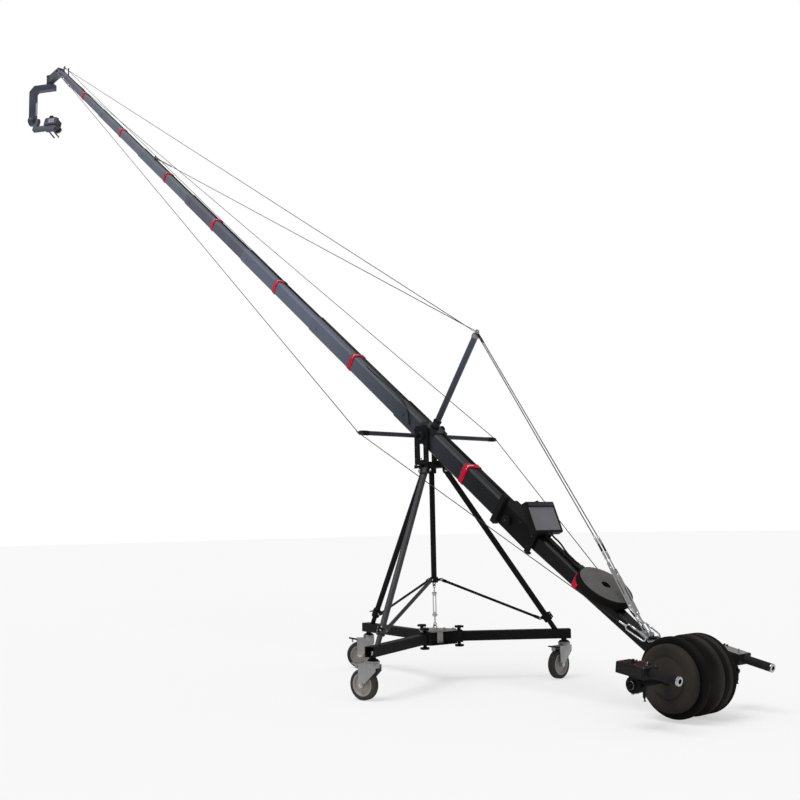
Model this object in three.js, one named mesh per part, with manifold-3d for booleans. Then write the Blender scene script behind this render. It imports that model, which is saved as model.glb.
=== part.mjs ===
// A camera jib crane: a nested boom balanced on a tripod dolly, with a two-axis camera head.
// Millimetres, +X along the boom's heading, +Y to its left, +Z up, pan axis at X = Y = 0, floor at Z = 0.

import * as THREE from 'three';
import { mergeVertices } from 'three/addons/utils/BufferGeometryUtils.js';
import Module from 'manifold-3d';

const wasm = await Module();
wasm.setup();

// Clearances between pieces, and the overrun that every cut shares
const SEAT_GAP = 0.3;
const RUN_GAP = 0.5;
const OVERRUN = 10;

// Stance of the dolly
const TURN = 2 * Math.PI;
const FRONT_ARM_ANGLE = THREE.MathUtils.degToRad(-6.9);
const ARM_NAMES = ['front', 'left', 'right'];
const CASTER_ANGLES = [55.3, 15.3, 95.3].map(THREE.MathUtils.degToRad);

// Dolly arms and hub
const ARM_SIZE = 50;
const ARM_WALL = 3;
const ARM_BOTTOM = 208;
const ARM_INNER = 62;
const ARM_LENGTH = 673;
const SOCKET_WALL = 5.5;
const SOCKET_LENGTH = 108;
const SOCKET_START = 40;
const HUB_PLATE = 5;
const HUB_PLATE_REACH = 118;
const HUB_PLATE_NOSE = 27;
const HUB_KNOB_INSET = 19;
const KNOB_RADIUS = 19;
const KNOB_HEAD = 10;
const KNOB_NECK_RADIUS = 9;
const KNOB_NECK = 14;
const KNOB_LOBES = 5;
const KNOB_WAIST_RADIUS = 14;
const LIFT_EYE_RADIUS = 13;
const LIFT_EYE_WIRE = 3;

// Casters
const WHEEL_RADIUS = 75;
const CASTER_INSET = 35;
const CASTER_TRAIL = 55;
const TYRE_WIDTH = 38;
const TYRE_DEPTH = 17;
const TYRE_SHOULDER = 6;
const HUB_RIM_DEPTH = 9;
const HUB_WEB = 16;
const HUB_BOSS_RADIUS = 15;
const HUB_BOSS_WIDTH = 42;
const AXLE_RADIUS = 6;
const AXLE_HEAD_RADIUS = 11;
const AXLE_HEAD = 6;
const FORK_INSIDE = 46;
const FORK_PLATE = 4;
const FORK_TOP = 172;
const FORK_BACK = 31;
const FORK_REACH = 72;
const FORK_FOOT_RADIUS = 15;
const RACE_RADIUS = 31;
const RACE_LOWER = 9;
const RACE_UPPER = 15;
const RACE_NECK_RADIUS = 24;
const STEM_RADIUS = 10;
const STEM_NUT_RADIUS = 15;
const STEM_NUT = 9;
const STEM_TOP_NUT = 13;
const PEDAL_PIN_RADIUS = 5;
const PEDAL_PIN_X = 66;
const PEDAL_PIN_Z = 160;
const PEDAL_LENGTH = 52;
const PEDAL_PLATE = 4;
const PEDAL_WIDTH = 40;
const PEDAL_RISE = THREE.MathUtils.degToRad(12);
const PEDAL_SHOE = 9;
const PEDAL_SHOE_DROP = 12;

// Tripod
const LEG_RADIUS = 16;
const LEG_WALL = 2.5;
const GREY_LEG = 1;
const LEG_TOP_REACH = 78;
const LEG_HINGE_DROP = 30;
const LEG_FOOT_REACH = 652;
const COLLAR_Z = 338;
const COLLAR_RADIUS = 23;
const COLLAR_LENGTH = 34;
const CROWN_RADIUS = 70;
const CROWN_TOP = 1158;
const CROWN_PLATE = 16;
const CROWN_BORE_RADIUS = 20;
const EAR_THICKNESS = 6;
const EAR_RADIUS = 17;
const EAR_PIN_RADIUS = 6;
const EAR_PIN_BORE_RADIUS = 6.5;
const COLUMN_RADIUS = 15;
const COLUMN_WALL = 2.5;
const COLUMN_FOOT_Z = 520;
const SPREADER_HUB_RADIUS = 22;
const SPREADER_HUB_HEIGHT = 30;
const SPREADER_ROD_RADIUS = 7;
const SPREADER_LUG = 24;
const SPREADER_LUG_THICKNESS = 8;
const SPREADER_EYE_REACH = 571;
const SPREADER_EYE_Z = 317;
const SPREADER_FORK_CHEEK = 3;
const SPREADER_FORK_NECK = 30;
const LUG_PIN_HALF = 9;

// Base turnbuckle between the spreader hub and the dolly hub
const HOOK_WIRE = 3;
const BASE_FRAME_LENGTH = 128;
const BASE_FRAME_WIDTH = 24;
const BASE_FRAME_BAR = 3.5;
const BASE_FRAME_END = 12;
const BASE_FRAME_FOOT_Z = 341;
const SCREW_RADIUS = 4;
const HOOK_RADIUS = 9;

// Yoke and pan bearing
const YOKE_BASE_RADIUS = 64;
const YOKE_BASE_PLATE = 13;
const YOKE_BASE_LIFT = 3;
const YOKE_RISE = 159;
const CHEEK_FRONT = 64;
const CHEEK_REAR = 46;
const CHEEK_THICKNESS = 8;
const CHEEK_INSIDE = 58;
const CHEEK_CROWN = 58;
const CHEEK_CHAMFER = 14;
const WINDOW_FRONT = 26;
const WINDOW_REAR = 10;
const WINDOW_TOP_DROP = 43;
const WINDOW_SILL = 12;
const BEARING_RING = 8;
const BEARING_RING_WALL = 7;
const LOCK_KNOB_RADIUS = 10;
const LOCK_KNOB_WAIST_RADIUS = 7;
const LOCK_KNOB_LENGTH = 16;
const LOCK_SCREW_RADIUS = 5;
const LOCK_SCREW = 18;

// Boom: each section slides into the one behind it
const ELEVATION = THREE.MathUtils.degToRad(36.66);
const BOOM_HEIGHT = 104;
const BOOM_WIDTH = 94;
const BOOM_WALL = 3;
const BOOM_CHAMFER = 9;
const NEST_LENGTH = 150;
const PIVOT_SECTION_REAR = 764;
const PIVOT_SECTION_FRONT = 303;
const SECTION_PITCH = 1055;
const SECTION_COUNT = 6;
const TIP_SECTION_LENGTH = 1202;
const TAIL_LENGTH = 1011;
const TAIL_END_HEIGHT = 50;
const TAIL_END_WIDTH = 66;
const TAIL_START_HEIGHT = 92;
const JOINT_PIN_HEAD = 3;
const JOINT_PIN_HEAD_RADIUS = 9;
const TIP_TO_LEVEL_PIN = 70;
const TIP_FORK_PLATE = 6;
const TIP_FORK_RADIUS = 24;
const LEVEL_PIN_RADIUS = 7;
const SECTION_STRAP_PLACES = [-1290, -378, 838, 1885, 2950, 3920, 5000, 6050];
const STRAP_WIDTH = 30;
const STRAP_THICKNESS = 1.4;

// Mast and side arms
const MAST_RADIUS = 17;
const MAST_WALL = 2.5;
const MAST_TOP = 640;
const MAST_CAP_RADIUS = 20;
const MAST_CAP = 14;
const MAST_EYE_RADIUS = 12;
const MAST_EYE_WIRE = 4;
const SADDLE_LENGTH = 120;
const SADDLE_PLATE = 6;
const SADDLE_SOCKET_RADIUS = 22;
const SADDLE_SOCKET = 42;
const SIDE_ARM_RADIUS = 12;
const SIDE_ARM_REACH = 500;
const SIDE_ARM_HUB_RADIUS = 15;
const SIDE_ARM_HUB_END = 92;
const SIDE_ARM_FLANGE_RADIUS = 30;
const SIDE_ARM_FLANGE = 8;
const SIDE_ARM_WASHER_RADIUS = 21;
const SIDE_ARM_WASHER = 5;
const SIDE_ARM_TIP_RADIUS = 8;
const SIDE_ARM_TIP = 6;

// Weights and their bar
const BAR_OVERHANG = 181;
const BAR_RISE = 35;
const BAR_RADIUS = 14;
const BAR_LEFT = 366;
const BAR_RIGHT = 372;
const BAR_BOSS_RADIUS = 30;
const BAR_CAP = 6;
const BAR_CAP_RIM = 3;
const TONGUE_THICKNESS = 24;
const TONGUE_HEIGHT = 34;
const TONGUE_INSET = 90;
const TONGUE_LEFT = 10;
const BAR_BOSS_LEFT = 48;
const BAR_BOSS_RIGHT = 27;
const PLATE_RADIUS = 170;
const PLATE_WIDTH = 30;
const PLATE_SHOULDER = 5;
const SMALL_PLATE_RADIUS = 142;
const SMALL_PLATE_WIDTH = 40;
const RIM_DEPTH = 21.4;
const PLATE_WEB = 10;
const LARGE_PLATES_LEFT = 1;
const LARGE_PLATES_RIGHT = 4;
const TOP_PLATE_LEAD = 361;
const TOP_PLATE_RADIUS = 137;
const TOP_PLATE_WIDTH = 42;
const TOP_PLATE_BORE_RADIUS = 14;
const TOP_PLATE_GROOVE_DEPTH = 3;
const TOP_PLATE_GROOVE_RADIUS = 112;
const TOP_PLATE_GROOVE_WIDTH = 6;

// Stays, in the boom's own axes: along the boom, to its left and up
const STAY_RADIUS = 1.6;
const STAY_SIDES = 6;
const EYE_KEY = 6;
const SWAGE_RADIUS = 4.5;
const SWAGE_LENGTH = 40;
const CLIP_WIDTH = 34;
const CLIP_WIRE = 4;
const SIDE_STAY_END_LEAD = 175;
const SIDE_STAY_END_Y = 62;
const SIDE_STAY_END_Z = 38;
const CLIP_END_LEAD = 30;
const CLIP_END_Y = 44;
const CLIP_END_Z = 62;
const REAR_STAY_HALF_GAP = 12.5;
const TURNBUCKLE_TOP_LEAD = 376;
const TURNBUCKLE_TOP_Z = 178;
const TURNBUCKLE_FOOT_LEAD = 185;
const TURNBUCKLE_FOOT_Z = 100;
const TURNBUCKLE_WIDTH = 22;
const TURNBUCKLE_BAR = 4;
const TURNBUCKLE_END = 14;
const STAY_HOOK_LEAD = 53;
const FRONT_STAY_REACH = 4250;
const CLAMP_LEAD = 110;
const CLAMP_LEAD_RISE = 44;
const TURNBUCKLE_STAGGER = 34;
const TURNBUCKLE_RISE_SHARE = 0.41;
const ANCHOR_PLATE_LENGTH = 70;
const TIP_EYE_SETBACK = 20;
const TIP_EYE_RISE = 70;

// Monitor and its bracket, in the boom's own axes
const MONITOR_WIDTH = 203;
const MONITOR_HEIGHT = 162;
const MONITOR_DEPTH = 29;
const MONITOR_PLACE = 933;
const MONITOR_RISE = 124;
const MONITOR_LEAN = THREE.MathUtils.degToRad(59.0);
const MONITOR_BEZEL = 13;
const MONITOR_GLASS = 2;
const MONITOR_CORNER = 6;
const MONITOR_LID = 26;
const MONITOR_KNUCKLE_RADIUS = 9;
const MONITOR_KNUCKLE_WIDTH = 40;
const MONITOR_PIN_RADIUS = 4;
const MONITOR_EAR = 10;
const BRACKET_FRONT = 700;
const BRACKET_REAR = 985;
const BRACKET_PLATE = 8;
const BRACKET_TOP_PLATE = 5;
const BRACKET_FOOT = 10;
const BRACKET_FLANGE = 30;
const BRACKET_FLANGE_WIDTH = 34;
const BRACKET_FLANGE_TOP = 98;
const BRACKET_KNOB_RADIUS = 26;
const BRACKET_KNOB = 20;
const CABLE_RADIUS = 4.5;
const CABLE_SIDES = 8;
const CABLE_BOOT = 24;

// Hand controls on the bar
const CONTROL_PLACE = 330;
const CONTROL_LENGTH = 140;
const CONTROL_WIDTH = 92;
const CONTROL_BOTTOM = 37;
const CONTROL_HEIGHT = 47;
const CONTROL_PANEL = 3;
const CONTROL_CORNER = 4;
const CONTROL_PITCH_LEFT = THREE.MathUtils.degToRad(8);
const CONTROL_PITCH_RIGHT = THREE.MathUtils.degToRad(12);
const CLAMP_RADIUS = 35;
const CLAMP_WIDTH = 40;
const CLAMP_NECK = 44;
const GRIP_AXIS = 62;
const GRIP_RADIUS = 19;
const GRIP_TUBE_RADIUS = 14;
const GRIP_TUBE_BORE_RADIUS = 10;
const GRIP_LENGTH = 128;
const GRIP_RING = 9;
const LEVER_HUB_RADIUS = 11;
const LEVER_HUB = 14;
const LEVER_LENGTH = 56;
const LEVER_RADIUS = 6;
const LEVER_DROP = 8;
const RECORD_RADIUS = 7;
const RECORD_HEIGHT = 8;
const RECORD_TRAVEL = 3;
const RECORD_LENGTH_SHARE = 0.36;
const RECORD_WIDTH_SHARE = 0.28;
const KNOB_PLACE_SHARE = 0.1;
const TOGGLE_LENGTH_SHARE = 0.3;
const KNOB_SKIRT_RADIUS = 9;
const KNOB_CAP_RADIUS = 7;
const PANEL_KNOB_HEIGHT = 15;
const TOGGLE_RADIUS = 2.5;
const TOGGLE_LENGTH = 16;
const TOGGLE_BALL = 4;

// Camera head, hung from the level arm at the boom's tip
const LEVEL_ARM_REACH = 260;
const LEVEL_ARM_HEIGHT = 75;
const LEVEL_ARM_WIDTH = 50;
const PAN_MOTOR_RADIUS = 36;
const HEAD_PAN_ANGLE = THREE.MathUtils.degToRad(36);
const HEAD_ARM_DROP = 78;
const HEAD_ARM_SIZE = 60;
const HEAD_ARM_TAIL = 55;
const HEAD_ARM_REACH = 190;
const HEAD_ARM_CHAMFER = 55;
const TILT_AXIS_DROP = 415;
const TILT_MOTOR_RADIUS = 46;
const TILT_MOTOR_LENGTH = 62;
const HEAD_PIN_RADIUS = 12;
const CRADLE_BAR = 42;
const CRADLE_PLATE = 12;
const CRADLE_DROP = 108;
const CRADLE_END = 105;
const CRADLE_HUB = 16;
const CRADLE_RAIL_LENGTH = 120;
const CRADLE_RAIL_RADIUS = 7.5;
const CRADLE_RAIL_SPACING = 52;
const CAMERA_PITCH = THREE.MathUtils.degToRad(18);
const CAMERA_WIDTH = 140;
const CAMERA_HEIGHT = 84;
const CAMERA_DEPTH = 62;
const CAMERA_OFFSET = 40;
const PRISM_WIDTH = 56;
const PRISM_HEIGHT = 24;
const CAMERA_GRIP = 26;
const LENS_RADIUS = 36;
const LENS_LENGTH = 96;
const LENS_BARREL_RADIUS = 31;
const LENS_FRONT_BORE_RADIUS = 29;
const LENS_FRONT_BORE = 10;

// Finishes seen in the photograph
function finish(color, roughness, metalness) {
  return new THREE.MeshStandardMaterial({ color, roughness, metalness });
}
const BLACK_PAINT = finish(0x1d1e21, 0.5, 0.3);
const GREY_PAINT = finish(0x4a4a52, 0.55, 0.4);
const BRIGHT_STEEL = finish(0xc4c8c8, 0.25, 1.0);
const ZINC = finish(0x9a9e9d, 0.4, 0.9);
const RUBBER = finish(0x2a2725, 0.85, 0.0);
const DARK_PLASTIC = finish(0x232427, 0.6, 0.0);
const SCREEN_GREY = finish(0x6d6c74, 0.3, 0.0);
const RED_PLASTIC = finish(0xd0202c, 0.4, 0.0);

// Turns one closed three.js geometry into a solid that can be joined and cut
function solid(geometry) {
  const bare = geometry.clone();
  bare.deleteAttribute('normal');
  bare.deleteAttribute('uv');
  const merged = mergeVertices(bare, 1e-4);
  return new wasm.Manifold(new wasm.Mesh({
    numProp: 3,
    vertProperties: new Float32Array(merged.attributes.position.array),
    triVerts: new Uint32Array(merged.index.array),
  }));
}

function join(...geometries) {
  return geometries.map(toSolid).reduce((whole, next) => whole.add(next));
}

function cut(whole, ...tools) {
  return tools.map(toSolid).reduce((left, tool) => left.subtract(tool), toSolid(whole));
}

function toSolid(shape) {
  return shape.isBufferGeometry ? solid(shape) : shape;
}

// Gives a joined or cut solid back as a three.js geometry
function geometryOf(shape) {
  if (shape.isBufferGeometry) {
    return shape;
  }
  const mesh = shape.getMesh();
  const geometry = new THREE.BufferGeometry();
  geometry.setAttribute('position', new THREE.BufferAttribute(new Float32Array(mesh.vertProperties), 3));
  geometry.setIndex(new THREE.BufferAttribute(new Uint32Array(mesh.triVerts), 1));
  geometry.computeVertexNormals();
  return geometry;
}

function piece(name, shape, material) {
  const mesh = new THREE.Mesh(geometryOf(shape), material);
  mesh.name = name;
  return mesh;
}

// A box between two corners
function block(x0, x1, y0, y1, z0, z1) {
  const box = new THREE.BoxGeometry(x1 - x0, y1 - y0, z1 - z0);
  return box.translate((x0 + x1) / 2, (y0 + y1) / 2, (z0 + z1) / 2);
}

// Cylinders along each axis, from one end to the other
function rodZ(radius, z0, z1, sides = 16) {
  const rod = new THREE.CylinderGeometry(radius, radius, z1 - z0, sides);
  return rod.rotateX(TURN / 4).translate(0, 0, (z0 + z1) / 2);
}

function rodY(radius, y0, y1, sides = 16) {
  const rod = new THREE.CylinderGeometry(radius, radius, y1 - y0, sides);
  return rod.translate(0, (y0 + y1) / 2, 0);
}

function rodX(radius, x0, x1, sides = 16) {
  const rod = new THREE.CylinderGeometry(radius, radius, x1 - x0, sides);
  return rod.rotateZ(TURN / 4).translate((x0 + x1) / 2, 0, 0);
}

// A round bar between any two points
function strut(from, to, radius, sides = 12) {
  const start = new THREE.Vector3(...from);
  const end = new THREE.Vector3(...to);
  const bar = new THREE.CylinderGeometry(radius, radius, start.distanceTo(end), sides);
  const direction = end.clone().sub(start).normalize();
  const turn = new THREE.Quaternion().setFromUnitVectors(new THREE.Vector3(0, 1, 0), direction);
  const middle = start.add(end).divideScalar(2);
  return bar.applyQuaternion(turn).translate(middle.x, middle.y, middle.z);
}

// A profile of [radius, height] pairs turned about Z
function turned(profile, sides = 24) {
  const points = profile.map(([radius, height]) => new THREE.Vector2(radius, height));
  return new THREE.LatheGeometry(points, sides).rotateX(TURN / 4);
}

// A closed ring profile is given once and closed here
function turnedRing(profile, sides = 24) {
  return turned([...profile, profile[0]], sides);
}

// A flat outline in X and Z, given a thickness from y0 to y1
function plateXZ(outline, y0, y1, holes = []) {
  const shape = new THREE.Shape(outline.map(([x, z]) => new THREE.Vector2(x, z)));
  for (const hole of holes) {
    shape.holes.push(new THREE.Path(hole.map(([x, z]) => new THREE.Vector2(x, z))));
  }
  const plate = new THREE.ExtrudeGeometry(shape, { depth: y1 - y0, bevelEnabled: false });
  return plate.rotateX(TURN / 4).translate(0, y1, 0);
}

// A flat outline in X and Y, given a thickness from z0 to z1
function plateXY(outline, z0, z1) {
  const shape = new THREE.Shape(outline.map(([x, y]) => new THREE.Vector2(x, y)));
  const plate = new THREE.ExtrudeGeometry(shape, { depth: z1 - z0, bevelEnabled: false });
  return plate.translate(0, 0, z0);
}

// A rectangle's outline in Y and Z with its corners cut off
function chamfered(width, height, chamfer) {
  const y = width / 2;
  const z = height / 2;
  return [
    [y, z - chamfer], [y - chamfer, z], [chamfer - y, z], [-y, z - chamfer],
    [-y, chamfer - z], [chamfer - y, -z], [y - chamfer, -z], [y, chamfer - z],
  ];
}

// An outline in Y and Z drawn out along X
function drawnX(outline, x0, x1) {
  const shape = new THREE.Shape(outline.map(([y, z]) => new THREE.Vector2(y, z)));
  const bar = new THREE.ExtrudeGeometry(shape, { depth: x1 - x0, bevelEnabled: false });
  return bar.rotateZ(TURN / 4).rotateY(TURN / 4).translate(x0, 0, 0);
}

// A smooth round cord through a list of points
function cord(points, radius, sides, steps) {
  const path = new THREE.CatmullRomCurve3(points.map(([x, y, z]) => new THREE.Vector3(x, y, z)));
  const section = new THREE.Shape(polygon(radius, sides).map(([x, y]) => new THREE.Vector2(x, y)));
  return new THREE.ExtrudeGeometry(section, { steps, extrudePath: path, bevelEnabled: false });
}

// The corners of a regular polygon
function polygon(radius, sides) {
  const corners = Array.from({ length: sides }, (_, index) => (index / sides) * TURN);
  return corners.map((angle) => [radius * Math.cos(angle), radius * Math.sin(angle)]);
}

// An arc of an outline about a centre, as [x, z] points
function arc(centreX, centreZ, radius, from, to, steps) {
  const turns = Array.from({ length: steps + 1 }, (_, index) => from + ((to - from) * index) / steps);
  return turns.map((angle) => [centreX + radius * Math.cos(angle), centreZ + radius * Math.sin(angle)]);
}

// A wire ring about the Y axis
function wireRing(radius, wire, sides = 10, wireSides = 5) {
  return new THREE.TorusGeometry(radius, wire, wireSides, sides).rotateX(TURN / 4);
}

const crane = new THREE.Group();
const armTop = ARM_BOTTOM + ARM_SIZE;
const armMiddle = ARM_BOTTOM + ARM_SIZE / 2;
const armEnd = ARM_INNER + ARM_LENGTH;
const casterReach = armEnd - CASTER_INSET;
const socketHalf = ARM_SIZE / 2 + SEAT_GAP + SOCKET_WALL;
const hubTop = armMiddle + socketHalf + HUB_PLATE;
const hubBottom = armMiddle - socketHalf - HUB_PLATE;
const hubKnobReach = SOCKET_START + SOCKET_LENGTH - HUB_KNOB_INSET;
const armAngles = ARM_NAMES.map((_, index) => FRONT_ARM_ANGLE + (index * TURN) / ARM_NAMES.length);

// The same shape once on each of the three arms
function onEachArm(shapeAt) {
  return armAngles.map((angle, index) => shapeAt(index).rotateZ(angle));
}

function hubOutline() {
  const half = Math.atan2(HUB_PLATE_NOSE + SOCKET_WALL, HUB_PLATE_REACH);
  return armAngles.flatMap((angle) => [angle - half, angle + half])
    .map((angle) => [HUB_PLATE_REACH * Math.cos(angle), HUB_PLATE_REACH * Math.sin(angle)]);
}

function dollyHub() {
  const socketEnd = SOCKET_START + SOCKET_LENGTH;
  const plateTop = plateXY(hubOutline(), hubTop - HUB_PLATE, hubTop);
  const plateBottom = plateXY(hubOutline(), hubBottom, hubBottom + HUB_PLATE);
  const core = rodZ(SOCKET_START + SOCKET_WALL, hubBottom, hubTop, 6);
  const sockets = onEachArm(() => block(
    SOCKET_START, socketEnd, -socketHalf, socketHalf, armMiddle - socketHalf, armMiddle + socketHalf));
  const bore = ARM_SIZE / 2 + SEAT_GAP;
  const bores = onEachArm(() => block(
    ARM_INNER - SEAT_GAP, socketEnd + OVERRUN, -bore, bore, ARM_BOTTOM - SEAT_GAP, armTop + SEAT_GAP));
  const eye = wireRing(LIFT_EYE_RADIUS, LIFT_EYE_WIRE).translate(0, 0, hubTop + LIFT_EYE_RADIUS);
  return join(cut(join(plateTop, plateBottom, core, ...sockets, eye), ...bores), ...hubKnobs());
}

// The outline of a lobed knob
function lobedOutline(radius, waist) {
  const lobe = TURN / KNOB_LOBES;
  return Array.from({ length: KNOB_LOBES }, (_, index) => [
    [radius, index * lobe - lobe / 5], [radius, index * lobe + lobe / 5], [waist, index * lobe + lobe / 2],
  ]).flat().map(([reach, angle]) => [reach * Math.cos(angle), reach * Math.sin(angle)]);
}

// A lobed clamp knob with the socket's wall under it
function lobedKnob() {
  const head = plateXY(lobedOutline(KNOB_RADIUS, KNOB_WAIST_RADIUS), KNOB_NECK, KNOB_NECK + KNOB_HEAD);
  const neck = rodZ(KNOB_NECK_RADIUS, -SOCKET_WALL / 2, KNOB_NECK + KNOB_HEAD / 2, 6);
  return geometryOf(join(head, neck));
}

// Two clamp knobs on each socket, one above it and one below
function hubKnobs() {
  const above = onEachArm(() => lobedKnob().translate(hubKnobReach, 0, armMiddle + socketHalf));
  const below = onEachArm(() => lobedKnob().rotateX(TURN / 2).translate(hubKnobReach, 0,
    armMiddle - socketHalf));
  return [...above, ...below];
}

const forkCrown = FORK_TOP + RACE_LOWER;
const raceBottom = forkCrown + RUN_GAP;

// The swivel's upper race and its stem, which the arm's end carries
function casterStem() {
  const raceTop = raceBottom + RACE_UPPER;
  const race = turned([
    [0, raceBottom], [RACE_RADIUS, raceBottom], [RACE_RADIUS, raceBottom + RACE_UPPER / 3],
    [RACE_NECK_RADIUS, raceTop], [0, raceTop],
  ], 16);
  const collar = rodZ(STEM_NUT_RADIUS, raceTop - RACE_UPPER / 3, ARM_BOTTOM + ARM_WALL / 2, 10);
  const pinBottom = FORK_TOP - FORK_PLATE - STEM_NUT;
  const pin = rodZ(STEM_RADIUS, pinBottom, ARM_BOTTOM + ARM_WALL + STEM_TOP_NUT + STEM_NUT, 10);
  const lowerNut = rodZ(STEM_NUT_RADIUS, pinBottom, FORK_TOP - FORK_PLATE - RUN_GAP, 6);
  const nutSeat = ARM_BOTTOM + ARM_WALL / 2;
  const upperNut = rodZ(STEM_NUT_RADIUS, nutSeat, nutSeat + STEM_TOP_NUT, 6);
  return geometryOf(join(race, collar, pin, lowerNut, upperNut));
}

// A square tube, open at its outer end, with its caster's stem through the floor of it
function dollyArm() {
  const half = ARM_SIZE / 2;
  const tube = cut(
    block(ARM_INNER, armEnd, -half, half, ARM_BOTTOM, armTop),
    block(ARM_INNER - OVERRUN, armEnd + OVERRUN, ARM_WALL - half, half - ARM_WALL,
      ARM_BOTTOM + ARM_WALL, armTop - ARM_WALL),
  );
  return join(tube, casterStem().translate(casterReach, 0, 0));
}

// The fork trails towards +X, with its swivel axis at X = 0
function casterFork() {
  const inner = FORK_INSIDE / 2;
  const outer = inner + FORK_PLATE;
  const bore = rodZ(STEM_RADIUS + RUN_GAP, FORK_TOP - FORK_PLATE - OVERRUN, forkCrown + OVERRUN, 12);
  const top = block(-FORK_BACK, FORK_REACH, -outer, outer, FORK_TOP - FORK_PLATE, FORK_TOP);
  const crown = rodZ(RACE_RADIUS, FORK_TOP - FORK_PLATE, forkCrown, 16);
  const outline = [
    [-FORK_BACK, FORK_TOP], [-FORK_BACK, FORK_TOP - FORK_BACK],
    [-FORK_BACK / 3, WHEEL_RADIUS + FORK_BACK + FORK_FOOT_RADIUS],
    ...arc(CASTER_TRAIL, WHEEL_RADIUS, FORK_FOOT_RADIUS, TURN / 2, TURN, 5),
    [FORK_REACH, PEDAL_PIN_Z - 2 * PEDAL_PIN_RADIUS], [FORK_REACH, FORK_TOP],
  ];
  const legs = [plateXZ(outline, -outer, -inner), plateXZ(outline, inner, outer)];
  const axle = rodY(AXLE_RADIUS, -outer, outer, 10).translate(CASTER_TRAIL, 0, WHEEL_RADIUS);
  const heads = [-1, 1].map((side) => rodY(AXLE_HEAD_RADIUS, 0, AXLE_HEAD, 6)
    .translate(CASTER_TRAIL, side > 0 ? outer : -outer - AXLE_HEAD, WHEEL_RADIUS));
  return cut(join(top, crown, ...legs, axle, ...heads), bore);
}

// A wheel about Y at the origin: a webbed hub with its tyre moulded on
function casterWheel() {
  const bore = AXLE_RADIUS + RUN_GAP;
  const rimInner = WHEEL_RADIUS - TYRE_DEPTH - HUB_RIM_DEPTH;
  const boss = HUB_BOSS_WIDTH / 2;
  const web = HUB_WEB / 2;
  const tyre = TYRE_WIDTH / 2;
  const shoulder = WHEEL_RADIUS - TYRE_SHOULDER;
  const half = [
    [bore, boss], [HUB_BOSS_RADIUS, boss], [HUB_BOSS_RADIUS, web], [rimInner, web], [rimInner, tyre],
    [shoulder, tyre], [WHEEL_RADIUS, tyre - TYRE_SHOULDER],
  ];
  const otherHalf = half.map(([radius, side]) => [radius, -side]);
  return turnedRing([...otherHalf, ...half.reverse()], 18).rotateX(TURN / 4);
}

// The pedal hangs on a bar between the fork's ears, with its hinge at the origin
function brakePedal() {
  const half = PEDAL_WIDTH / 2;
  const hub = rodY(PEDAL_PIN_RADIUS, SEAT_GAP - FORK_INSIDE / 2, FORK_INSIDE / 2 - SEAT_GAP, 12);
  const plate = block(0, PEDAL_LENGTH, -half, half, 0, PEDAL_PLATE).rotateY(-PEDAL_RISE);
  const shoeX = PEDAL_LENGTH / 2;
  const shoe = block(shoeX, shoeX + PEDAL_SHOE, -half / 2, half / 2, -PEDAL_SHOE_DROP,
    shoeX * Math.sin(PEDAL_RISE) + PEDAL_PLATE / 2);
  return join(hub, plate, shoe);
}

// A point on a leg's centre line, given by its height
const legTopZ = CROWN_TOP - LEG_HINGE_DROP;
const legRun = (LEG_FOOT_REACH - LEG_TOP_REACH) / (legTopZ - armTop);
const legReachAt = (height) => LEG_TOP_REACH + (legTopZ - height) * legRun;
const legPoint = (height) => [legReachAt(height), 0, height];

// An upper tube with its collar and spreader lug, and the lower tube nested and clamped in it
function tripodLeg() {
  const collarFoot = COLLAR_Z - COLLAR_LENGTH;
  const upper = strut(legPoint(legTopZ), legPoint(COLLAR_Z - COLLAR_LENGTH / 2), LEG_RADIUS, 12);
  const head = rodY(LEG_RADIUS, -LEG_RADIUS, LEG_RADIUS, 12).translate(...legPoint(legTopZ));
  const collar = strut(legPoint(COLLAR_Z), legPoint(collarFoot), COLLAR_RADIUS, 12);
  const halfLug = SPREADER_LUG_THICKNESS / 2;
  const lugTop = SPREADER_EYE_Z + SPREADER_ROD_RADIUS;
  const lug = block(SPREADER_EYE_REACH - SPREADER_ROD_RADIUS, legReachAt(SPREADER_EYE_Z), -halfLug, halfLug,
    SPREADER_EYE_Z - SPREADER_ROD_RADIUS, lugTop);
  const pin = rodY(EAR_PIN_RADIUS / 2, -LUG_PIN_HALF, LUG_PIN_HALF, 6).translate(SPREADER_EYE_REACH, 0,
    SPREADER_EYE_Z);
  const lower = strut(legPoint(collarFoot + OVERRUN), legPoint(armTop - LEG_RADIUS),
    LEG_RADIUS - LEG_WALL, 12);
  const pinHole = rodY(EAR_PIN_BORE_RADIUS, -LEG_RADIUS - OVERRUN, LEG_RADIUS + OVERRUN, 10)
    .translate(...legPoint(legTopZ));
  const foot = legReachAt(armTop);
  const floorCut = block(foot - ARM_SIZE, foot + ARM_SIZE, -ARM_SIZE, ARM_SIZE, armTop - ARM_SIZE,
    armTop + SEAT_GAP);
  return cut(join(upper, head, collar, lug, pin, lower), pinHole, floorCut);
}

const lockHeight = CROWN_TOP - CROWN_PLATE / 2;
const lockAngle = armAngles[0] + TURN / 6;

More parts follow.
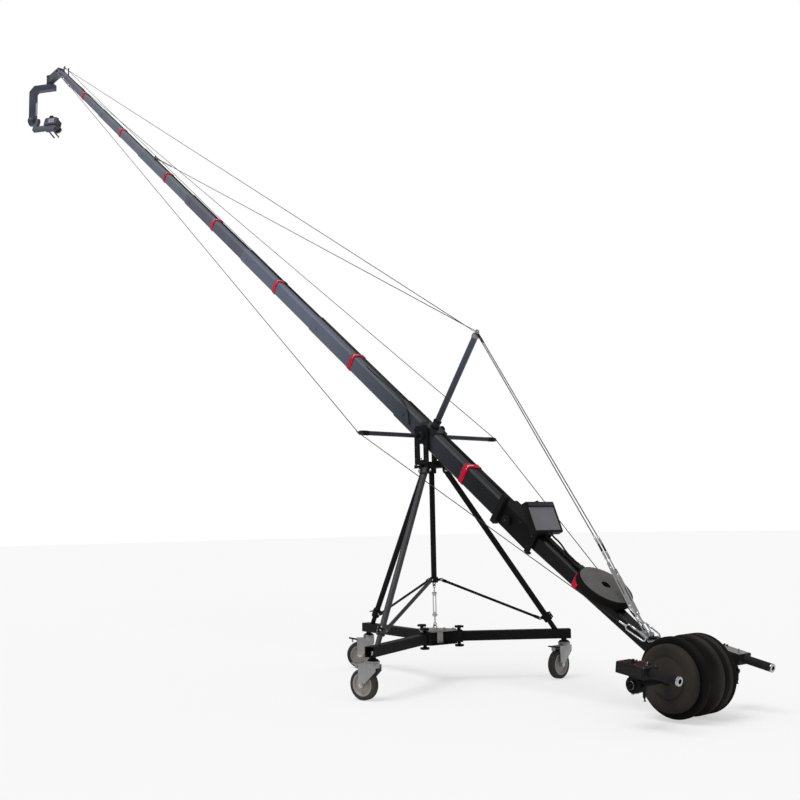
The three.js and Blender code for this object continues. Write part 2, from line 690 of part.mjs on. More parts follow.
function tripodCrown() {
  const plateBottom = CROWN_TOP - CROWN_PLATE;
  const plate = rodZ(CROWN_RADIUS, plateBottom, CROWN_TOP, 20);
  const boss = rodZ(CROWN_BORE_RADIUS + EAR_THICKNESS, legTopZ - LEG_RADIUS, plateBottom + SEAT_GAP, 16);
  const earInner = LEG_RADIUS + RUN_GAP;
  const outline = [
    [legReachAt(legTopZ) - EAR_RADIUS, CROWN_TOP], [legReachAt(legTopZ) - EAR_RADIUS, legTopZ],
    ...arc(LEG_TOP_REACH, legTopZ, EAR_RADIUS, TURN / 2, TURN, 4),
    [LEG_TOP_REACH + EAR_RADIUS, CROWN_TOP],
  ];
  const ears = onEachArm(() => geometryOf(join(
    plateXZ(outline, -earInner - EAR_THICKNESS, -earInner),
    plateXZ(outline, earInner, earInner + EAR_THICKNESS),
    rodY(EAR_PIN_RADIUS, -earInner - 2 * EAR_THICKNESS, earInner + 2 * EAR_THICKNESS, 6)
      .translate(LEG_TOP_REACH, 0, legTopZ),
  )));
  const bore = rodZ(CROWN_BORE_RADIUS, plateBottom, CROWN_TOP + OVERRUN, 16);
  const legRoom = onEachArm(() => strut(legPoint(legTopZ), legPoint(legTopZ - ARM_SIZE),
    LEG_RADIUS + RUN_GAP, 12));
  const lockHole = rodX(LOCK_SCREW_RADIUS + RUN_GAP, CROWN_RADIUS - LOCK_SCREW - RUN_GAP,
    CROWN_RADIUS + OVERRUN, 10)
    .rotateZ(lockAngle).translate(0, 0, lockHeight);
  return join(cut(join(plate, boss), bore, lockHole, ...legRoom), ...ears);
}

function centreColumn() {
  const top = legTopZ - LEG_RADIUS - SEAT_GAP;
  const hubTopZ = COLUMN_FOOT_Z + SPREADER_HUB_HEIGHT;
  const tube = rodZ(COLUMN_RADIUS, COLUMN_FOOT_Z, top, 16);
  const hub = rodZ(SPREADER_HUB_RADIUS, COLUMN_FOOT_Z, hubTopZ, 16);
  const bore = rodZ(COLUMN_RADIUS - COLUMN_WALL, hubTopZ, top + OVERRUN, 16);
  const halfLug = SPREADER_LUG_THICKNESS / 2;
  const lugReach = SPREADER_HUB_RADIUS + SPREADER_LUG;
  const lugPinReach = lugReach - SPREADER_ROD_RADIUS;
  const lugZ = COLUMN_FOOT_Z + SPREADER_HUB_HEIGHT / 2;
  const lugs = onEachArm(() => geometryOf(join(
    block(0, lugReach, -halfLug, halfLug, lugZ - SPREADER_ROD_RADIUS, lugZ + SPREADER_ROD_RADIUS),
    rodY(EAR_PIN_RADIUS / 2, -LUG_PIN_HALF, LUG_PIN_HALF, 6).translate(lugPinReach, 0, lugZ),
  )));
  const eye = wireRing(HOOK_RADIUS, HOOK_WIRE).rotateZ(TURN / 4).translate(0, 0,
    COLUMN_FOOT_Z - HOOK_RADIUS + HOOK_WIRE / 2);
  return join(cut(join(tube, hub), bore), ...lugs, eye);
}

// A spreader rod ends in a fork pinned over the column's lug and another over the collar's
function spreaderRod() {
  const lugReach = SPREADER_HUB_RADIUS + SPREADER_LUG - SPREADER_ROD_RADIUS;
  const inner = [lugReach, 0, COLUMN_FOOT_Z + SPREADER_HUB_HEIGHT / 2];
  const outer = [SPREADER_EYE_REACH, 0, SPREADER_EYE_Z];
  const slope = Math.atan2(inner[2] - outer[2], outer[0] - inner[0]);
  const length = Math.hypot(inner[2] - outer[2], outer[0] - inner[0]);
  const cheek = SPREADER_LUG_THICKNESS / 2 + RUN_GAP;
  const wide = cheek + SPREADER_FORK_CHEEK;
  const forkRadius = SPREADER_ROD_RADIUS + SPREADER_FORK_CHEEK / 2;
  const nose = [
    [forkRadius, forkRadius / 2], [forkRadius / 2, forkRadius], [-SPREADER_FORK_NECK, forkRadius],
    [-SPREADER_FORK_NECK, -forkRadius], [forkRadius / 2, -forkRadius], [forkRadius, -forkRadius / 2],
  ].reverse();
  const forks = [
    plateXZ(nose, -wide, wide).translate(length, 0, 0),
    plateXZ(nose, -wide, wide).rotateZ(TURN / 2),
  ];
  const slotLength = SPREADER_FORK_NECK - 2 * SPREADER_FORK_CHEEK;
  const slots = [
    block(-2 * forkRadius, slotLength, -cheek, cheek, -wide - forkRadius, wide + forkRadius),
    block(length - slotLength, length + 2 * forkRadius, -cheek, cheek, -wide - forkRadius,
      wide + forkRadius),
  ];
  const pinHoles = [0, length].map((place) => rodY(EAR_PIN_RADIUS / 2 + SEAT_GAP + RUN_GAP, -wide - OVERRUN,
    wide + OVERRUN, 6).translate(place, 0, 0));
  const rod = cut(join(rodX(SPREADER_ROD_RADIUS, forkRadius + SPREADER_FORK_NECK / 2,
    length - forkRadius - SPREADER_FORK_NECK / 2, 8), ...forks),
    ...slots, ...pinHoles);
  return geometryOf(rod).rotateY(slope).translate(...inner);
}

// An open turnbuckle frame about Z, from its foot at Z = 0
function turnbuckleFrame(length, width, bar, end) {
  const middle = (width - bar) / 2;
  const sides = [-1, 1].map((side) => rodZ(bar, end / 2, length - end / 2, 6).translate(side * middle, 0,
    0));
  const outline = arc(0, 0, width / 2 + bar / 2, 0, TURN, 8).slice(0, -1);
  const ends = [[0, end], [length - end, length]].map(([low, high]) => plateXY(outline, low, high));
  return geometryOf(join(...sides, ...ends));
}

function baseTurnbuckle() {
  const top = BASE_FRAME_FOOT_Z + BASE_FRAME_LENGTH;
  const frame = turnbuckleFrame(BASE_FRAME_LENGTH, BASE_FRAME_WIDTH, BASE_FRAME_BAR, BASE_FRAME_END)
    .translate(0, 0, BASE_FRAME_FOOT_Z);
  const columnEyeZ = COLUMN_FOOT_Z - HOOK_RADIUS + HOOK_WIRE / 2;
  const eyeZ = hubTop + LIFT_EYE_RADIUS;
  const hookHole = HOOK_RADIUS - HOOK_WIRE;
  const upperHook = wireRing(HOOK_RADIUS, HOOK_WIRE).translate(0, 0, columnEyeZ - 2 * hookHole + SEAT_GAP);
  const lowerHook = wireRing(HOOK_RADIUS, HOOK_WIRE).rotateZ(TURN / 4)
    .translate(0, 0, eyeZ + LIFT_EYE_RADIUS - LIFT_EYE_WIRE - SEAT_GAP + hookHole);
  const upperScrew = rodZ(SCREW_RADIUS, top - BASE_FRAME_END, columnEyeZ - 2 * HOOK_RADIUS, 8);
  const lowerScrew = rodZ(SCREW_RADIUS, eyeZ + LIFT_EYE_RADIUS + HOOK_RADIUS,
    BASE_FRAME_FOOT_Z + BASE_FRAME_END, 8);
  return join(frame, upperHook, lowerHook, upperScrew, lowerScrew);
}

crane.add(piece('dolly_hub', dollyHub(), BLACK_PAINT));
crane.add(piece('tripod_crown', tripodCrown(), BLACK_PAINT));
crane.add(piece('centre_column', centreColumn(), BLACK_PAINT));
crane.add(piece('base_turnbuckle', baseTurnbuckle(), BRIGHT_STEEL));

ARM_NAMES.forEach((name, index) => {
  const station = new THREE.Group();
  station.rotation.z = armAngles[index];
  station.add(piece(`dolly_arm_${name}`, dollyArm(), BLACK_PAINT));
  station.add(piece(`tripod_leg_${name}`, tripodLeg(), index === GREY_LEG ? GREY_PAINT : BLACK_PAINT));
  station.add(piece(`spreader_rod_${name}`, spreaderRod(), BLACK_PAINT));
  const caster = new THREE.Group();
  caster.position.x = casterReach;
  caster.rotation.z = CASTER_ANGLES[index] - armAngles[index];
  const wheel = piece(`wheel_${name}`, casterWheel(), RUBBER);
  wheel.position.set(CASTER_TRAIL, 0, WHEEL_RADIUS);
  const pedal = piece(`brake_pedal_${name}`, brakePedal(), ZINC);
  pedal.position.set(PEDAL_PIN_X, 0, PEDAL_PIN_Z);
  caster.add(piece(`caster_fork_${name}`, casterFork(), ZINC), wheel, pedal);
  station.add(caster);
  crane.add(station);
});

const yokeBase = CROWN_TOP + YOKE_BASE_LIFT;
const pivotHeight = CROWN_TOP + YOKE_RISE;
const yokeFloor = yokeBase + YOKE_BASE_PLATE;
const trunnionBore = SIDE_ARM_HUB_RADIUS + RUN_GAP;
const cheekOutside = CHEEK_INSIDE + CHEEK_THICKNESS;

function yoke() {
  const cheekTop = pivotHeight + CHEEK_CROWN;
  const outline = [
    [-CHEEK_REAR, yokeBase], [CHEEK_FRONT, yokeBase], [CHEEK_FRONT, cheekTop - CHEEK_CHAMFER],
    [CHEEK_FRONT - CHEEK_CHAMFER, cheekTop], [CHEEK_CHAMFER - CHEEK_REAR, cheekTop],
    [-CHEEK_REAR, cheekTop - CHEEK_CHAMFER],
  ];
  const windowTop = pivotHeight - WINDOW_TOP_DROP;
  const windowFoot = yokeFloor + WINDOW_SILL;
  const window = [
    [-WINDOW_REAR, windowFoot], [WINDOW_FRONT, windowFoot], [WINDOW_FRONT, windowTop], [-WINDOW_REAR,
      windowTop],
  ];
  const cheeks = [
    plateXZ(outline, -cheekOutside, -CHEEK_INSIDE, [window]),
    plateXZ(outline, CHEEK_INSIDE, cheekOutside, [window]),
  ];
  const rings = [-1, 1].map((side) => rodY(trunnionBore + BEARING_RING_WALL, 0, BEARING_RING, 16)
    .translate(0, side > 0 ? cheekOutside : -cheekOutside - BEARING_RING, pivotHeight));
  const base = rodZ(YOKE_BASE_RADIUS, yokeBase, yokeFloor, 20);
  const floor = block(-CHEEK_REAR, CHEEK_FRONT, -cheekOutside, cheekOutside, yokeBase, yokeFloor);
  const bearing = rodZ(CROWN_RADIUS - 2 * BEARING_RING, CROWN_TOP + SEAT_GAP, yokeBase, 16);
  const spigot = rodZ(CROWN_BORE_RADIUS - RUN_GAP, CROWN_TOP - CROWN_PLATE + RUN_GAP, yokeBase, 12);
  const bore = rodY(trunnionBore, -cheekOutside - 2 * OVERRUN, cheekOutside + 2 * OVERRUN, 16)
    .translate(0, 0, pivotHeight);
  return cut(join(base, floor, bearing, spigot, ...cheeks, ...rings), bore);
}

// The pan lock's screw lies along X, with its tip towards the crown
function panLockKnob() {
  const screw = rodX(LOCK_SCREW_RADIUS, CROWN_RADIUS - LOCK_SCREW, CROWN_RADIUS + LOCK_SCREW, 8);
  const neck = rodX(LOCK_KNOB_WAIST_RADIUS, CROWN_RADIUS + SEAT_GAP, CROWN_RADIUS + LOCK_SCREW / 2, 8);
  const head = plateXY(lobedOutline(LOCK_KNOB_RADIUS, LOCK_KNOB_WAIST_RADIUS), 0,
    LOCK_KNOB_LENGTH).rotateY(TURN / 4)
    .translate(CROWN_RADIUS + LOCK_SCREW / 2, 0, 0);
  return join(screw, neck, head);
}

crane.add(piece('yoke', yoke(), BLACK_PAINT));
const panLock = piece('pan_lock_knob', panLockKnob(), DARK_PLASTIC);
panLock.position.z = lockHeight;
panLock.rotation.z = lockAngle;
crane.add(panLock);

// Everything on the boom is placed in its own axes, with the tilt axis at the origin
const boom = new THREE.Group();
boom.position.z = pivotHeight;
boom.rotation.y = -ELEVATION;
crane.add(boom);

const nestStep = 2 * (BOOM_WALL + RUN_GAP);
const sectionHeight = (index) => BOOM_HEIGHT - index * nestStep;
const sectionWidth = (index) => BOOM_WIDTH - index * nestStep;
const sectionFront = (index) => PIVOT_SECTION_FRONT + index * SECTION_PITCH;
const tipFront = sectionFront(SECTION_COUNT - 1) + TIP_SECTION_LENGTH;
const tipEyeReach = tipFront - TIP_EYE_SETBACK;
const levelPinX = tipFront + TIP_TO_LEVEL_PIN;
const sectionAt = (place) => Math.max(0, Math.ceil((place - PIVOT_SECTION_FRONT) / SECTION_PITCH));
const frontEyeSection = sectionAt(FRONT_STAY_REACH);
const frontEyeRise = sectionHeight(frontEyeSection) / 2 + MAST_EYE_RADIUS;

function sectionSolid(index, x0, x1, grow) {
  return drawnX(chamfered(sectionWidth(index) + 2 * grow, sectionHeight(index) + 2 * grow, BOOM_CHAMFER),
    x0, x1);
}

function boomTube(index, x0, x1) {
  return cut(sectionSolid(index, x0, x1, 0), sectionSolid(index, x0 - OVERRUN, x1 + OVERRUN, -BOOM_WALL));
}

// Pin heads on both sides where the next section is nested
function jointPins(index, x) {
  const side = sectionWidth(index) / 2;
  return [-1, 1].map((hand) => rodY(JOINT_PIN_HEAD_RADIUS, 0, JOINT_PIN_HEAD + BOOM_WALL, 10)
    .translate(x, hand > 0 ? side - BOOM_WALL : -side - JOINT_PIN_HEAD, 0));
}

function pivotSection() {
  const tube = boomTube(0, -PIVOT_SECTION_REAR, PIVOT_SECTION_FRONT);
  const pins = [
    ...jointPins(0, PIVOT_SECTION_FRONT - NEST_LENGTH / 2),
    ...jointPins(0, NEST_LENGTH / 2 - PIVOT_SECTION_REAR).slice(0, 1),
  ];
  const axleHole = rodY(SIDE_ARM_HUB_RADIUS + SEAT_GAP, -BOOM_WIDTH, BOOM_WIDTH, 14);
  return cut(join(tube, ...pins, ...strapsOn(0)), axleHole);
}

function boomSection(index) {
  const front = sectionFront(index);
  const eye = index === frontEyeSection ? [wireRing(MAST_EYE_RADIUS, MAST_EYE_WIRE)
    .translate(FRONT_STAY_REACH, 0, frontEyeRise)] : [];
  return join(boomTube(index, sectionFront(index - 1) - NEST_LENGTH, front), ...jointPins(index,
    front - NEST_LENGTH / 2),
    ...strapsOn(index), ...eye);
}

function tipSection() {
  const index = SECTION_COUNT;
  const side = sectionWidth(index) / 2;
  const fork = [
    [tipFront - TIP_TO_LEVEL_PIN, -TIP_FORK_RADIUS],
    ...arc(levelPinX, 0, TIP_FORK_RADIUS, -TURN / 4, TURN / 4, 8),
    [tipFront - TIP_TO_LEVEL_PIN, TIP_FORK_RADIUS],
  ];
  const inner = LEVEL_ARM_WIDTH / 2 + RUN_GAP;
  const outer = inner + TIP_FORK_PLATE;
  const plates = [plateXZ(fork, -outer, -inner), plateXZ(fork, inner, outer)];
  const pin = rodY(LEVEL_PIN_RADIUS, -outer - JOINT_PIN_HEAD, outer + JOINT_PIN_HEAD,
    14).translate(levelPinX, 0, 0);
  const post = rodZ(STRAP_WIDTH / 4, side, TIP_EYE_RISE - MAST_EYE_RADIUS, 8).translate(tipEyeReach, 0,
    0);
  const eye = wireRing(MAST_EYE_RADIUS, MAST_EYE_WIRE).translate(tipEyeReach, 0, TIP_EYE_RISE);
  return join(boomTube(index, sectionFront(index - 1) - NEST_LENGTH, tipFront), ...plates, pin, post,
    eye, ...strapsOn(index));
}

// The tail narrows to the rear with its top kept level with the nested stub's
const tailTop = sectionHeight(1) / 2;
const tailRear = PIVOT_SECTION_REAR + TAIL_LENGTH;
const barReach = tailRear + BAR_OVERHANG;
const topPlatePlace = tailRear - TOP_PLATE_LEAD;
const sideStayEndX = tailRear - SIDE_STAY_END_LEAD;
const clipEndX = tailRear - CLIP_END_LEAD;
const turnbuckleTopX = tailRear - TURNBUCKLE_TOP_LEAD;
const turnbuckleFootX = tailRear - TURNBUCKLE_FOOT_LEAD;
const stayHookX = tailRear - STAY_HOOK_LEAD;

function tailBody(grow, overrun) {
  const startHeight = TAIL_START_HEIGHT + 2 * grow;
  const startWidth = sectionWidth(1) + 2 * grow;
  const top = tailTop + grow;
  const body = drawnX(chamfered(startWidth, startHeight, BOOM_CHAMFER), 0, TAIL_LENGTH)
    .translate(-tailRear, 0, top - startHeight / 2);
  const points = body.attributes.position;
  for (let index = 0; index < points.count; index += 1) {
    if (points.getX(index) < -tailRear + OVERRUN) {
      points.setY(index, (points.getY(index) * (TAIL_END_WIDTH + 2 * grow)) / startWidth);
      points.setZ(index, top - ((top - points.getZ(index)) * (TAIL_END_HEIGHT + 2 * grow)) / startHeight);
      points.setX(index, -tailRear - overrun);
    }
  }
  return body;
}

function rearSection() {
  const stubFront = NEST_LENGTH - PIVOT_SECTION_REAR;
  const stub = sectionSolid(1, -PIVOT_SECTION_REAR - OVERRUN, stubFront, 0);
  const bore = sectionSolid(1, -PIVOT_SECTION_REAR - OVERRUN / 2, stubFront + OVERRUN, -BOOM_WALL);
  const tube = cut(join(tailBody(0, 0), cut(stub, bore)), tailBody(-BOOM_WALL, OVERRUN), bore);
  return join(tube, ...tailStraps(), ...stayAnchors());
}

// The webbing straps are tight on their sections, so each belongs to the one it is round
function strapsOn(index) {
  return SECTION_STRAP_PLACES.filter((place) => place > -PIVOT_SECTION_REAR && sectionAt(place) === index)
    .map((place) => cut(
      sectionSolid(index, place - STRAP_WIDTH / 2, place + STRAP_WIDTH / 2, STRAP_THICKNESS),
      sectionSolid(index, place - STRAP_WIDTH, place + STRAP_WIDTH, -BOOM_WALL / 2),
    ));
}

function tailStraps() {
  return SECTION_STRAP_PLACES.filter((place) => place < -PIVOT_SECTION_REAR).map((place) => {
    const slab = block(place - STRAP_WIDTH / 2, place + STRAP_WIDTH / 2, -BOOM_WIDTH, BOOM_WIDTH,
      -BOOM_HEIGHT, BOOM_HEIGHT);
    return solid(slab).intersect(cut(tailBody(STRAP_THICKNESS, 0), tailBody(-BOOM_WALL / 2, 0)));
  });
}

// The stays' rear anchors: a plate on the tail with two rings, and a lug on each side for a clip
function stayAnchors() {
  const plate = block(-stayHookX - ANCHOR_PLATE_LENGTH / 2, -stayHookX + ANCHOR_PLATE_LENGTH / 2,
    -TAIL_END_WIDTH / 2, TAIL_END_WIDTH / 2, tailTop - BOOM_WALL / 2, tailTop + BOOM_WALL);
  const rings = [-1, 1].map((hand) => wireRing(MAST_EYE_RADIUS, MAST_EYE_WIRE)
    .translate(-stayHookX, hand * REAR_STAY_HALF_GAP, tailTop + MAST_EYE_RADIUS));
  const lugs = [-1, 1].map((hand) => block(-clipEndX, -clipEndX + 2 * CLIP_WIRE,
    hand > 0 ? 0 : -CLIP_END_Y,
    hand > 0 ? CLIP_END_Y : 0, tailTop, CLIP_END_Z));
  return [plate, ...rings, ...lugs];
}

boom.add(piece('pivot_section', pivotSection(), BLACK_PAINT));
boom.add(piece('rear_section', rearSection(), BLACK_PAINT));
for (let index = 1; index < SECTION_COUNT; index += 1) {
  boom.add(piece(`boom_section_${index}`, boomSection(index), BLACK_PAINT));
}
boom.add(piece(`boom_section_${SECTION_COUNT}`, tipSection(), BLACK_PAINT));

const boomTop = BOOM_HEIGHT / 2;
const boomSide = BOOM_WIDTH / 2;
const saddleTop = boomTop + SEAT_GAP + SADDLE_PLATE;
const topLineSide = MAST_RADIUS + MAST_EYE_WIRE;

// The saddle grips the beam's top and upper sides, and the mast stands in its socket
function mast() {
  const lipOuter = boomSide + SEAT_GAP + BOOM_WALL;
  const cap = block(-SADDLE_LENGTH / 2, SADDLE_LENGTH / 2, -lipOuter, lipOuter,
    SIDE_ARM_FLANGE_RADIUS + RUN_GAP, saddleTop);
  const beam = sectionSolid(0, -SADDLE_LENGTH, SADDLE_LENGTH, SEAT_GAP);
  const socket = rodZ(SADDLE_SOCKET_RADIUS, saddleTop - SADDLE_PLATE / 2, saddleTop + SADDLE_SOCKET, 16);
  const tube = rodZ(MAST_RADIUS, saddleTop - SADDLE_PLATE / 2, MAST_TOP, 16);
  const bore = rodZ(MAST_RADIUS - MAST_WALL, boomTop - OVERRUN, MAST_TOP - MAST_CAP, 12);
  const head = rodZ(MAST_CAP_RADIUS, MAST_TOP - MAST_CAP, MAST_TOP, 16);
  const eye = wireRing(MAST_EYE_RADIUS, MAST_EYE_WIRE).translate(0, 0, MAST_TOP + MAST_EYE_RADIUS);
  const lineEye = wireRing(MAST_EYE_WIRE * 2, MAST_EYE_WIRE / 2)
    .translate(SADDLE_LENGTH / 2 - MAST_EYE_WIRE * 3, topLineSide, saddleTop + MAST_EYE_WIRE * 2);
  return cut(join(cut(join(cap, socket, tube, head), beam), eye, lineEye), bore);
}

// One half of the side arms, to +Y, with half of the axle through the beam
function sideArm() {
  const flangeStart = boomSide + SEAT_GAP;
  const flangeEnd = flangeStart + SIDE_ARM_FLANGE;
  const washerStart = cheekOutside + BEARING_RING + SEAT_GAP;
  const washerEnd = washerStart + SIDE_ARM_WASHER;
  const tipStart = SIDE_ARM_REACH - SIDE_ARM_TIP;
  const profile = [
    [0, 0], [SIDE_ARM_HUB_RADIUS, 0], [SIDE_ARM_HUB_RADIUS, flangeStart], [SIDE_ARM_FLANGE_RADIUS,
      flangeStart], [SIDE_ARM_FLANGE_RADIUS, flangeEnd],
    [SIDE_ARM_HUB_RADIUS, flangeEnd], [SIDE_ARM_HUB_RADIUS, washerStart], [SIDE_ARM_WASHER_RADIUS,
      washerStart],
    [SIDE_ARM_WASHER_RADIUS, washerEnd], [SIDE_ARM_HUB_RADIUS, washerEnd], [SIDE_ARM_HUB_RADIUS,
      SIDE_ARM_HUB_END],
    [SIDE_ARM_RADIUS, SIDE_ARM_HUB_END], [SIDE_ARM_RADIUS, tipStart], [SIDE_ARM_TIP_RADIUS, tipStart],
    [SIDE_ARM_TIP_RADIUS, SIDE_ARM_REACH], [0, SIDE_ARM_REACH],
  ];
  return turned(profile, 14).rotateX(-TURN / 4);
}

boom.add(piece('mast', mast(), BLACK_PAINT));
boom.add(piece('side_arms', join(sideArm(), sideArm().rotateZ(TURN / 2)), BLACK_PAINT));

// Plates packed rim to rim from Y = 0: each has a deep rim, a thin web and rounded shoulders
function plateStack(plates) {
  const bore = BAR_RADIUS + SEAT_GAP;
  const starts = plates.map((_, index) => plates.slice(0, index).reduce((sum,
    plate) => sum + plate.width, 0));
  const outside = plates.flatMap(({ radius, width }, index) => [
    ...(plates[index - 1]?.radius === radius ? [] : [[radius - PLATE_SHOULDER, starts[index]]]),
    [radius, starts[index] + PLATE_SHOULDER],
    [radius, starts[index] + width - PLATE_SHOULDER], [radius - PLATE_SHOULDER, starts[index] + width],
  ]);
  const inside = plates.flatMap(({ radius, width }, index) => {
    const low = starts[index] + (width - PLATE_WEB) / 2;
    const rim = radius - RIM_DEPTH;
    return [
      ...(plates[index - 1]?.radius === radius ? [] : [[rim, starts[index]]]),
      [rim, low], [bore, low], [bore, low + PLATE_WEB], [rim, low + PLATE_WEB],
      ...(plates[index + 1]?.radius === radius ? [] : [[rim, starts[index] + width]]),
    ];
  });
  return turnedRing([...outside, ...inside.reverse()], 18).rotateX(-TURN / 4);
}

// A heavy disc laid flat on the beam, with a bored centre and a groove in its face
function topPlate() {
  const grooveFloor = TOP_PLATE_WIDTH - TOP_PLATE_GROOVE_DEPTH;
  const grooveInner = TOP_PLATE_GROOVE_RADIUS - TOP_PLATE_GROOVE_WIDTH;
  const bevel = TOP_PLATE_GROOVE_DEPTH;
  const profile = [
    [TOP_PLATE_BORE_RADIUS, 0], [TOP_PLATE_RADIUS - bevel, 0], [TOP_PLATE_RADIUS, bevel],
    [TOP_PLATE_RADIUS, TOP_PLATE_WIDTH - bevel], [TOP_PLATE_RADIUS - bevel, TOP_PLATE_WIDTH],
    [TOP_PLATE_GROOVE_RADIUS, TOP_PLATE_WIDTH], [TOP_PLATE_GROOVE_RADIUS, grooveFloor],
    [grooveInner, grooveFloor], [grooveInner, TOP_PLATE_WIDTH], [TOP_PLATE_BORE_RADIUS, TOP_PLATE_WIDTH],
  ];
  return turnedRing(profile, 20);
}

const bossLeft = TONGUE_LEFT + BAR_BOSS_LEFT;
const bossRight = TONGUE_LEFT - BAR_BOSS_RIGHT;
const largePlates = (count) => Array.from({ length: count }, () => ({ radius: PLATE_RADIUS,
  width: PLATE_WIDTH }));
const strapLift = SEAT_GAP + STRAP_THICKNESS;

function weightBar() {
  const tongueTop = tailTop - BOOM_WALL - SEAT_GAP;
  const bar = rodY(BAR_RADIUS, -BAR_RIGHT, BAR_LEFT, 14);
  const boss = rodY(BAR_BOSS_RADIUS, bossRight, bossLeft, 14);
  const half = TONGUE_THICKNESS / 2;
  const tongue = block(0, barReach - tailRear + TONGUE_INSET, TONGUE_LEFT - half, TONGUE_LEFT + half,
    tongueTop - TONGUE_HEIGHT - BAR_RISE, tongueTop - BAR_RISE);
  const collar = [BAR_LEFT, -BAR_RIGHT].map((end) => rodY(BAR_RADIUS + BAR_CAP_RIM,
    end > 0 ? end - BAR_CAP : end,
    end > 0 ? end : end + BAR_CAP, 14));
  return geometryOf(join(bar, boss, tongue, ...collar)).translate(-barReach, 0, BAR_RISE);
}

const weightSeat = new THREE.Group();
weightSeat.position.set(-barReach, 0, BAR_RISE);
const leftPlates = piece('weights_left', plateStack([...largePlates(LARGE_PLATES_LEFT),
  { radius: SMALL_PLATE_RADIUS, width: SMALL_PLATE_WIDTH }]), RUBBER);
leftPlates.position.y = bossLeft + SEAT_GAP;
const rightPlates = piece('weights_right', plateStack(largePlates(LARGE_PLATES_RIGHT)), RUBBER);
rightPlates.position.y = bossRight - SEAT_GAP;
rightPlates.rotation.z = TURN / 2;
weightSeat.add(leftPlates, rightPlates);
const topWeight = piece('top_weight', topPlate(), RUBBER);
topWeight.position.set(-topPlatePlace, 0, tailTop + strapLift);
boom.add(weightSeat, topWeight);
boom.add(piece('weight_bar', weightBar(), BLACK_PAINT));

// Stays: a pair along the sides over the side arms, and five lines from the mast's head and foot
const tipForkOutside = LEVEL_ARM_WIDTH / 2 + RUN_GAP + TIP_FORK_PLATE;
const mastEyeZ = MAST_TOP + MAST_EYE_RADIUS;
const eyeSide = MAST_EYE_WIRE + RUN_GAP + STAY_RADIUS;
const frontSide = eyeSide + 2 * STAY_RADIUS + RUN_GAP;

function alongTo(from, to, distance) {
  const start = new THREE.Vector3(...from);
  const way = new THREE.Vector3(...to).sub(start).setLength(distance);
  return start.add(way).toArray();
}

function stay(points) {
  return points.slice(1).map((point, index) => strut(points[index], point, STAY_RADIUS, STAY_SIDES));
}

// A flat key through an eye, with the stays held at its ends
function eyeKey(x, z) {
  const half = EYE_KEY / 2;
  return block(x - half, x + half, -frontSide - half, frontSide + half, z - half, z + half);
}

// A link of round wire, long way along X, lying in the XZ plane from X = 0
function wireLink(length, width, wire) {
  const ring = new THREE.TorusGeometry(width / 2 - wire, wire, 5, 10).rotateX(TURN / 4);
  const stretch = length - width;
  const points = ring.attributes.position;
  for (let index = 0; index < points.count; index += 1) {
    const x = points.getX(index);
    points.setX(index, x > SEAT_GAP ? x + stretch / 2 : x < -SEAT_GAP ? x - stretch / 2 : x);
  }
  return ring.translate(length / 2, 0, 0);
}

// Lays a shape drawn along +X from one point towards another
function laidAlong(geometry, from, to) {
  const way = new THREE.Vector3(...to).sub(new THREE.Vector3(...from));
  const yaw = Math.atan2(way.y, way.x);
  const pitch = Math.atan2(way.z, Math.hypot(way.x, way.y));
  return geometry.rotateY(-pitch).rotateZ(yaw).translate(...from);
}

// From the tip over a side arm's end to a swage and the clip on the tail's lug
function sideStay(hand) {
  const tip = [tipFront, hand * (tipForkOutside + SEAT_GAP + SWAGE_RADIUS), 0];
  const slope = (SIDE_ARM_REACH - SIDE_STAY_END_Y) / sideStayEndX;
  const arm = [0, hand * (SIDE_ARM_REACH + SEAT_GAP + STAY_RADIUS + SIDE_ARM_TIP_RADIUS * slope), 0];
  const rear = [-sideStayEndX, hand * SIDE_STAY_END_Y, SIDE_STAY_END_Z];
  const knot = new THREE.SphereGeometry(STAY_RADIUS, STAY_SIDES, STAY_SIDES / 2).translate(...arm);
  const clipEnd = [-clipEndX - CLIP_WIRE, hand * (CLIP_END_Y + CLIP_WIRE + RUN_GAP),
    CLIP_END_Z - CLIP_WIRE];
  const swageEnd = alongTo(rear, clipEnd, SWAGE_LENGTH);
  const clipStart = alongTo(rear, clipEnd, SWAGE_LENGTH - 2 * CLIP_WIRE);
  const clipLength = new THREE.Vector3(...clipStart).distanceTo(new THREE.Vector3(...clipEnd));
  return join(
    ...stay([tip, arm, alongTo(rear, arm, -CLIP_WIRE)]),
    knot,
    strut(tip, alongTo(tip, arm, SWAGE_LENGTH), SWAGE_RADIUS, 8),
    strut(rear, swageEnd, SWAGE_RADIUS, 8),
    laidAlong(wireLink(clipLength, CLIP_WIDTH, CLIP_WIRE), clipStart, clipEnd),
  );
}

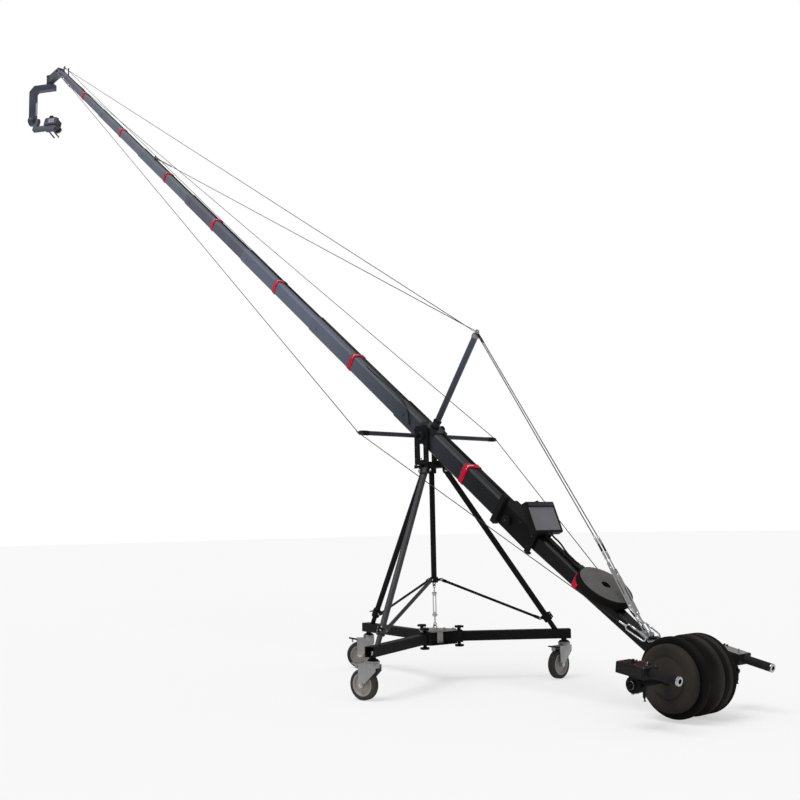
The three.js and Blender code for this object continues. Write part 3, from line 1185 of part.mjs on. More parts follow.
// One rear stay from the mast's eye: a clamp, a turnbuckle and the hook in the tail's ring
function rearStay(hand) {
  const side = hand * REAR_STAY_HALF_GAP;
  const shift = hand > 0 ? 0 : -TURNBUCKLE_STAGGER;
  const rise = TURNBUCKLE_RISE_SHARE * shift;
  const top = [shift - turnbuckleTopX, side, TURNBUCKLE_TOP_Z + rise];
  const foot = [shift - turnbuckleFootX, side, TURNBUCKLE_FOOT_Z + rise];
  const length = Math.hypot(top[0] - foot[0], top[2] - foot[2]);
  const frame = turnbuckleFrame(length, TURNBUCKLE_WIDTH, TURNBUCKLE_BAR, TURNBUCKLE_END).rotateY(TURN / 4);
  const lead = [-turnbuckleTopX + CLAMP_LEAD, side, TURNBUCKLE_TOP_Z + CLAMP_LEAD_RISE];
  const mastEye = [0, hand * eyeSide, mastEyeZ];
  const ring = [-stayHookX, side, tailTop + MAST_EYE_RADIUS];
  const hookRadius = 2 * MAST_EYE_WIRE + RUN_GAP;
  const eyeHole = MAST_EYE_RADIUS - MAST_EYE_WIRE;
  const hook = alongTo(ring, foot, eyeHole - MAST_EYE_WIRE / 2 - RUN_GAP + hookRadius);
  const hookRing = laidAlong(wireRing(hookRadius, MAST_EYE_WIRE / 2, 8).rotateX(TURN / 4), ring, foot)
    .translate(hook[0] - ring[0], 0, hook[2] - ring[2]);
  return [
    ...stay([mastEye, alongTo(lead, mastEye, -2 * CLIP_WIRE)]),
    laidAlong(frame, foot, top),
    strut(alongTo(top, foot, TURNBUCKLE_END / 2), alongTo(lead, top, CLIP_WIRE), TURNBUCKLE_BAR, 6),
    strut(lead, alongTo(lead, top, SWAGE_LENGTH), SWAGE_RADIUS + STAY_RADIUS, 8),
    strut(alongTo(foot, top, TURNBUCKLE_END / 2), alongTo(hook, foot, hookRadius - MAST_EYE_WIRE / 2),
      TURNBUCKLE_BAR, 6),
    hookRing,
  ];
}

// The two rear stays and the two front ones share the mast eye's pin; the top line ends on the tip eye's
function mastStays() {
  const mastLeft = [0, frontSide, mastEyeZ];
  const mastRight = [0, -frontSide, mastEyeZ];
  const lineStart = [SADDLE_LENGTH / 2 + MAST_EYE_WIRE, topLineSide, saddleTop + MAST_EYE_WIRE * 2];
  return join(
    ...rearStay(1),
    ...rearStay(-1),
    ...stay([mastRight, [FRONT_STAY_REACH, -frontSide, frontEyeRise]]),
    ...stay([mastLeft, [tipEyeReach, frontSide, TIP_EYE_RISE]]),
    ...stay([lineStart, [tipEyeReach, -frontSide, TIP_EYE_RISE]]),
    eyeKey(0, mastEyeZ),
    eyeKey(FRONT_STAY_REACH, frontEyeRise),
    eyeKey(tipEyeReach, TIP_EYE_RISE),
  );
}

boom.add(piece('side_stay_left', sideStay(1), BRIGHT_STEEL));
boom.add(piece('side_stay_right', sideStay(-1), BRIGHT_STEEL));
boom.add(piece('mast_stays', mastStays(), BRIGHT_STEEL));

// The monitor's own axes: X from the glass to its back, Z up the glass
const monitorSeat = new THREE.Group();
monitorSeat.position.set(-MONITOR_PLACE, 0, MONITOR_RISE);
monitorSeat.rotation.y = MONITOR_LEAN;
const hingeX = MONITOR_DEPTH + MONITOR_EAR;
const hingePlace = new THREE.Vector3(hingeX, 0,
  0).applyEuler(monitorSeat.rotation).add(monitorSeat.position);

function monitorShell() {
  const halfWidth = MONITOR_WIDTH / 2;
  const halfHeight = MONITOR_HEIGHT / 2;
  const body = drawnX(chamfered(MONITOR_WIDTH, MONITOR_HEIGHT, MONITOR_CORNER), 0, MONITOR_DEPTH);
  const lid = block(-MONITOR_GLASS * 2, MONITOR_GLASS, -halfWidth + MONITOR_CORNER,
    halfWidth - MONITOR_CORNER,
    halfHeight - MONITOR_LID, halfHeight - MONITOR_GLASS);
  const glassRoom = block(-OVERRUN, MONITOR_GLASS + SEAT_GAP, MONITOR_BEZEL - halfWidth,
    halfWidth - MONITOR_BEZEL,
    MONITOR_BEZEL - halfHeight, halfHeight - MONITOR_LID - MONITOR_GLASS);
  const earInner = MONITOR_KNUCKLE_WIDTH / 2 + RUN_GAP;
  const ears = [-1, 1].flatMap((hand) => [
    rodY(MONITOR_KNUCKLE_RADIUS, hand > 0 ? earInner : -earInner - MONITOR_EAR,
      hand > 0 ? earInner + MONITOR_EAR : -earInner, 12).translate(hingeX, 0, 0),
    block(MONITOR_DEPTH - MONITOR_GLASS, hingeX, hand > 0 ? earInner : -earInner - MONITOR_EAR,
      hand > 0 ? earInner + MONITOR_EAR : -earInner, -MONITOR_KNUCKLE_RADIUS, MONITOR_KNUCKLE_RADIUS),
  ]);
  const knob = rodZ(MONITOR_KNUCKLE_RADIUS, halfHeight - MONITOR_GLASS,
    halfHeight + MONITOR_KNUCKLE_RADIUS, 12)
    .translate(MONITOR_DEPTH / 2, 0, 0);
  const bore = rodY(MONITOR_PIN_RADIUS + RUN_GAP, -halfWidth, halfWidth, 12).translate(hingeX, 0, 0);
  return cut(join(cut(body, glassRoom), lid, ...ears, knob), bore);
}

function monitorScreen() {
  const halfWidth = MONITOR_WIDTH / 2 - MONITOR_BEZEL - SEAT_GAP;
  const foot = MONITOR_BEZEL - MONITOR_HEIGHT / 2 + SEAT_GAP;
  const head = MONITOR_HEIGHT / 2 - MONITOR_LID - MONITOR_GLASS - SEAT_GAP;
  return block(0, MONITOR_GLASS, -halfWidth, halfWidth, foot, head);
}

function monitorBracket() {
  const side = boomSide + SEAT_GAP;
  const plateTop = boomTop + SEAT_GAP + BRACKET_TOP_PLATE;
  const nearPlate = block(-BRACKET_REAR, -BRACKET_FRONT, side, side + BRACKET_PLATE, -boomTop, plateTop);
  const topPlateSolid = block(-BRACKET_REAR, -BRACKET_FRONT, -side - BRACKET_TOP_PLATE,
    side + BRACKET_PLATE,
    boomTop + SEAT_GAP, plateTop);
  const farLip = block(-BRACKET_REAR, -BRACKET_FRONT, -side - BRACKET_TOP_PLATE, -side, 0, plateTop);
  const flange = block(-BRACKET_FRONT - BRACKET_FLANGE, -BRACKET_FRONT, side, side + BRACKET_FLANGE_WIDTH,
    -boomTop - BRACKET_FOOT, BRACKET_FLANGE_TOP);
  const latch = block(-BRACKET_REAR, -BRACKET_REAR + BRACKET_FLANGE, side, side + BRACKET_PLATE,
    -boomTop - BRACKET_FOOT, -boomTop + BRACKET_FOOT);
  const foot = block(-BRACKET_REAR, -BRACKET_REAR + BRACKET_FLANGE, side - BRACKET_FLANGE / 2,
    side + BRACKET_PLATE,
    -boomTop - BRACKET_FOOT, -boomTop - SEAT_GAP);
  const knob = rodY(BRACKET_KNOB_RADIUS, side, side + BRACKET_PLATE + BRACKET_KNOB, 12)
    .translate(-BRACKET_FRONT - 2 * BRACKET_FLANGE - BRACKET_KNOB_RADIUS, 0, 0);
  const half = MONITOR_KNUCKLE_WIDTH / 2;
  const post = block(hingePlace.x - MONITOR_KNUCKLE_RADIUS, hingePlace.x + MONITOR_KNUCKLE_RADIUS, -half,
    half,
    boomTop + SEAT_GAP, hingePlace.z);
  const barrel = rodY(MONITOR_KNUCKLE_RADIUS, -half, half, 12).translate(hingePlace.x, 0, hingePlace.z);
  const pinHalf = half + RUN_GAP + MONITOR_EAR + MONITOR_GLASS;
  const pin = rodY(MONITOR_PIN_RADIUS, -pinHalf, pinHalf, 12).translate(hingePlace.x, 0, hingePlace.z);
  return join(nearPlate, topPlateSolid, farLip, flange, latch, foot, knob, post, barrel, pin);
}

// Two cables from under the monitor to the beam's top
const CABLE_ROUTES = [
  [[-999.1, -22, 76.1], [-1010, -22, 70], [-1030, -22, 68], [-1056, -22, 69], [-1085, -23, 65], [-1112,
    -24, 58],
    [-1140, -24, 53.6], [-1170, -24, 53.4], [-1240, -24, 53.4]],
  [[-991.4, 6, 63.2], [-1001.7, 6, 57.6], [-1020, 6, 55.6], [-1045, 6, 55], [-1070, 5, 54], [-1100, 4,
    53.6],
    [-1170, 2, 53.4], [-1240, 2, 53.4]],
];

function monitorCables() {
  const ends = CABLE_ROUTES.map((route) => route[route.length - 1]);
  const [low, high] = [Math.min(...ends.map((end) => end[1])), Math.max(...ends.map((end) => end[1]))];
  const boot = block(ends[0][0] - CABLE_BOOT, ends[0][0] + CABLE_BOOT / 3, low - 2 * CABLE_RADIUS,
    high + 2 * CABLE_RADIUS,
    tailTop + SEAT_GAP, tailTop + SEAT_GAP + 3 * CABLE_RADIUS);
  return join(...CABLE_ROUTES.map((route) => cord(route, CABLE_RADIUS, CABLE_SIDES, 14)), boot);
}

monitorSeat.add(piece('monitor_shell', monitorShell(), DARK_PLASTIC));
monitorSeat.add(piece('monitor_screen', monitorScreen(), SCREEN_GREY));
boom.add(monitorSeat);
boom.add(piece('monitor_bracket', monitorBracket(), BLACK_PAINT));
boom.add(piece('monitor_cables', monitorCables(), RUBBER));

// A hand control's own axes: X forward, Z up, with the bar's axis through the origin
const controlTop = CONTROL_BOTTOM + CONTROL_HEIGHT;
const controlHalf = CONTROL_LENGTH / 2;
const gripEnd = controlHalf + SEAT_GAP + GRIP_LENGTH;
const recordPlace = [CONTROL_LENGTH * RECORD_LENGTH_SHARE, CONTROL_WIDTH * RECORD_WIDTH_SHARE];
const knobPlace = [CONTROL_LENGTH * KNOB_PLACE_SHARE, CONTROL_WIDTH * KNOB_PLACE_SHARE];
const togglePlace = [-CONTROL_LENGTH * TOGGLE_LENGTH_SHARE, -CONTROL_WIDTH * KNOB_PLACE_SHARE];
const buttonWell = RECORD_HEIGHT / 2 + RECORD_TRAVEL;

function controlBox(hand) {
  const wide = CONTROL_WIDTH / 2;
  const box = drawnX(chamfered(CONTROL_WIDTH, CONTROL_HEIGHT, CONTROL_CORNER), -controlHalf, controlHalf)
    .translate(0, 0, CONTROL_BOTTOM + CONTROL_HEIGHT / 2);
  const clamp = rodY(CLAMP_RADIUS, -CLAMP_WIDTH / 2, CLAMP_WIDTH / 2, 14);
  const neck = block(-CLAMP_NECK / 2, CLAMP_NECK / 2, -CLAMP_WIDTH / 2, CLAMP_WIDTH / 2, 0,
    CONTROL_BOTTOM + CONTROL_PANEL);
  const tube = rodX(GRIP_TUBE_RADIUS, -gripEnd - GRIP_RING, -controlHalf + CONTROL_PANEL,
    12).translate(0, 0, GRIP_AXIS);
  const ring = rodX(GRIP_RADIUS, -gripEnd - GRIP_RING, -gripEnd - SEAT_GAP, 14).translate(0, 0, GRIP_AXIS);
  const tubeBore = rodX(GRIP_TUBE_BORE_RADIUS, -gripEnd - GRIP_RING - OVERRUN,
    -controlHalf - CONTROL_PANEL, 10)
    .translate(0, 0, GRIP_AXIS);
  const barBore = rodY(BAR_RADIUS + RUN_GAP, -CLAMP_WIDTH, CLAMP_WIDTH, 14);
  const toggleWell = rodZ(TOGGLE_BALL + RUN_GAP, controlTop - 2 * TOGGLE_BALL - RUN_GAP,
    controlTop + OVERRUN, 8)
    .translate(togglePlace[0], hand * togglePlace[1], 0);
  const recordWell = rodZ(RECORD_RADIUS + RUN_GAP, controlTop - buttonWell, controlTop + OVERRUN, 14)
    .translate(recordPlace[0], hand * recordPlace[1], 0);
  const wells = hand > 0 ? [toggleWell, recordWell] : [toggleWell];
  const leverSeat = rodX(LEVER_HUB_RADIUS, -CLAMP_RADIUS, -CLAMP_RADIUS / 2, 8);
  return cut(join(box, clamp, neck, tube, ring, leverSeat), tubeBore, barBore, ...wells);
}

function gripSleeve() {
  const outer = rodX(GRIP_RADIUS, -gripEnd, -controlHalf - SEAT_GAP, 14);
  const bore = rodX(GRIP_TUBE_RADIUS + SEAT_GAP, -gripEnd - OVERRUN, -controlHalf + OVERRUN, 12);
  return geometryOf(cut(outer, bore)).translate(0, 0, GRIP_AXIS);
}

function clampLever() {
  const hubEnd = -CLAMP_RADIUS - SEAT_GAP;
  const hub = rodX(LEVER_HUB_RADIUS, hubEnd - LEVER_HUB, hubEnd, 12);
  const arm = strut([hubEnd - LEVER_HUB / 2, 0, 0], [hubEnd - LEVER_HUB / 2 - LEVER_DROP, 0,
    -LEVER_LENGTH], LEVER_RADIUS, 8);
  return join(hub, arm);
}

function panelToggle() {
  const ball = new THREE.SphereGeometry(TOGGLE_BALL, 8, 4).rotateX(TURN / 4);
  const stick = rodZ(TOGGLE_RADIUS, 0, TOGGLE_BALL + TOGGLE_LENGTH, 6);
  return join(ball, stick);
}

function panelKnob() {
  const skirt = KNOB_SKIRT_RADIUS - KNOB_CAP_RADIUS;
  const profile = [
    [0, 0], [KNOB_SKIRT_RADIUS, 0], [KNOB_SKIRT_RADIUS, skirt], [KNOB_CAP_RADIUS, 2 * skirt],
    [KNOB_CAP_RADIUS, PANEL_KNOB_HEIGHT], [0, PANEL_KNOB_HEIGHT],
  ];
  return turned(profile, 14);
}

for (const [side, hand, pitch] of [['left', 1, CONTROL_PITCH_LEFT], ['right', -1, CONTROL_PITCH_RIGHT]]) {
  const control = new THREE.Group();
  control.position.set(-barReach, hand * CONTROL_PLACE, BAR_RISE);
  control.rotation.y = ELEVATION - pitch;
  control.add(piece(`control_box_${side}`, controlBox(hand), DARK_PLASTIC));
  control.add(piece(`grip_${side}`, gripSleeve(), RUBBER));
  control.add(piece(`clamp_lever_${side}`, clampLever(), DARK_PLASTIC));
  const toggle = piece(`toggle_${side}`, panelToggle(), DARK_PLASTIC);
  toggle.position.set(togglePlace[0], hand * togglePlace[1], controlTop - TOGGLE_BALL);
  control.add(toggle);
  if (side === 'left') {
    const record = piece('record_button', rodZ(RECORD_RADIUS, 0, RECORD_HEIGHT, 14), RED_PLASTIC);
    record.position.set(...recordPlace, controlTop - RECORD_HEIGHT / 2);
    const speed = piece('speed_knob', panelKnob(), DARK_PLASTIC);
    speed.position.set(...knobPlace, controlTop + SEAT_GAP);
    control.add(record, speed);
  }
  boom.add(control);
}

// The level arm stays horizontal while the boom tilts about its pin
const levelPin = new THREE.Vector3(levelPinX, 0, 0).applyEuler(boom.rotation).add(boom.position);
const level = new THREE.Group();
level.position.copy(levelPin);
crane.add(level);
const motorBottom = HEAD_ARM_SIZE / 2 - HEAD_ARM_DROP + RUN_GAP;

function levelArm() {
  const half = LEVEL_ARM_HEIGHT / 2;
  const outline = [
    ...arc(0, 0, half, TURN / 4, (TURN * 3) / 4, 8),
    [LEVEL_ARM_REACH + PAN_MOTOR_RADIUS / 2, -half], [LEVEL_ARM_REACH + PAN_MOTOR_RADIUS / 2, half],
  ];
  const arm = plateXZ(outline, -LEVEL_ARM_WIDTH / 2, LEVEL_ARM_WIDTH / 2);
  const motor = rodZ(PAN_MOTOR_RADIUS, motorBottom, half + HEAD_PIN_RADIUS / 2,
    20).translate(LEVEL_ARM_REACH, 0, 0);
  const pin = rodZ(HEAD_PIN_RADIUS, motorBottom - HEAD_PIN_RADIUS, motorBottom + HEAD_PIN_RADIUS, 14)
    .translate(LEVEL_ARM_REACH, 0, 0);
  const bore = rodY(LEVEL_PIN_RADIUS + RUN_GAP, -LEVEL_ARM_WIDTH, LEVEL_ARM_WIDTH, 14);
  return cut(join(arm, motor, pin), bore);
}

// The head's own axes: X along its arm, the camera looking along -Y
const head = new THREE.Group();
head.position.x = LEVEL_ARM_REACH;
head.rotation.z = HEAD_PAN_ANGLE;

function headPanArm() {
  const top = HEAD_ARM_SIZE / 2 - HEAD_ARM_DROP;
  const foot = top - HEAD_ARM_SIZE;
  const outerX = HEAD_ARM_REACH + HEAD_ARM_SIZE / 2;
  const innerX = HEAD_ARM_REACH - HEAD_ARM_SIZE / 2;
  const innerChamfer = HEAD_ARM_CHAMFER / 3;
  const outline = [
    [-HEAD_ARM_TAIL, top], [-HEAD_ARM_TAIL, foot], [innerX - innerChamfer, foot], [innerX,
      foot - innerChamfer],
    [innerX, -TILT_AXIS_DROP], [outerX, -TILT_AXIS_DROP], [outerX, top - HEAD_ARM_CHAMFER],
    [outerX - HEAD_ARM_CHAMFER, top],
  ];
  const arm = plateXZ(outline, -HEAD_ARM_SIZE / 2, HEAD_ARM_SIZE / 2);
  const motor = rodX(TILT_MOTOR_RADIUS, outerX - TILT_MOTOR_LENGTH, outerX, 20).translate(0, 0,
    -TILT_AXIS_DROP);
  const pin = rodX(HEAD_PIN_RADIUS, outerX - TILT_MOTOR_LENGTH - CRADLE_HUB, outerX, 14).translate(0, 0,
    -TILT_AXIS_DROP);
  const bore = rodZ(HEAD_PIN_RADIUS + RUN_GAP, top - 2 * HEAD_PIN_RADIUS, top + OVERRUN, 14);
  return cut(join(arm, motor, pin), bore);
}

// The cradle's own axes have the tilt axis along X through the origin
const cradleOuter = HEAD_ARM_REACH + HEAD_ARM_SIZE / 2 - TILT_MOTOR_LENGTH - RUN_GAP;
const cradleInner = cradleOuter - CRADLE_BAR;
const cradleDeck = -CRADLE_DROP + CRADLE_BAR / 2;
const cameraFloor = cradleDeck + SEAT_GAP;

function tiltCradle() {
  const half = CRADLE_BAR / 2;
  const upright = block(cradleInner, cradleOuter, -half, half, -CRADLE_DROP, 0);
  const boss = rodX(half, cradleInner, cradleOuter, 18);
  const deck = block(-CRADLE_END, cradleOuter, -half, half, cradleDeck - CRADLE_BAR, cradleDeck);
  const rails = [-1, 1].map((hand) => rodY(CRADLE_RAIL_RADIUS, -CRADLE_RAIL_LENGTH, half, 10)
    .translate(-CAMERA_OFFSET + (hand * CRADLE_RAIL_SPACING) / 2, 0,
      cradleDeck - CRADLE_BAR - CRADLE_RAIL_RADIUS));
  const carriage = block(-CAMERA_OFFSET - CRADLE_RAIL_SPACING, -CAMERA_OFFSET + CRADLE_RAIL_SPACING,
    -half, half,
    cradleDeck - CRADLE_BAR - 2 * CRADLE_RAIL_RADIUS, cradleDeck - CRADLE_BAR + CRADLE_PLATE);
  const bore = rodX(HEAD_PIN_RADIUS + RUN_GAP, cradleOuter - CRADLE_HUB - RUN_GAP, cradleOuter + OVERRUN,
    14);
  return cut(join(upright, boss, deck, carriage, ...rails), bore);
}

function cameraBody() {
  const left = -CAMERA_OFFSET - CAMERA_WIDTH / 2;
  const right = -CAMERA_OFFSET + CAMERA_WIDTH / 2;
  const back = CAMERA_DEPTH / 2;
  const outline = [
    [left, cameraFloor], [right, cameraFloor], [right, cameraFloor + CAMERA_HEIGHT - MONITOR_CORNER * 2],
    [right - MONITOR_CORNER * 2, cameraFloor + CAMERA_HEIGHT], [left + MONITOR_CORNER * 2,
      cameraFloor + CAMERA_HEIGHT],
    [left, cameraFloor + CAMERA_HEIGHT - MONITOR_CORNER * 2],
  ];
  const shell = plateXZ(outline, -back, back);
  const prismFoot = cameraFloor + CAMERA_HEIGHT;
  const prism = plateXZ([
    [-CAMERA_OFFSET - PRISM_WIDTH / 2, prismFoot - PRISM_HEIGHT], [-CAMERA_OFFSET + PRISM_WIDTH / 2,
      prismFoot - PRISM_HEIGHT],
    [-CAMERA_OFFSET + PRISM_WIDTH / 2, prismFoot], [-CAMERA_OFFSET + PRISM_WIDTH / 4,
      prismFoot + PRISM_HEIGHT],
    [-CAMERA_OFFSET - PRISM_WIDTH / 4, prismFoot + PRISM_HEIGHT], [-CAMERA_OFFSET - PRISM_WIDTH / 2,
      prismFoot],
  ], -back, back);
  const grip = block(left, left + CAMERA_GRIP, -back - CAMERA_GRIP, -back + MONITOR_CORNER,
    cameraFloor + MONITOR_CORNER,
    cameraFloor + CAMERA_HEIGHT - MONITOR_CORNER * 2);
  return join(shell, prism, grip);
}

function cameraLens() {
  const mountY = -CAMERA_DEPTH / 2 - SEAT_GAP;
  const front = mountY - LENS_LENGTH;
  const profile = [
    [0, mountY], [LENS_BARREL_RADIUS, mountY], [LENS_BARREL_RADIUS, mountY - LENS_LENGTH / 3],
    [LENS_RADIUS, mountY - LENS_LENGTH / 2], [LENS_RADIUS, front], [LENS_FRONT_BORE_RADIUS, front],
    [LENS_FRONT_BORE_RADIUS, front + LENS_FRONT_BORE], [0, front + LENS_FRONT_BORE],
  ].reverse();
  return turned(profile, 20).rotateX(-TURN / 4).translate(-CAMERA_OFFSET, 0,
    cameraFloor + CAMERA_HEIGHT / 2);
}

level.add(piece('level_arm', levelArm(), BLACK_PAINT));
head.add(piece('head_pan_arm', headPanArm(), BLACK_PAINT));
const cradle = new THREE.Group();
cradle.position.z = -TILT_AXIS_DROP;
cradle.rotation.x = CAMERA_PITCH;
cradle.add(piece('tilt_cradle', tiltCradle(), BLACK_PAINT));
cradle.add(piece('camera_body', cameraBody(), DARK_PLASTIC));
cradle.add(piece('camera_lens', cameraLens(), DARK_PLASTIC));
head.add(cradle);
level.add(head);

export default crane;
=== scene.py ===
"""A camera jib crane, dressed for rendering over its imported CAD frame."""

import logging
import math
from dataclasses import dataclass, replace
from enum import Enum

import bmesh
import bpy
from bmesh.types import BMVert
from bpy.types import Material, Node, NodeOutputs, NodeSocket, NodeTree, Object
from mathutils import Matrix, Vector


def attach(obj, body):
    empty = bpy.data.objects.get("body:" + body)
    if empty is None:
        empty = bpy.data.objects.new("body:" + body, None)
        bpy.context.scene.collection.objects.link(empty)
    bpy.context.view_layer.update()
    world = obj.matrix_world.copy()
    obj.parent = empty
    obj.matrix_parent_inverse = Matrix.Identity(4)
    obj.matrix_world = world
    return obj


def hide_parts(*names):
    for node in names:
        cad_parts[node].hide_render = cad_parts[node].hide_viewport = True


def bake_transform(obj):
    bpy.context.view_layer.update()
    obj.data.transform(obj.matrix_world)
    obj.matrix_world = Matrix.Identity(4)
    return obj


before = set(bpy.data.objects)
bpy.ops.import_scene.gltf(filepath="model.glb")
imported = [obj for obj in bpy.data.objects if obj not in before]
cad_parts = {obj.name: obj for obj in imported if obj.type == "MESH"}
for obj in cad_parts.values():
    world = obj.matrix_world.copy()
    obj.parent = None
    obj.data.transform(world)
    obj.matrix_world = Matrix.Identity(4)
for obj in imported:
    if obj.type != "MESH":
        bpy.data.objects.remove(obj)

LOG = logging.getLogger("jib_crane")
TURN = 2 * math.pi
ON_SIDE = Matrix.Rotation(TURN / 4, 4, "X")
ON_END = Matrix.Rotation(TURN / 4, 4, "Y")
AHEAD = Vector((1, 0, 0))
# The dolly arm nearest the camera, whose leg and spreader rod are grey
NEAR_ARM = 1
Colour = tuple[float, float, float]
Point = tuple[float, float, float] | Vector
Profile = list[tuple[float, float]]


class Slot(Enum):
    """The material slots."""

    BLACK_PAINT = "black_paint"
    BRIGHT_STEEL = "bright_steel"
    ZINC = "zinc"
    WHEEL_RUBBER = "wheel_rubber"
    BOOM_PAINT = "boom_paint"
    WEIGHT_RUBBER = "weight_rubber"
    BLACK_PLASTIC = "black_plastic"
    SCREEN_GLASS = "screen_glass"
    CABLE_RUBBER = "cable_rubber"
    RED_PLASTIC = "red_plastic"


class Side(Enum):
    """The two hand controls, with the sign of their place along Y."""

    LEFT = 1
    RIGHT = -1


# Finishes


@dataclass(frozen=True)
class Finish:
    """What one painted, moulded or metal surface looks like, in linear colour."""

    name: str
    base: Colour
    second: Colour
    smooth: float = 0.3
    rough: float = 0.5
    metallic: float = 0.0
    grain: float = 400.0
    relief: float = 0.15
    scuff: Colour = (0.3, 0.3, 0.3)
    scuffs: float = 0.12
    scuff_scale: float = 14.0
    dust: Colour = (0.26, 0.22, 0.18)
    dusting: float = 0.12
    specular: float = 0.5
    # Painted sky reflection: the colour shifts toward this colour along a line between two points.
    fade: Colour | None = None
    painted_reflection_from: Point = (0.0, 0.0, 0.0)
    painted_reflection_to: Point = (0.0, 0.0, 1.0)


def fill(tree: NodeTree, node: Node, given: dict[str | int, object]) -> None:
    """Sets or links a node's inputs.

    Args:
        tree: the node's tree.
        node: the node.
        given: a value or a socket for each input, by its name or number.
    """
    for key, value in given.items():
        if isinstance(value, NodeSocket):
            tree.links.new(value, node.inputs[key])
        else:
            node.inputs[key].default_value = value


def add(tree: NodeTree, kind: str, given: dict[str | int, object], **settings: object) -> Node:
    """Adds a shader node.

    Args:
        tree: where it goes.
        kind: its type, without the ShaderNode in front.
        given: a value or a socket for each input, by its name or number.
        settings: the node's own settings by name.

    Returns:
        The node.
    """
    node = tree.nodes.new(f"ShaderNode{kind}")
    for name, value in settings.items():
        setattr(node, name, value)
    fill(tree, node, given)
    return node


class NodeGroups:
    """The effects that every finish shares, built once."""

    def __init__(self) -> None:
        """Builds the three groups."""
        self.tone = self._noise_group("Tone drift", 5.0, 4.0, 0.35, 0.65)
        self.scuffs = self._scuff_group()
        self.dust = self._noise_group("Dust film", 3.2, 6.0, 0.45, 0.72)

    @staticmethod
    def _start(name: str) -> tuple[NodeTree, NodeOutputs, Node]:
        """Starts a group that takes a position, a scale and an amount and gives a mask.

        Args:
            name: the group's name.

        Returns:
            The tree, its input node's sockets and its output node.
        """
        tree = bpy.data.node_groups.new(name, "ShaderNodeTree")
        tree.interface.new_socket("Position", in_out="INPUT", socket_type="NodeSocketVector")
        for label, way in (("Scale", "INPUT"), ("Amount", "INPUT"), ("Mask", "OUTPUT")):
            tree.interface.new_socket(label, in_out=way, socket_type="NodeSocketFloat")
        return tree, tree.nodes.new("NodeGroupInput").outputs, tree.nodes.new("NodeGroupOutput")

    def _noise_group(self, name: str, scale: float, detail: float, low: float, high: float) -> NodeTree:
        """Makes a soft cloudy mask.

        Args:
            name: the group's name.
            scale: how many clouds there are to a metre at a scale of 1.
            detail: the noise's octaves.
            low: where the mask starts.
            high: where it is full.

        Returns:
            The group.
        """
        tree, given, out = self._start(name)
        by = add(tree, "Math", {0: given["Scale"], 1: scale}, operation="MULTIPLY").outputs[0]
        noise = add(tree, "TexNoise", {"Vector": given["Position"], "Scale": by,
                                       "Detail": detail}).outputs["Fac"]
        span = add(tree, "MapRange", {"Value": noise, "From Min": low, "From Max": high}).outputs["Result"]
        mask = add(tree, "Math", {0: span, 1: given["Amount"]}, operation="MULTIPLY").outputs[0]
        fill(tree, out, {"Mask": mask})
        return tree

    def _scuff_group(self) -> NodeTree:
        """Makes fine broken scratches gathered in patches.

        Returns:
            The group.
        """
        tree, given, out = self._start("Scuffs")
        place = given["Position"]
        stretch = add(tree, "Mapping", {"Vector": place, "Rotation": (0.4, 0.2, 0.9),
                                        "Scale": (1.0, 9.0, 3.0)})
        fine = add(tree, "TexNoise", {"Vector": stretch.outputs["Vector"], "Scale": given["Scale"],
                                      "Detail": 6.0})
        patch = add(tree, "TexNoise", {"Vector": place, "Scale": 7.0})
        sharp = add(tree, "MapRange", {"Value": fine.outputs["Fac"], "From Min": 0.6, "From Max": 0.68})
        gather = add(tree, "MapRange", {"Value": patch.outputs["Fac"], "From Min": 0.48, "From Max": 0.62})
        both = {0: sharp.outputs["Result"], 1: gather.outputs["Result"]}
        inner = add(tree, "Math", both, operation="MULTIPLY").outputs[0]
        mask = add(tree, "Math", {0: inner, 1: given["Amount"]}, operation="MULTIPLY").outputs[0]
        fill(tree, out, {"Mask": mask})
        return tree


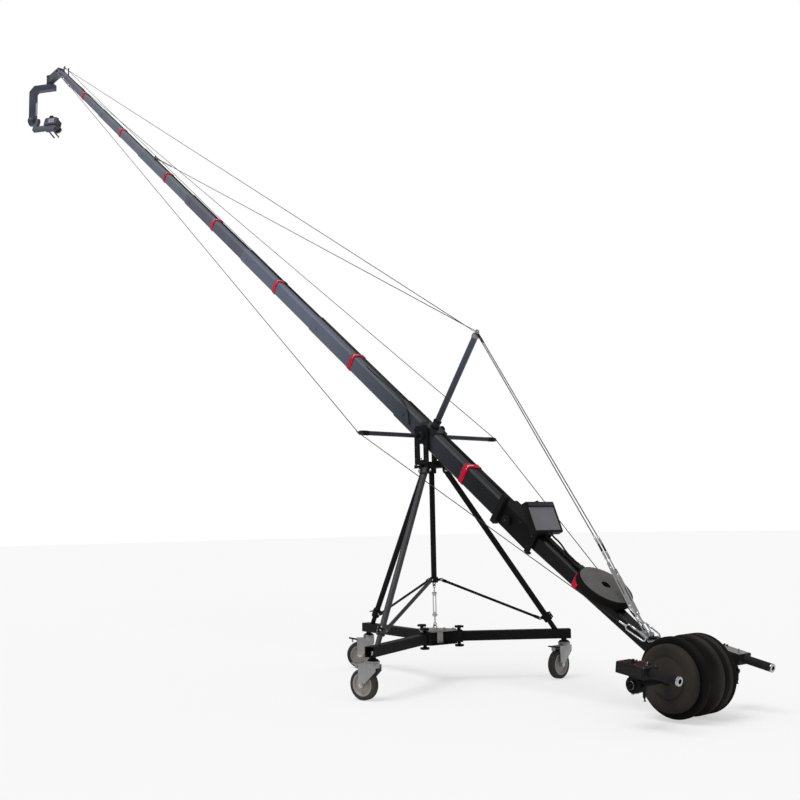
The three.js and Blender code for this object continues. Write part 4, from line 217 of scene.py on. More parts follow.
class Workshop:
    """Makes each finish's material once and hands it out by name."""

    def __init__(self) -> None:
        """Starts with the shared groups and no materials."""
        self.groups = NodeGroups()
        self.made: dict[str, Material] = {}

    def material(self, finish: Finish) -> Material:
        """Gives the material of a finish.

        Args:
            finish: the finish wanted.

        Returns:
            Its material, the same one each time.
        """
        if finish.name not in self.made:
            self.made[finish.name] = self._build(finish)
        return self.made[finish.name]

    def _mask(self, tree: NodeTree, group: NodeTree, place: NodeSocket,
              scale: float, amount: float) -> NodeSocket:
        """Places a group in a material.

        Args:
            tree: the material's nodes.
            group: the shared group.
            place: the position socket that it reads.
            scale: its scale.
            amount: its strength.

        Returns:
            The mask's socket.
        """
        given = {"Position": place, "Scale": scale, "Amount": amount}
        return add(tree, "Group", given, node_tree=group).outputs["Mask"]

    @staticmethod
    def _blend(tree: NodeTree, below: NodeSocket | Colour, above: NodeSocket | Colour,
               mask: NodeSocket | float, way: str = "MIX") -> NodeSocket:
        """Lays one colour over another by a mask.

        Args:
            tree: the material's nodes.
            below: the colour, or the socket of one, underneath.
            above: the colour, or the socket of one, on top.
            mask: how much of it shows.
            way: how the two mix.

        Returns:
            The mixed colour's socket.
        """
        mix = add(tree, "Mix", {}, data_type="RGBA", blend_type=way)
        slots = [index for index, socket in enumerate(mix.inputs) if socket.type == "RGBA"]
        below, above = ((*tone, 1.0) if isinstance(tone, tuple) else tone for tone in (below, above))
        fill(tree, mix, {"Factor": mask, slots[0]: below, slots[1]: above})
        return next(socket for socket in mix.outputs if socket.type == "RGBA")

    @staticmethod
    def _between(tree: NodeTree, place: NodeSocket, start: Point, end: Point) -> NodeSocket:
        """Measures how far along a line each spot lies.

        Args:
            tree: the material's nodes.
            place: the position socket.
            start: where the measure is 0.
            end: where it is 1.

        Returns:
            The measure's socket.
        """
        way = (Vector(end) - Vector(start)).normalized()
        dot = add(tree, "VectorMath", {0: place, 1: way}, operation="DOT_PRODUCT").outputs["Value"]
        reach = {"From Min": Vector(start).dot(way), "From Max": Vector(end).dot(way)}
        return add(tree, "MapRange", {"Value": dot, **reach}).outputs["Result"]

    def _build(self, finish: Finish) -> Material:
        """Builds the material of a finish.

        Args:
            finish: the finish wanted.

        Returns:
            The new material.
        """
        material = bpy.data.materials.new(finish.name)
        material.use_nodes = True
        tree = material.node_tree
        shader = tree.nodes["Principled BSDF"]
        place = tree.nodes.new("ShaderNodeTexCoord").outputs["Object"]
        tone = self._mask(tree, self.groups.tone, place, 1.0, 1.0)
        scuffs = self._mask(tree, self.groups.scuffs, place, finish.scuff_scale, finish.scuffs)
        dust = self._mask(tree, self.groups.dust, place, 1.0, finish.dusting)
        colour = self._blend(tree, finish.base, finish.second, tone)
        # Painted sky reflection, where a finish has one: the colour shifts along a line.
        if finish.fade is not None:
            far = self._between(tree, place, finish.painted_reflection_from, finish.painted_reflection_to)
            colour = self._blend(tree, colour, finish.fade, far)
        colour = self._blend(tree, colour, finish.scuff, scuffs)
        colour = self._blend(tree, colour, finish.dust, dust)
        grain = add(tree, "TexNoise", {"Vector": place, "Scale": finish.grain, "Detail": 3.0}).outputs["Fac"]
        gloss = add(tree, "MapRange", {"Value": grain, "From Min": 0.3, "From Max": 0.7,
                                       "To Min": finish.smooth, "To Max": finish.rough})
        bump = add(tree, "Bump", {"Height": grain, "Strength": finish.relief, "Distance": 0.0004})
        fill(tree, shader, {"Base Color": colour, "Roughness": gloss.outputs["Result"],
                            "Normal": bump.outputs["Normal"], "Metallic": finish.metallic,
                            "Specular IOR Level": finish.specular})
        return material

    def ribbed(self, finish: Finish, across: float, axis: str) -> Material:
        """Gives a finish with fine ribs that follow a piece's own UV map, as on webbing or a wire rope.

        Args:
            finish: the finish under the ribs.
            across: how many ribs there are to one unit of the map.
            axis: the map's axis that they cross, X or Y, or DIAGONAL for a lay.

        Returns:
            The material.
        """
        name = f"{finish.name} ribbed {axis} {across:g}"
        if name in self.made:
            return self.made[name]
        material = self._build(finish)
        material.name = name
        tree = material.node_tree
        shader = tree.nodes["Principled BSDF"]
        lay = tree.nodes.new("ShaderNodeUVMap").outputs["UV"]
        wave = add(tree, "TexWave", {"Vector": lay, "Scale": across}, bands_direction=axis).outputs
        bump = add(tree, "Bump", {"Height": wave["Fac"], "Strength": 0.6, "Distance": 0.0006})
        base = shader.inputs["Base Color"].links[0].from_socket
        mixed = self._blend(tree, base, wave["Color"], 0.4, "MULTIPLY")
        fill(tree, shader, {"Normal": bump.outputs["Normal"], "Base Color": mixed})
        self.made[name] = material
        return material


BOOM_PAINT = Finish("Boom paint", (0.0032, 0.0032, 0.0036), (0.0055, 0.0055, 0.006), 0.26, 0.42, scuffs=0.25,
                    scuff=(0.04, 0.04, 0.04), dusting=0.06, dust=(0.03, 0.026, 0.024), specular=0.12)
FRAME_PAINT = Finish("Frame paint", (0.006, 0.006, 0.0064), (0.0095, 0.0095, 0.01), 0.42, 0.62, scuffs=0.3,
                     scuff=(0.04, 0.038, 0.036), dusting=0.06, dust=(0.03, 0.026, 0.024), specular=0.06)
MAST_PAINT = Finish("Mast paint", (0.01, 0.012, 0.016), (0.016, 0.018, 0.023), 0.3, 0.45, dusting=0.08,
                    specular=0.25)
ARM_PAINT = Finish("Side arm paint", (0.014, 0.016, 0.021), (0.026, 0.029, 0.037), 0.3, 0.45, dusting=0.08,
                   specular=0.2)
LEG_GREY = Finish("Leg grey", (0.03, 0.03, 0.036), (0.044, 0.044, 0.053), 0.38, 0.55, scuffs=0.5,
                  scuff=(0.13, 0.125, 0.13), dusting=0.12, specular=0.2)
HUB_SILVER = Finish("Hub silver", (0.22, 0.21, 0.21), (0.3, 0.29, 0.28), 0.35, 0.55, 0.5, scuffs=0.4,
                    scuff=(0.08, 0.075, 0.07), dusting=0.3)
BARE_PATCH = Finish("Bare patch", (0.34, 0.33, 0.32), (0.46, 0.45, 0.43), 0.35, 0.55, 0.3, scuffs=0.5,
                    scuff=(0.12, 0.11, 0.1), dusting=0.2)
CHROME = Finish("Chrome", (0.42, 0.43, 0.44), (0.56, 0.56, 0.57), 0.16, 0.3, 1.0, relief=0.05,
                scuffs=0.25, scuff=(0.1, 0.1, 0.1), dusting=0.15, dust=(0.12, 0.11, 0.1))
FITTING_STEEL = Finish("Fitting steel", (0.16, 0.16, 0.165), (0.27, 0.27, 0.275), 0.25, 0.42, 1.0,
                       scuffs=0.2, scuff=(0.06, 0.06, 0.06), dusting=0.1)
ZINC_PLATE = Finish("Zinc plate", (0.27, 0.275, 0.275), (0.38, 0.385, 0.38), 0.28, 0.46, 0.8, 120.0, 0.1,
                    (0.11, 0.1, 0.09), 0.35, dusting=0.25, dust=(0.14, 0.125, 0.11))
DARK_STEEL = Finish("Dark steel rope", (0.028, 0.028, 0.03), (0.055, 0.055, 0.057), 0.4, 0.6, 0.4,
                    dusting=0.05, specular=0.25)
TYRE = Finish("Tyre rubber", (0.02, 0.019, 0.019), (0.04, 0.038, 0.037), 0.7, 0.92, relief=0.5,
              scuffs=0.5, scuff=(0.1, 0.09, 0.08), dusting=0.35, dust=(0.09, 0.08, 0.07), specular=0.3)
WHEEL_HUB = Finish("Wheel hub nylon", (0.24, 0.225, 0.205), (0.32, 0.3, 0.275), 0.4, 0.6, scuffs=0.3,
                   scuff=(0.08, 0.07, 0.06), dusting=0.3, dust=(0.15, 0.13, 0.11))
PLATE_RUBBER = Finish("Weight rubber", (0.0045, 0.0043, 0.004), (0.009, 0.0083, 0.0075), 0.65, 0.9,
                      grain=260.0, relief=0.7, scuffs=0.5, scuff=(0.032, 0.029, 0.025), scuff_scale=9.0,
                      dusting=0.3, dust=(0.02, 0.0175, 0.015), specular=0.05)
PLATE_DUST = Finish("Weight rubber dusty", (0.016, 0.0145, 0.013), (0.036, 0.0315, 0.0275), 0.75, 0.95,
                    grain=260.0, relief=0.7, scuffs=0.5, scuff=(0.01, 0.009, 0.008), dusting=0.3,
                    dust=(0.052, 0.045, 0.038), specular=0.1)
TOP_RUBBER = Finish("Top weight rubber", (0.075, 0.073, 0.074), (0.115, 0.111, 0.11), 0.6, 0.85,
                    grain=260.0, relief=0.5, scuffs=0.5, scuff=(0.18, 0.165, 0.155), dusting=0.4,
                    specular=0.3)
BLACK_MOULDED = Finish("Black moulding", (0.005, 0.005, 0.0058), (0.0095, 0.0095, 0.0108), 0.45, 0.65,
                       grain=700.0, relief=0.35, scuffs=0.2, scuff=(0.05, 0.05, 0.05), dusting=0.06,
                       dust=(0.045, 0.04, 0.038), specular=0.1)
GREY_PANEL = Finish("Grey panel", (0.22, 0.22, 0.225), (0.3, 0.3, 0.3), 0.35, 0.5, 0.5, scuffs=0.3,
                    scuff=(0.07, 0.07, 0.07), dusting=0.2)
SCREEN = Finish("Screen glass", (0.15, 0.148, 0.165), (0.175, 0.172, 0.19), 0.12, 0.24, relief=0.0,
                scuffs=0.05, dusting=0.08, specular=0.3)
CABLE = Finish("Cable rubber", (0.005, 0.005, 0.0055), (0.01, 0.01, 0.011), 0.45, 0.65, dusting=0.08,
               dust=(0.05, 0.045, 0.04), specular=0.18)
FOAM = Finish("Grip foam", (0.007, 0.007, 0.0075), (0.013, 0.013, 0.0135), 0.85, 1.0, grain=900.0,
              relief=0.9, scuffs=0.1, scuff=(0.05, 0.05, 0.05), dusting=0.15, dust=(0.05, 0.05, 0.045),
              specular=0.2)
WEBBING = Finish("Red webbing", (0.6, 0.006, 0.03), (0.72, 0.014, 0.045), 0.7, 0.9, grain=900.0,
                 relief=0.4, scuffs=0.1, scuff=(0.3, 0.01, 0.02), dusting=0.06, dust=(0.35, 0.04, 0.05),
                 specular=0.2)
WEBBING_ROSE = replace(WEBBING, name="Rose webbing", base=(0.66, 0.03, 0.085), second=(0.76, 0.045, 0.11))
# Painted highlight: the pale pink sheen where a strap turns over the beam's top corner.
WEBBING_SHEEN = Finish("Red webbing sheen", (0.78, 0.3, 0.34), (0.85, 0.4, 0.44), 0.5, 0.7, grain=900.0,
                       relief=0.4, scuffs=0.1, scuff=(0.5, 0.1, 0.12), dusting=0.05)
RED_CAP = Finish("Red cap", (0.42, 0.006, 0.012), (0.5, 0.01, 0.018), 0.2, 0.32, relief=0.05,
                 dusting=0.05, specular=0.4)
RED_DARK = Finish("Dark red cap", (0.12, 0.004, 0.006), (0.2, 0.007, 0.01), 0.3, 0.45, relief=0.05,
                  dusting=0.05, specular=0.3)
HEAD_PAINT = Finish("Head paint", (0.038, 0.046, 0.068), (0.056, 0.068, 0.098), 0.3, 0.45,
                    scuffs=0.3, scuff=(0.12, 0.13, 0.15), dusting=0.1, dust=(0.1, 0.1, 0.12), specular=0.3)
CAMERA_SHELL = Finish("Camera shell", (0.026, 0.03, 0.044), (0.046, 0.052, 0.074), 0.4, 0.6, grain=700.0,
                      relief=0.3, scuffs=0.2, scuff=(0.09, 0.09, 0.11), dusting=0.08, specular=0.3)
SMALL_SCREEN = Finish("Small screen", (0.26, 0.235, 0.31), (0.3, 0.275, 0.35), 0.15, 0.28, relief=0.0,
                      scuffs=0.05, dusting=0.05, specular=0.3)
LID_BAND = Finish("Monitor lid band", (0.02, 0.02, 0.025), (0.028, 0.028, 0.034), 0.35, 0.5, specular=0.25)
BRONZE = Finish("Spring bronze", (0.16, 0.085, 0.045), (0.24, 0.13, 0.07), 0.3, 0.45, 0.8)
# A pale strip on the head's post.
PALE_STRIP = Finish("Pale trim", (0.45, 0.45, 0.5), (0.52, 0.52, 0.56), 0.35, 0.5, dusting=0.1)
# Near black for dark parts, and painted shade where it stands for the dark inside of the near leg's holes and
# the top disc's bore.
NEAR_BLACK_AND_HOLE_SHADE = Finish("Opening black", (0.002, 0.002, 0.002), (0.004, 0.004, 0.004), 0.8, 0.95, specular=0.1)

# The beam's paint by section, from the tail to the nose, with painted sky reflection: it pales and turns
# bluer with height
BOOM_PAINT_AND_REFLECTION_TONES: tuple[Colour, ...] = (
    (0.009, 0.0095, 0.012), (0.05, 0.057, 0.073), (0.118, 0.134, 0.18), (0.101, 0.11, 0.14),
    (0.13, 0.146, 0.178), (0.144, 0.152, 0.186), (0.13, 0.138, 0.174),
)


def boom_paint(section: int) -> Finish:
    """Gives the beam paint of one section, with painted sky reflection in its colour.

    Args:
        section: 0 for the section at the pivot, rising to the nose.

    Returns:
        The finish, which pales along the two sections next to the pivot as painted sky reflection.
    """
    tone = BOOM_PAINT_AND_REFLECTION_TONES[section]
    lighter: Colour = (tone[0] * 1.15, tone[1] * 1.15, tone[2] * 1.15)
    dust: Colour = (tone[0] * 1.3 + 0.02, tone[1] * 1.25 + 0.02, tone[2] * 1.2 + 0.018)
    if section == 0:
        dust = BOOM_PAINT.dust
    paint = replace(BOOM_PAINT, name=f"Boom paint {section}", base=tone, second=lighter, dust=dust)
    if section > 1:
        return paint
    # Painted sky reflection: along this section the colour pales toward the next section's tone.
    start, end = ((-0.5, 0.36), (0.36, 1.15))[section]
    spots = [tuple(LAYOUT.boom((x, 0.0, 0.0)).translation) for x in (start, end)]
    return replace(paint, fade=BOOM_PAINT_AND_REFLECTION_TONES[section + 1], painted_reflection_from=spots[0], painted_reflection_to=spots[1])


def mast_paint_and_reflection() -> Finish:
    """Gives the mast's paint, which pales toward its head as painted sky reflection."""
    spots = [tuple(LAYOUT.boom((0.0, 0.0, z)).translation) for z in (0.09, 0.6)]
    return replace(MAST_PAINT, fade=(0.062, 0.076, 0.108), painted_reflection_from=spots[0], painted_reflection_to=spots[1])


# Shaping


def placed(x: float, y: float, z: float) -> Matrix:
    """Gives the matrix that moves the origin to a spot."""
    return Matrix.Translation((x, y, z))


def aimed(way: Vector, axis: str = "Z", up: str = "Y") -> Matrix:
    """Gives the turn that leads an axis along a way."""
    return way.to_track_quat(axis, up).to_matrix().to_4x4()


class Shaper:
    """One piece's mesh in the making, in the axes of a given place."""

    def __init__(self, place: Matrix | None = None) -> None:
        """Starts empty.

        Args:
            place: the matrix from the piece's own axes to the model's.
        """
        self.mesh = bmesh.new()
        self.place = place or Matrix.Identity(4)
        self.layer = self.mesh.loops.layers.uv.new("UVMap")

    def _put(self, verts: list[BMVert], at: Matrix | None = None) -> None:
        """Moves new vertices from their local axes, by a further local matrix, to the model's."""
        bmesh.ops.transform(self.mesh, matrix=self.place @ (at or Matrix.Identity(4)), verts=verts)

    def _soften(self, verts: list[BMVert], width: float, segments: int, sharp: float = 30.0) -> None:
        """Bevels the sharp edges of some vertices.

        Args:
            verts: the vertices whose edges are looked at.
            width: the bevel's width; nothing is done at 0.
            segments: its segments.
            sharp: the least angle between faces, in degrees, that is bevelled.
        """
        if width <= 0:
            return
        chosen = set(verts)
        edges = {edge for vert in verts for edge in vert.link_edges if edge.other_vert(vert) in chosen}
        keen = [edge for edge in edges if len(edge.link_faces) == 2
                and edge.calc_face_angle(0) > math.radians(sharp)]
        bmesh.ops.bevel(self.mesh, geom=keen, offset=width, segments=segments, affect="EDGES", profile=0.5,
                        material=-1, clamp_overlap=True)

    def rod(self, start: Point, end: Point, radius: float, sides: int = 24, soft: float = 0.0,
            end_radius: float | None = None) -> "Shaper":
        """Adds a round bar.

        Args:
            start: the middle of one end.
            end: the middle of the other.
            radius: its radius.
            sides: its facets.
            soft: the bevel on its rims.
            end_radius: the radius at the other end, where it tapers.

        Returns:
            The shaper.
        """
        way = Vector(end) - Vector(start)
        at = Matrix.Translation((Vector(start) + Vector(end)) / 2) @ aimed(way)
        made = bmesh.ops.create_cone(self.mesh, cap_ends=True, segments=sides, radius1=radius,
                                     radius2=radius if end_radius is None else end_radius, depth=way.length)
        self._put(made["verts"], at)
        self._soften(made["verts"], soft, 2, 50.0)
        return self

    def slab(self, low: Point, high: Point, soft: float = 0.0008, segments: int = 2,
             at: Matrix | None = None) -> "Shaper":
        """Adds a block between two corners, with softened edges.

        Args:
            low: its lowest corner.
            high: its highest corner.
            soft: the bevel's width.
            segments: the bevel's segments.
            at: a further local matrix.

        Returns:
            The shaper.
        """
        size = Vector(high) - Vector(low)
        made = bmesh.ops.create_cube(self.mesh, size=1.0)
        bmesh.ops.scale(self.mesh, vec=size, verts=made["verts"])
        bmesh.ops.translate(self.mesh, vec=(Vector(high) + Vector(low)) / 2, verts=made["verts"])
        self._put(made["verts"], at)
        self._soften(made["verts"], soft, segments)
        return self

    def turned(self, profile: Profile, at: Matrix | None = None, steps: int = 48) -> "Shaper":
        """Spins a profile of radii and heights about the local Z axis.

        Args:
            profile: its points, from the inside out or up.
            at: a further local matrix.
            steps: the spin's steps.

        Returns:
            The shaper.
        """
        verts = [self.mesh.verts.new((radius, 0.0, height)) for radius, height in profile]
        edges = [self.mesh.edges.new((a, b)) for a, b in zip(verts, verts[1:])]
        made = bmesh.ops.spin(self.mesh, geom=verts + edges, cent=(0, 0, 0), axis=(0, 0, 1), angle=TURN,
                              steps=steps, use_merge=True, use_duplicate=False)
        last = [item for item in made["geom_last"] if isinstance(item, BMVert)]
        reach = self._reached(last + verts)
        bmesh.ops.remove_doubles(self.mesh, verts=reach, dist=1e-6)
        self._put([v for v in reach if v.is_valid], at)
        return self

    @staticmethod
    def _reached(seeds: list[BMVert]) -> list[BMVert]:
        """Finds every vertex joined to some.

        Args:
            seeds: where the search starts.

        Returns:
            All the vertices of their islands.
        """
        seen = {v for v in seeds if v.is_valid}
        waiting = list(seen)
        while waiting:
            vert = waiting.pop()
            fresh = {edge.other_vert(vert) for edge in vert.link_edges} - seen
            seen |= fresh
            waiting += fresh
        return list(seen)

    def ring(self, radius: float, wire: float, at: Matrix) -> "Shaper":
        """Adds a ring of round wire about the local Z axis.

        Args:
            radius: from its centre to the middle of the wire.
            wire: the wire's radius.
            at: a further local matrix.

        Returns:
            The shaper.
        """
        angles = [TURN * i / 12 for i in range(12)]
        loop = [(radius + wire * math.cos(a), wire * math.sin(a)) for a in angles]
        return self.turned([*loop, loop[0]], at, 32)

    def plate(self, outline: Profile, low: float, high: float, soft: float = 0.0006,
              at: Matrix | None = None) -> "Shaper":
        """Draws a flat outline in X and Y up along Z.

        Args:
            outline: its corners in order.
            low: the lower height.
            high: the upper height.
            soft: the bevel's width.
            at: a further local matrix.

        Returns:
            The shaper.
        """
        verts = [self.mesh.verts.new((x, y, low)) for x, y in outline]
        face = self.mesh.faces.new(verts)
        grown = bmesh.ops.extrude_face_region(self.mesh, geom=[face], use_keep_orig=True)
        top = [item for item in grown["geom"] if isinstance(item, BMVert)]
        bmesh.ops.translate(self.mesh, vec=(0, 0, high - low), verts=top)
        self._put(verts + top, at)
        self._soften(verts + top, soft, 2)
        return self

    def tube(self, points: list[Point], radius: float, sides: int = 12, along: float = 1.0) -> "Shaper":
        """Sweeps a round section through points, with a UV map that follows it.

        Args:
            points: the route.
            radius: the section's radius.
            sides: its facets.
            along: units of the map to a metre of route.

        Returns:
            The shaper.
        """
        route = [self.place @ Vector(p) for p in points]
        rings: list[list[BMVert]] = []
        ways = [(b - a).normalized() for a, b in zip(route, route[1:])]
        side = ways[0].orthogonal().normalized()
        run = [0.0]
        for index, spot in enumerate(route):
            before = ways[max(index - 1, 0)]
            after = ways[min(index, len(ways) - 1)]
            way = (before + after).normalized()
            side = (side - way * side.dot(way)).normalized()
            turn = Matrix.Translation(spot) @ Matrix((side, way.cross(side), way)).transposed().to_4x4()
            made = bmesh.ops.create_circle(self.mesh, cap_ends=False, segments=sides, radius=radius,
                                           matrix=turn)
            rings.append(made["verts"])
            if index:
                run.append(run[-1] + (spot - route[index - 1]).length)
        for index, (one, two) in enumerate(zip(rings, rings[1:])):
            for k in range(sides):
                corners = [one[k], one[(k + 1) % sides], two[(k + 1) % sides], two[k]]
                face = self.mesh.faces.new(corners)
                spots = [(k, index), (k + 1, index), (k + 1, index + 1), (k, index + 1)]
                for loop, (u, v) in zip(face.loops, spots):
                    loop[self.layer].uv = (u / sides, run[v] * along)
        self.mesh.faces.new(list(reversed(rings[0])))
        self.mesh.faces.new(rings[-1])
        return self

    def band(self, corners: list[Point], forward: Vector, width: float, thick: float,
             closed: bool = True) -> "Shaper":
        """Lays a flat strap along corners, with a UV map along and across it.

        Args:
            corners: the outer line's corners, in the place's axes.
            forward: the strap's width direction, in the place's axes.
            width: its width.
            thick: its thickness, laid inward from the corners' line.
            closed: whether its ends meet.

        Returns:
            The shaper.
        """
        centre = sum((Vector(c) for c in corners), Vector()) / len(corners)
        rows: list[list[BMVert]] = []
        run = [0.0]
        spots = [*corners, corners[0]] if closed else corners
        for index, corner in enumerate(spots):
            if index:
                run.append(run[-1] + (Vector(corner) - Vector(spots[index - 1])).length)
            if closed and index == len(spots) - 1:
                rows.append(rows[0])
                continue
            outer = Vector(corner)
            inner = outer + (centre - outer).normalized() * thick
            half = forward.normalized() * (width / 2)
            rows.append([self.mesh.verts.new(self.place @ p)
                         for p in (outer - half, outer + half, inner + half, inner - half)])
        for index, (one, two) in enumerate(zip(rows, rows[1:])):
            for k in range(4):
                face = self.mesh.faces.new([one[k], one[(k + 1) % 4], two[(k + 1) % 4], two[k]])
                across = (0.0, 1.0) if k % 2 == 0 else (0.0, 0.05)
                spots_uv = [(across[0], run[index]), (across[1], run[index]), (across[1], run[index + 1]),
                            (across[0], run[index + 1])]
                for loop, (u, v) in zip(face.loops, spots_uv):
                    loop[self.layer].uv = (u, v * 30.0)
        if not closed:
            self.mesh.faces.new(list(reversed(rows[0])))
            self.mesh.faces.new(rows[-1])
        return self

    def finish(self, name: str, material: Material, body: str, slot: Slot, smooth: float = 35.0) -> Object:
        """Makes the object, dresses it and puts it on its body.

        Args:
            name: the piece's name.
            material: its material.
            body: the CAD body that it rides on, or nothing for a piece left unattached.
            slot: its material slot; not used.
            smooth: the angle in degrees under which faces shade as one.

        Returns:
            The finished piece.
        """
        bmesh.ops.recalc_face_normals(self.mesh, faces=self.mesh.faces)
        for face in self.mesh.faces:
            face.smooth = True
        for edge in self.mesh.edges:
            if len(edge.link_faces) == 2 and edge.calc_face_angle(0) > math.radians(smooth):
                edge.smooth = False
        data = bpy.data.meshes.new(name)
        self.mesh.to_mesh(data)
        self.mesh.free()
        data.materials.append(material)
        piece = bpy.data.objects.new(name, data)
        bpy.context.scene.collection.objects.link(piece)
        if body:
            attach(piece, body)
        LOG.info("made %s", name)
        return piece


def turned_to(way: Point, spot: Point = (0, 0, 0)) -> Matrix:
    """Gives the matrix that lays local Z along a direction at a spot."""
    return Matrix.Translation(spot) @ aimed(Vector(way))


def hexagon(radius: float) -> Profile:
    """Gives the corners of a hexagon of that radius."""
    return [(radius * math.cos(TURN * i / 6), radius * math.sin(TURN * i / 6)) for i in range(6)]


def turned_over(hand: int, spot: Point = (0, 0, 0)) -> Matrix:
    """Gives a place that looks up for a hand of 1 and down for one of -1."""
    place = Matrix.Translation(spot)
    return place if hand > 0 else place @ Matrix.Rotation(TURN / 2, 4, "X")


def disc(radius: float, low: float, high: float) -> Profile:
    """Gives the profile of a plain disc between two heights."""
    return dome(radius, low, radius, high, high)


def dome(foot: float, low: float, neck: float, high: float, crown: float) -> Profile:
    """Gives the profile of a cap that narrows from its foot to its neck, with its crown in the middle."""
    return [(0, low), (foot, low), (neck, high), (0, crown)]


def sleeve(inner: float, outer: float, low: float, high: float) -> Profile:
    """Gives the closed profile of a sleeve between two heights."""
    return [(inner, low), (outer, low), (outer, high), (inner, high), (inner, low)]


def along(start: Point, end: Point, distance: float) -> Point:
    """Gives the point at a distance from one point towards another."""
    way = Vector(end) - Vector(start)
    return Vector(start) + way.normalized() * distance


# Places


@dataclass(frozen=True)
class Layout:
    """The crane's main places and sizes, in metres."""

    tilt_height: float = 1.317
    elevation: float = math.radians(36.66)
    arm_angle: float = math.radians(-6.9)
    swivel_reach: float = 0.7
    caster_angles: Point = (math.radians(55.3), math.radians(15.3), math.radians(95.3))
    arm_names: tuple[str, str, str] = ("front", "left", "right")
    hub_top: float = 0.2688
    hub_bottom: float = 0.1972
    tip_front: float = 6.78
    level_pin: float = 6.85
    bar_reach: float = 1.956
    bar_rise: float = 0.035
    level_arm: float = 0.26
    head_pan: float = math.radians(36)
    tilt_drop: float = 0.415
    camera_pitch: float = math.radians(18)
    monitor_place: float = 0.933
    monitor_rise: float = 0.124
    monitor_lean: float = math.radians(59)

    def boom(self, spot: Point = (0.0, 0.0, 0.0)) -> Matrix:
        """Gives the boom's axes, along it, to its left and up from it, with the origin at a spot in them."""
        turn = Matrix.Rotation(-self.elevation, 4, "Y")
        return placed(0, 0, self.tilt_height) @ turn @ Matrix.Translation(spot)

    def arm(self, index: int) -> Matrix:
        """Gives the axes of one dolly arm, with X outward."""
        return Matrix.Rotation(self.arm_angle + index * TURN / 3, 4, "Z")

    def caster(self, index: int) -> Matrix:
        """Gives the axes of one caster: its swivel at X = 0 on the floor, and its wheel towards +X."""
        swivel = self.arm(index) @ Vector((self.swivel_reach, 0, 0))
        return Matrix.Translation(swivel) @ Matrix.Rotation(self.caster_angles[index], 4, "Z")

    def control(self, side: Side) -> Matrix:
        """Gives a hand control's axes: X forward, Z up, the bar's axis through the origin."""
        turn = Matrix.Rotation(self.elevation - math.radians(8 if side is Side.LEFT else 12), 4, "Y")
        return self.boom((-self.bar_reach, side.value * 0.33, self.bar_rise)) @ turn

    def monitor(self) -> Matrix:
        """Gives the monitor's axes: X from the glass to its back, Z up the glass."""
        spot = (-self.monitor_place, 0, self.monitor_rise)
        return self.boom(spot) @ Matrix.Rotation(self.monitor_lean, 4, "Y")

    def head(self) -> Matrix:
        """Gives the camera head's axes: X along its arm, the pan axis through the origin."""
        axis = self.level() @ Vector((self.level_arm, 0, 0))
        return Matrix.Translation(axis) @ Matrix.Rotation(self.head_pan, 4, "Z")

    def level(self) -> Matrix:
        """Gives the level arm's axes, with its pin at the origin."""
        return Matrix.Translation(self.boom() @ Vector((self.level_pin, 0, 0)))

    def cradle(self) -> Matrix:
        """Gives the tilt cradle's axes: the tilt axis along X, the camera looking along -Y."""
        turn = Matrix.Rotation(self.camera_pitch, 4, "X")
        return self.head() @ placed(0, 0, -self.tilt_drop) @ turn


LAYOUT = Layout()


# Studio


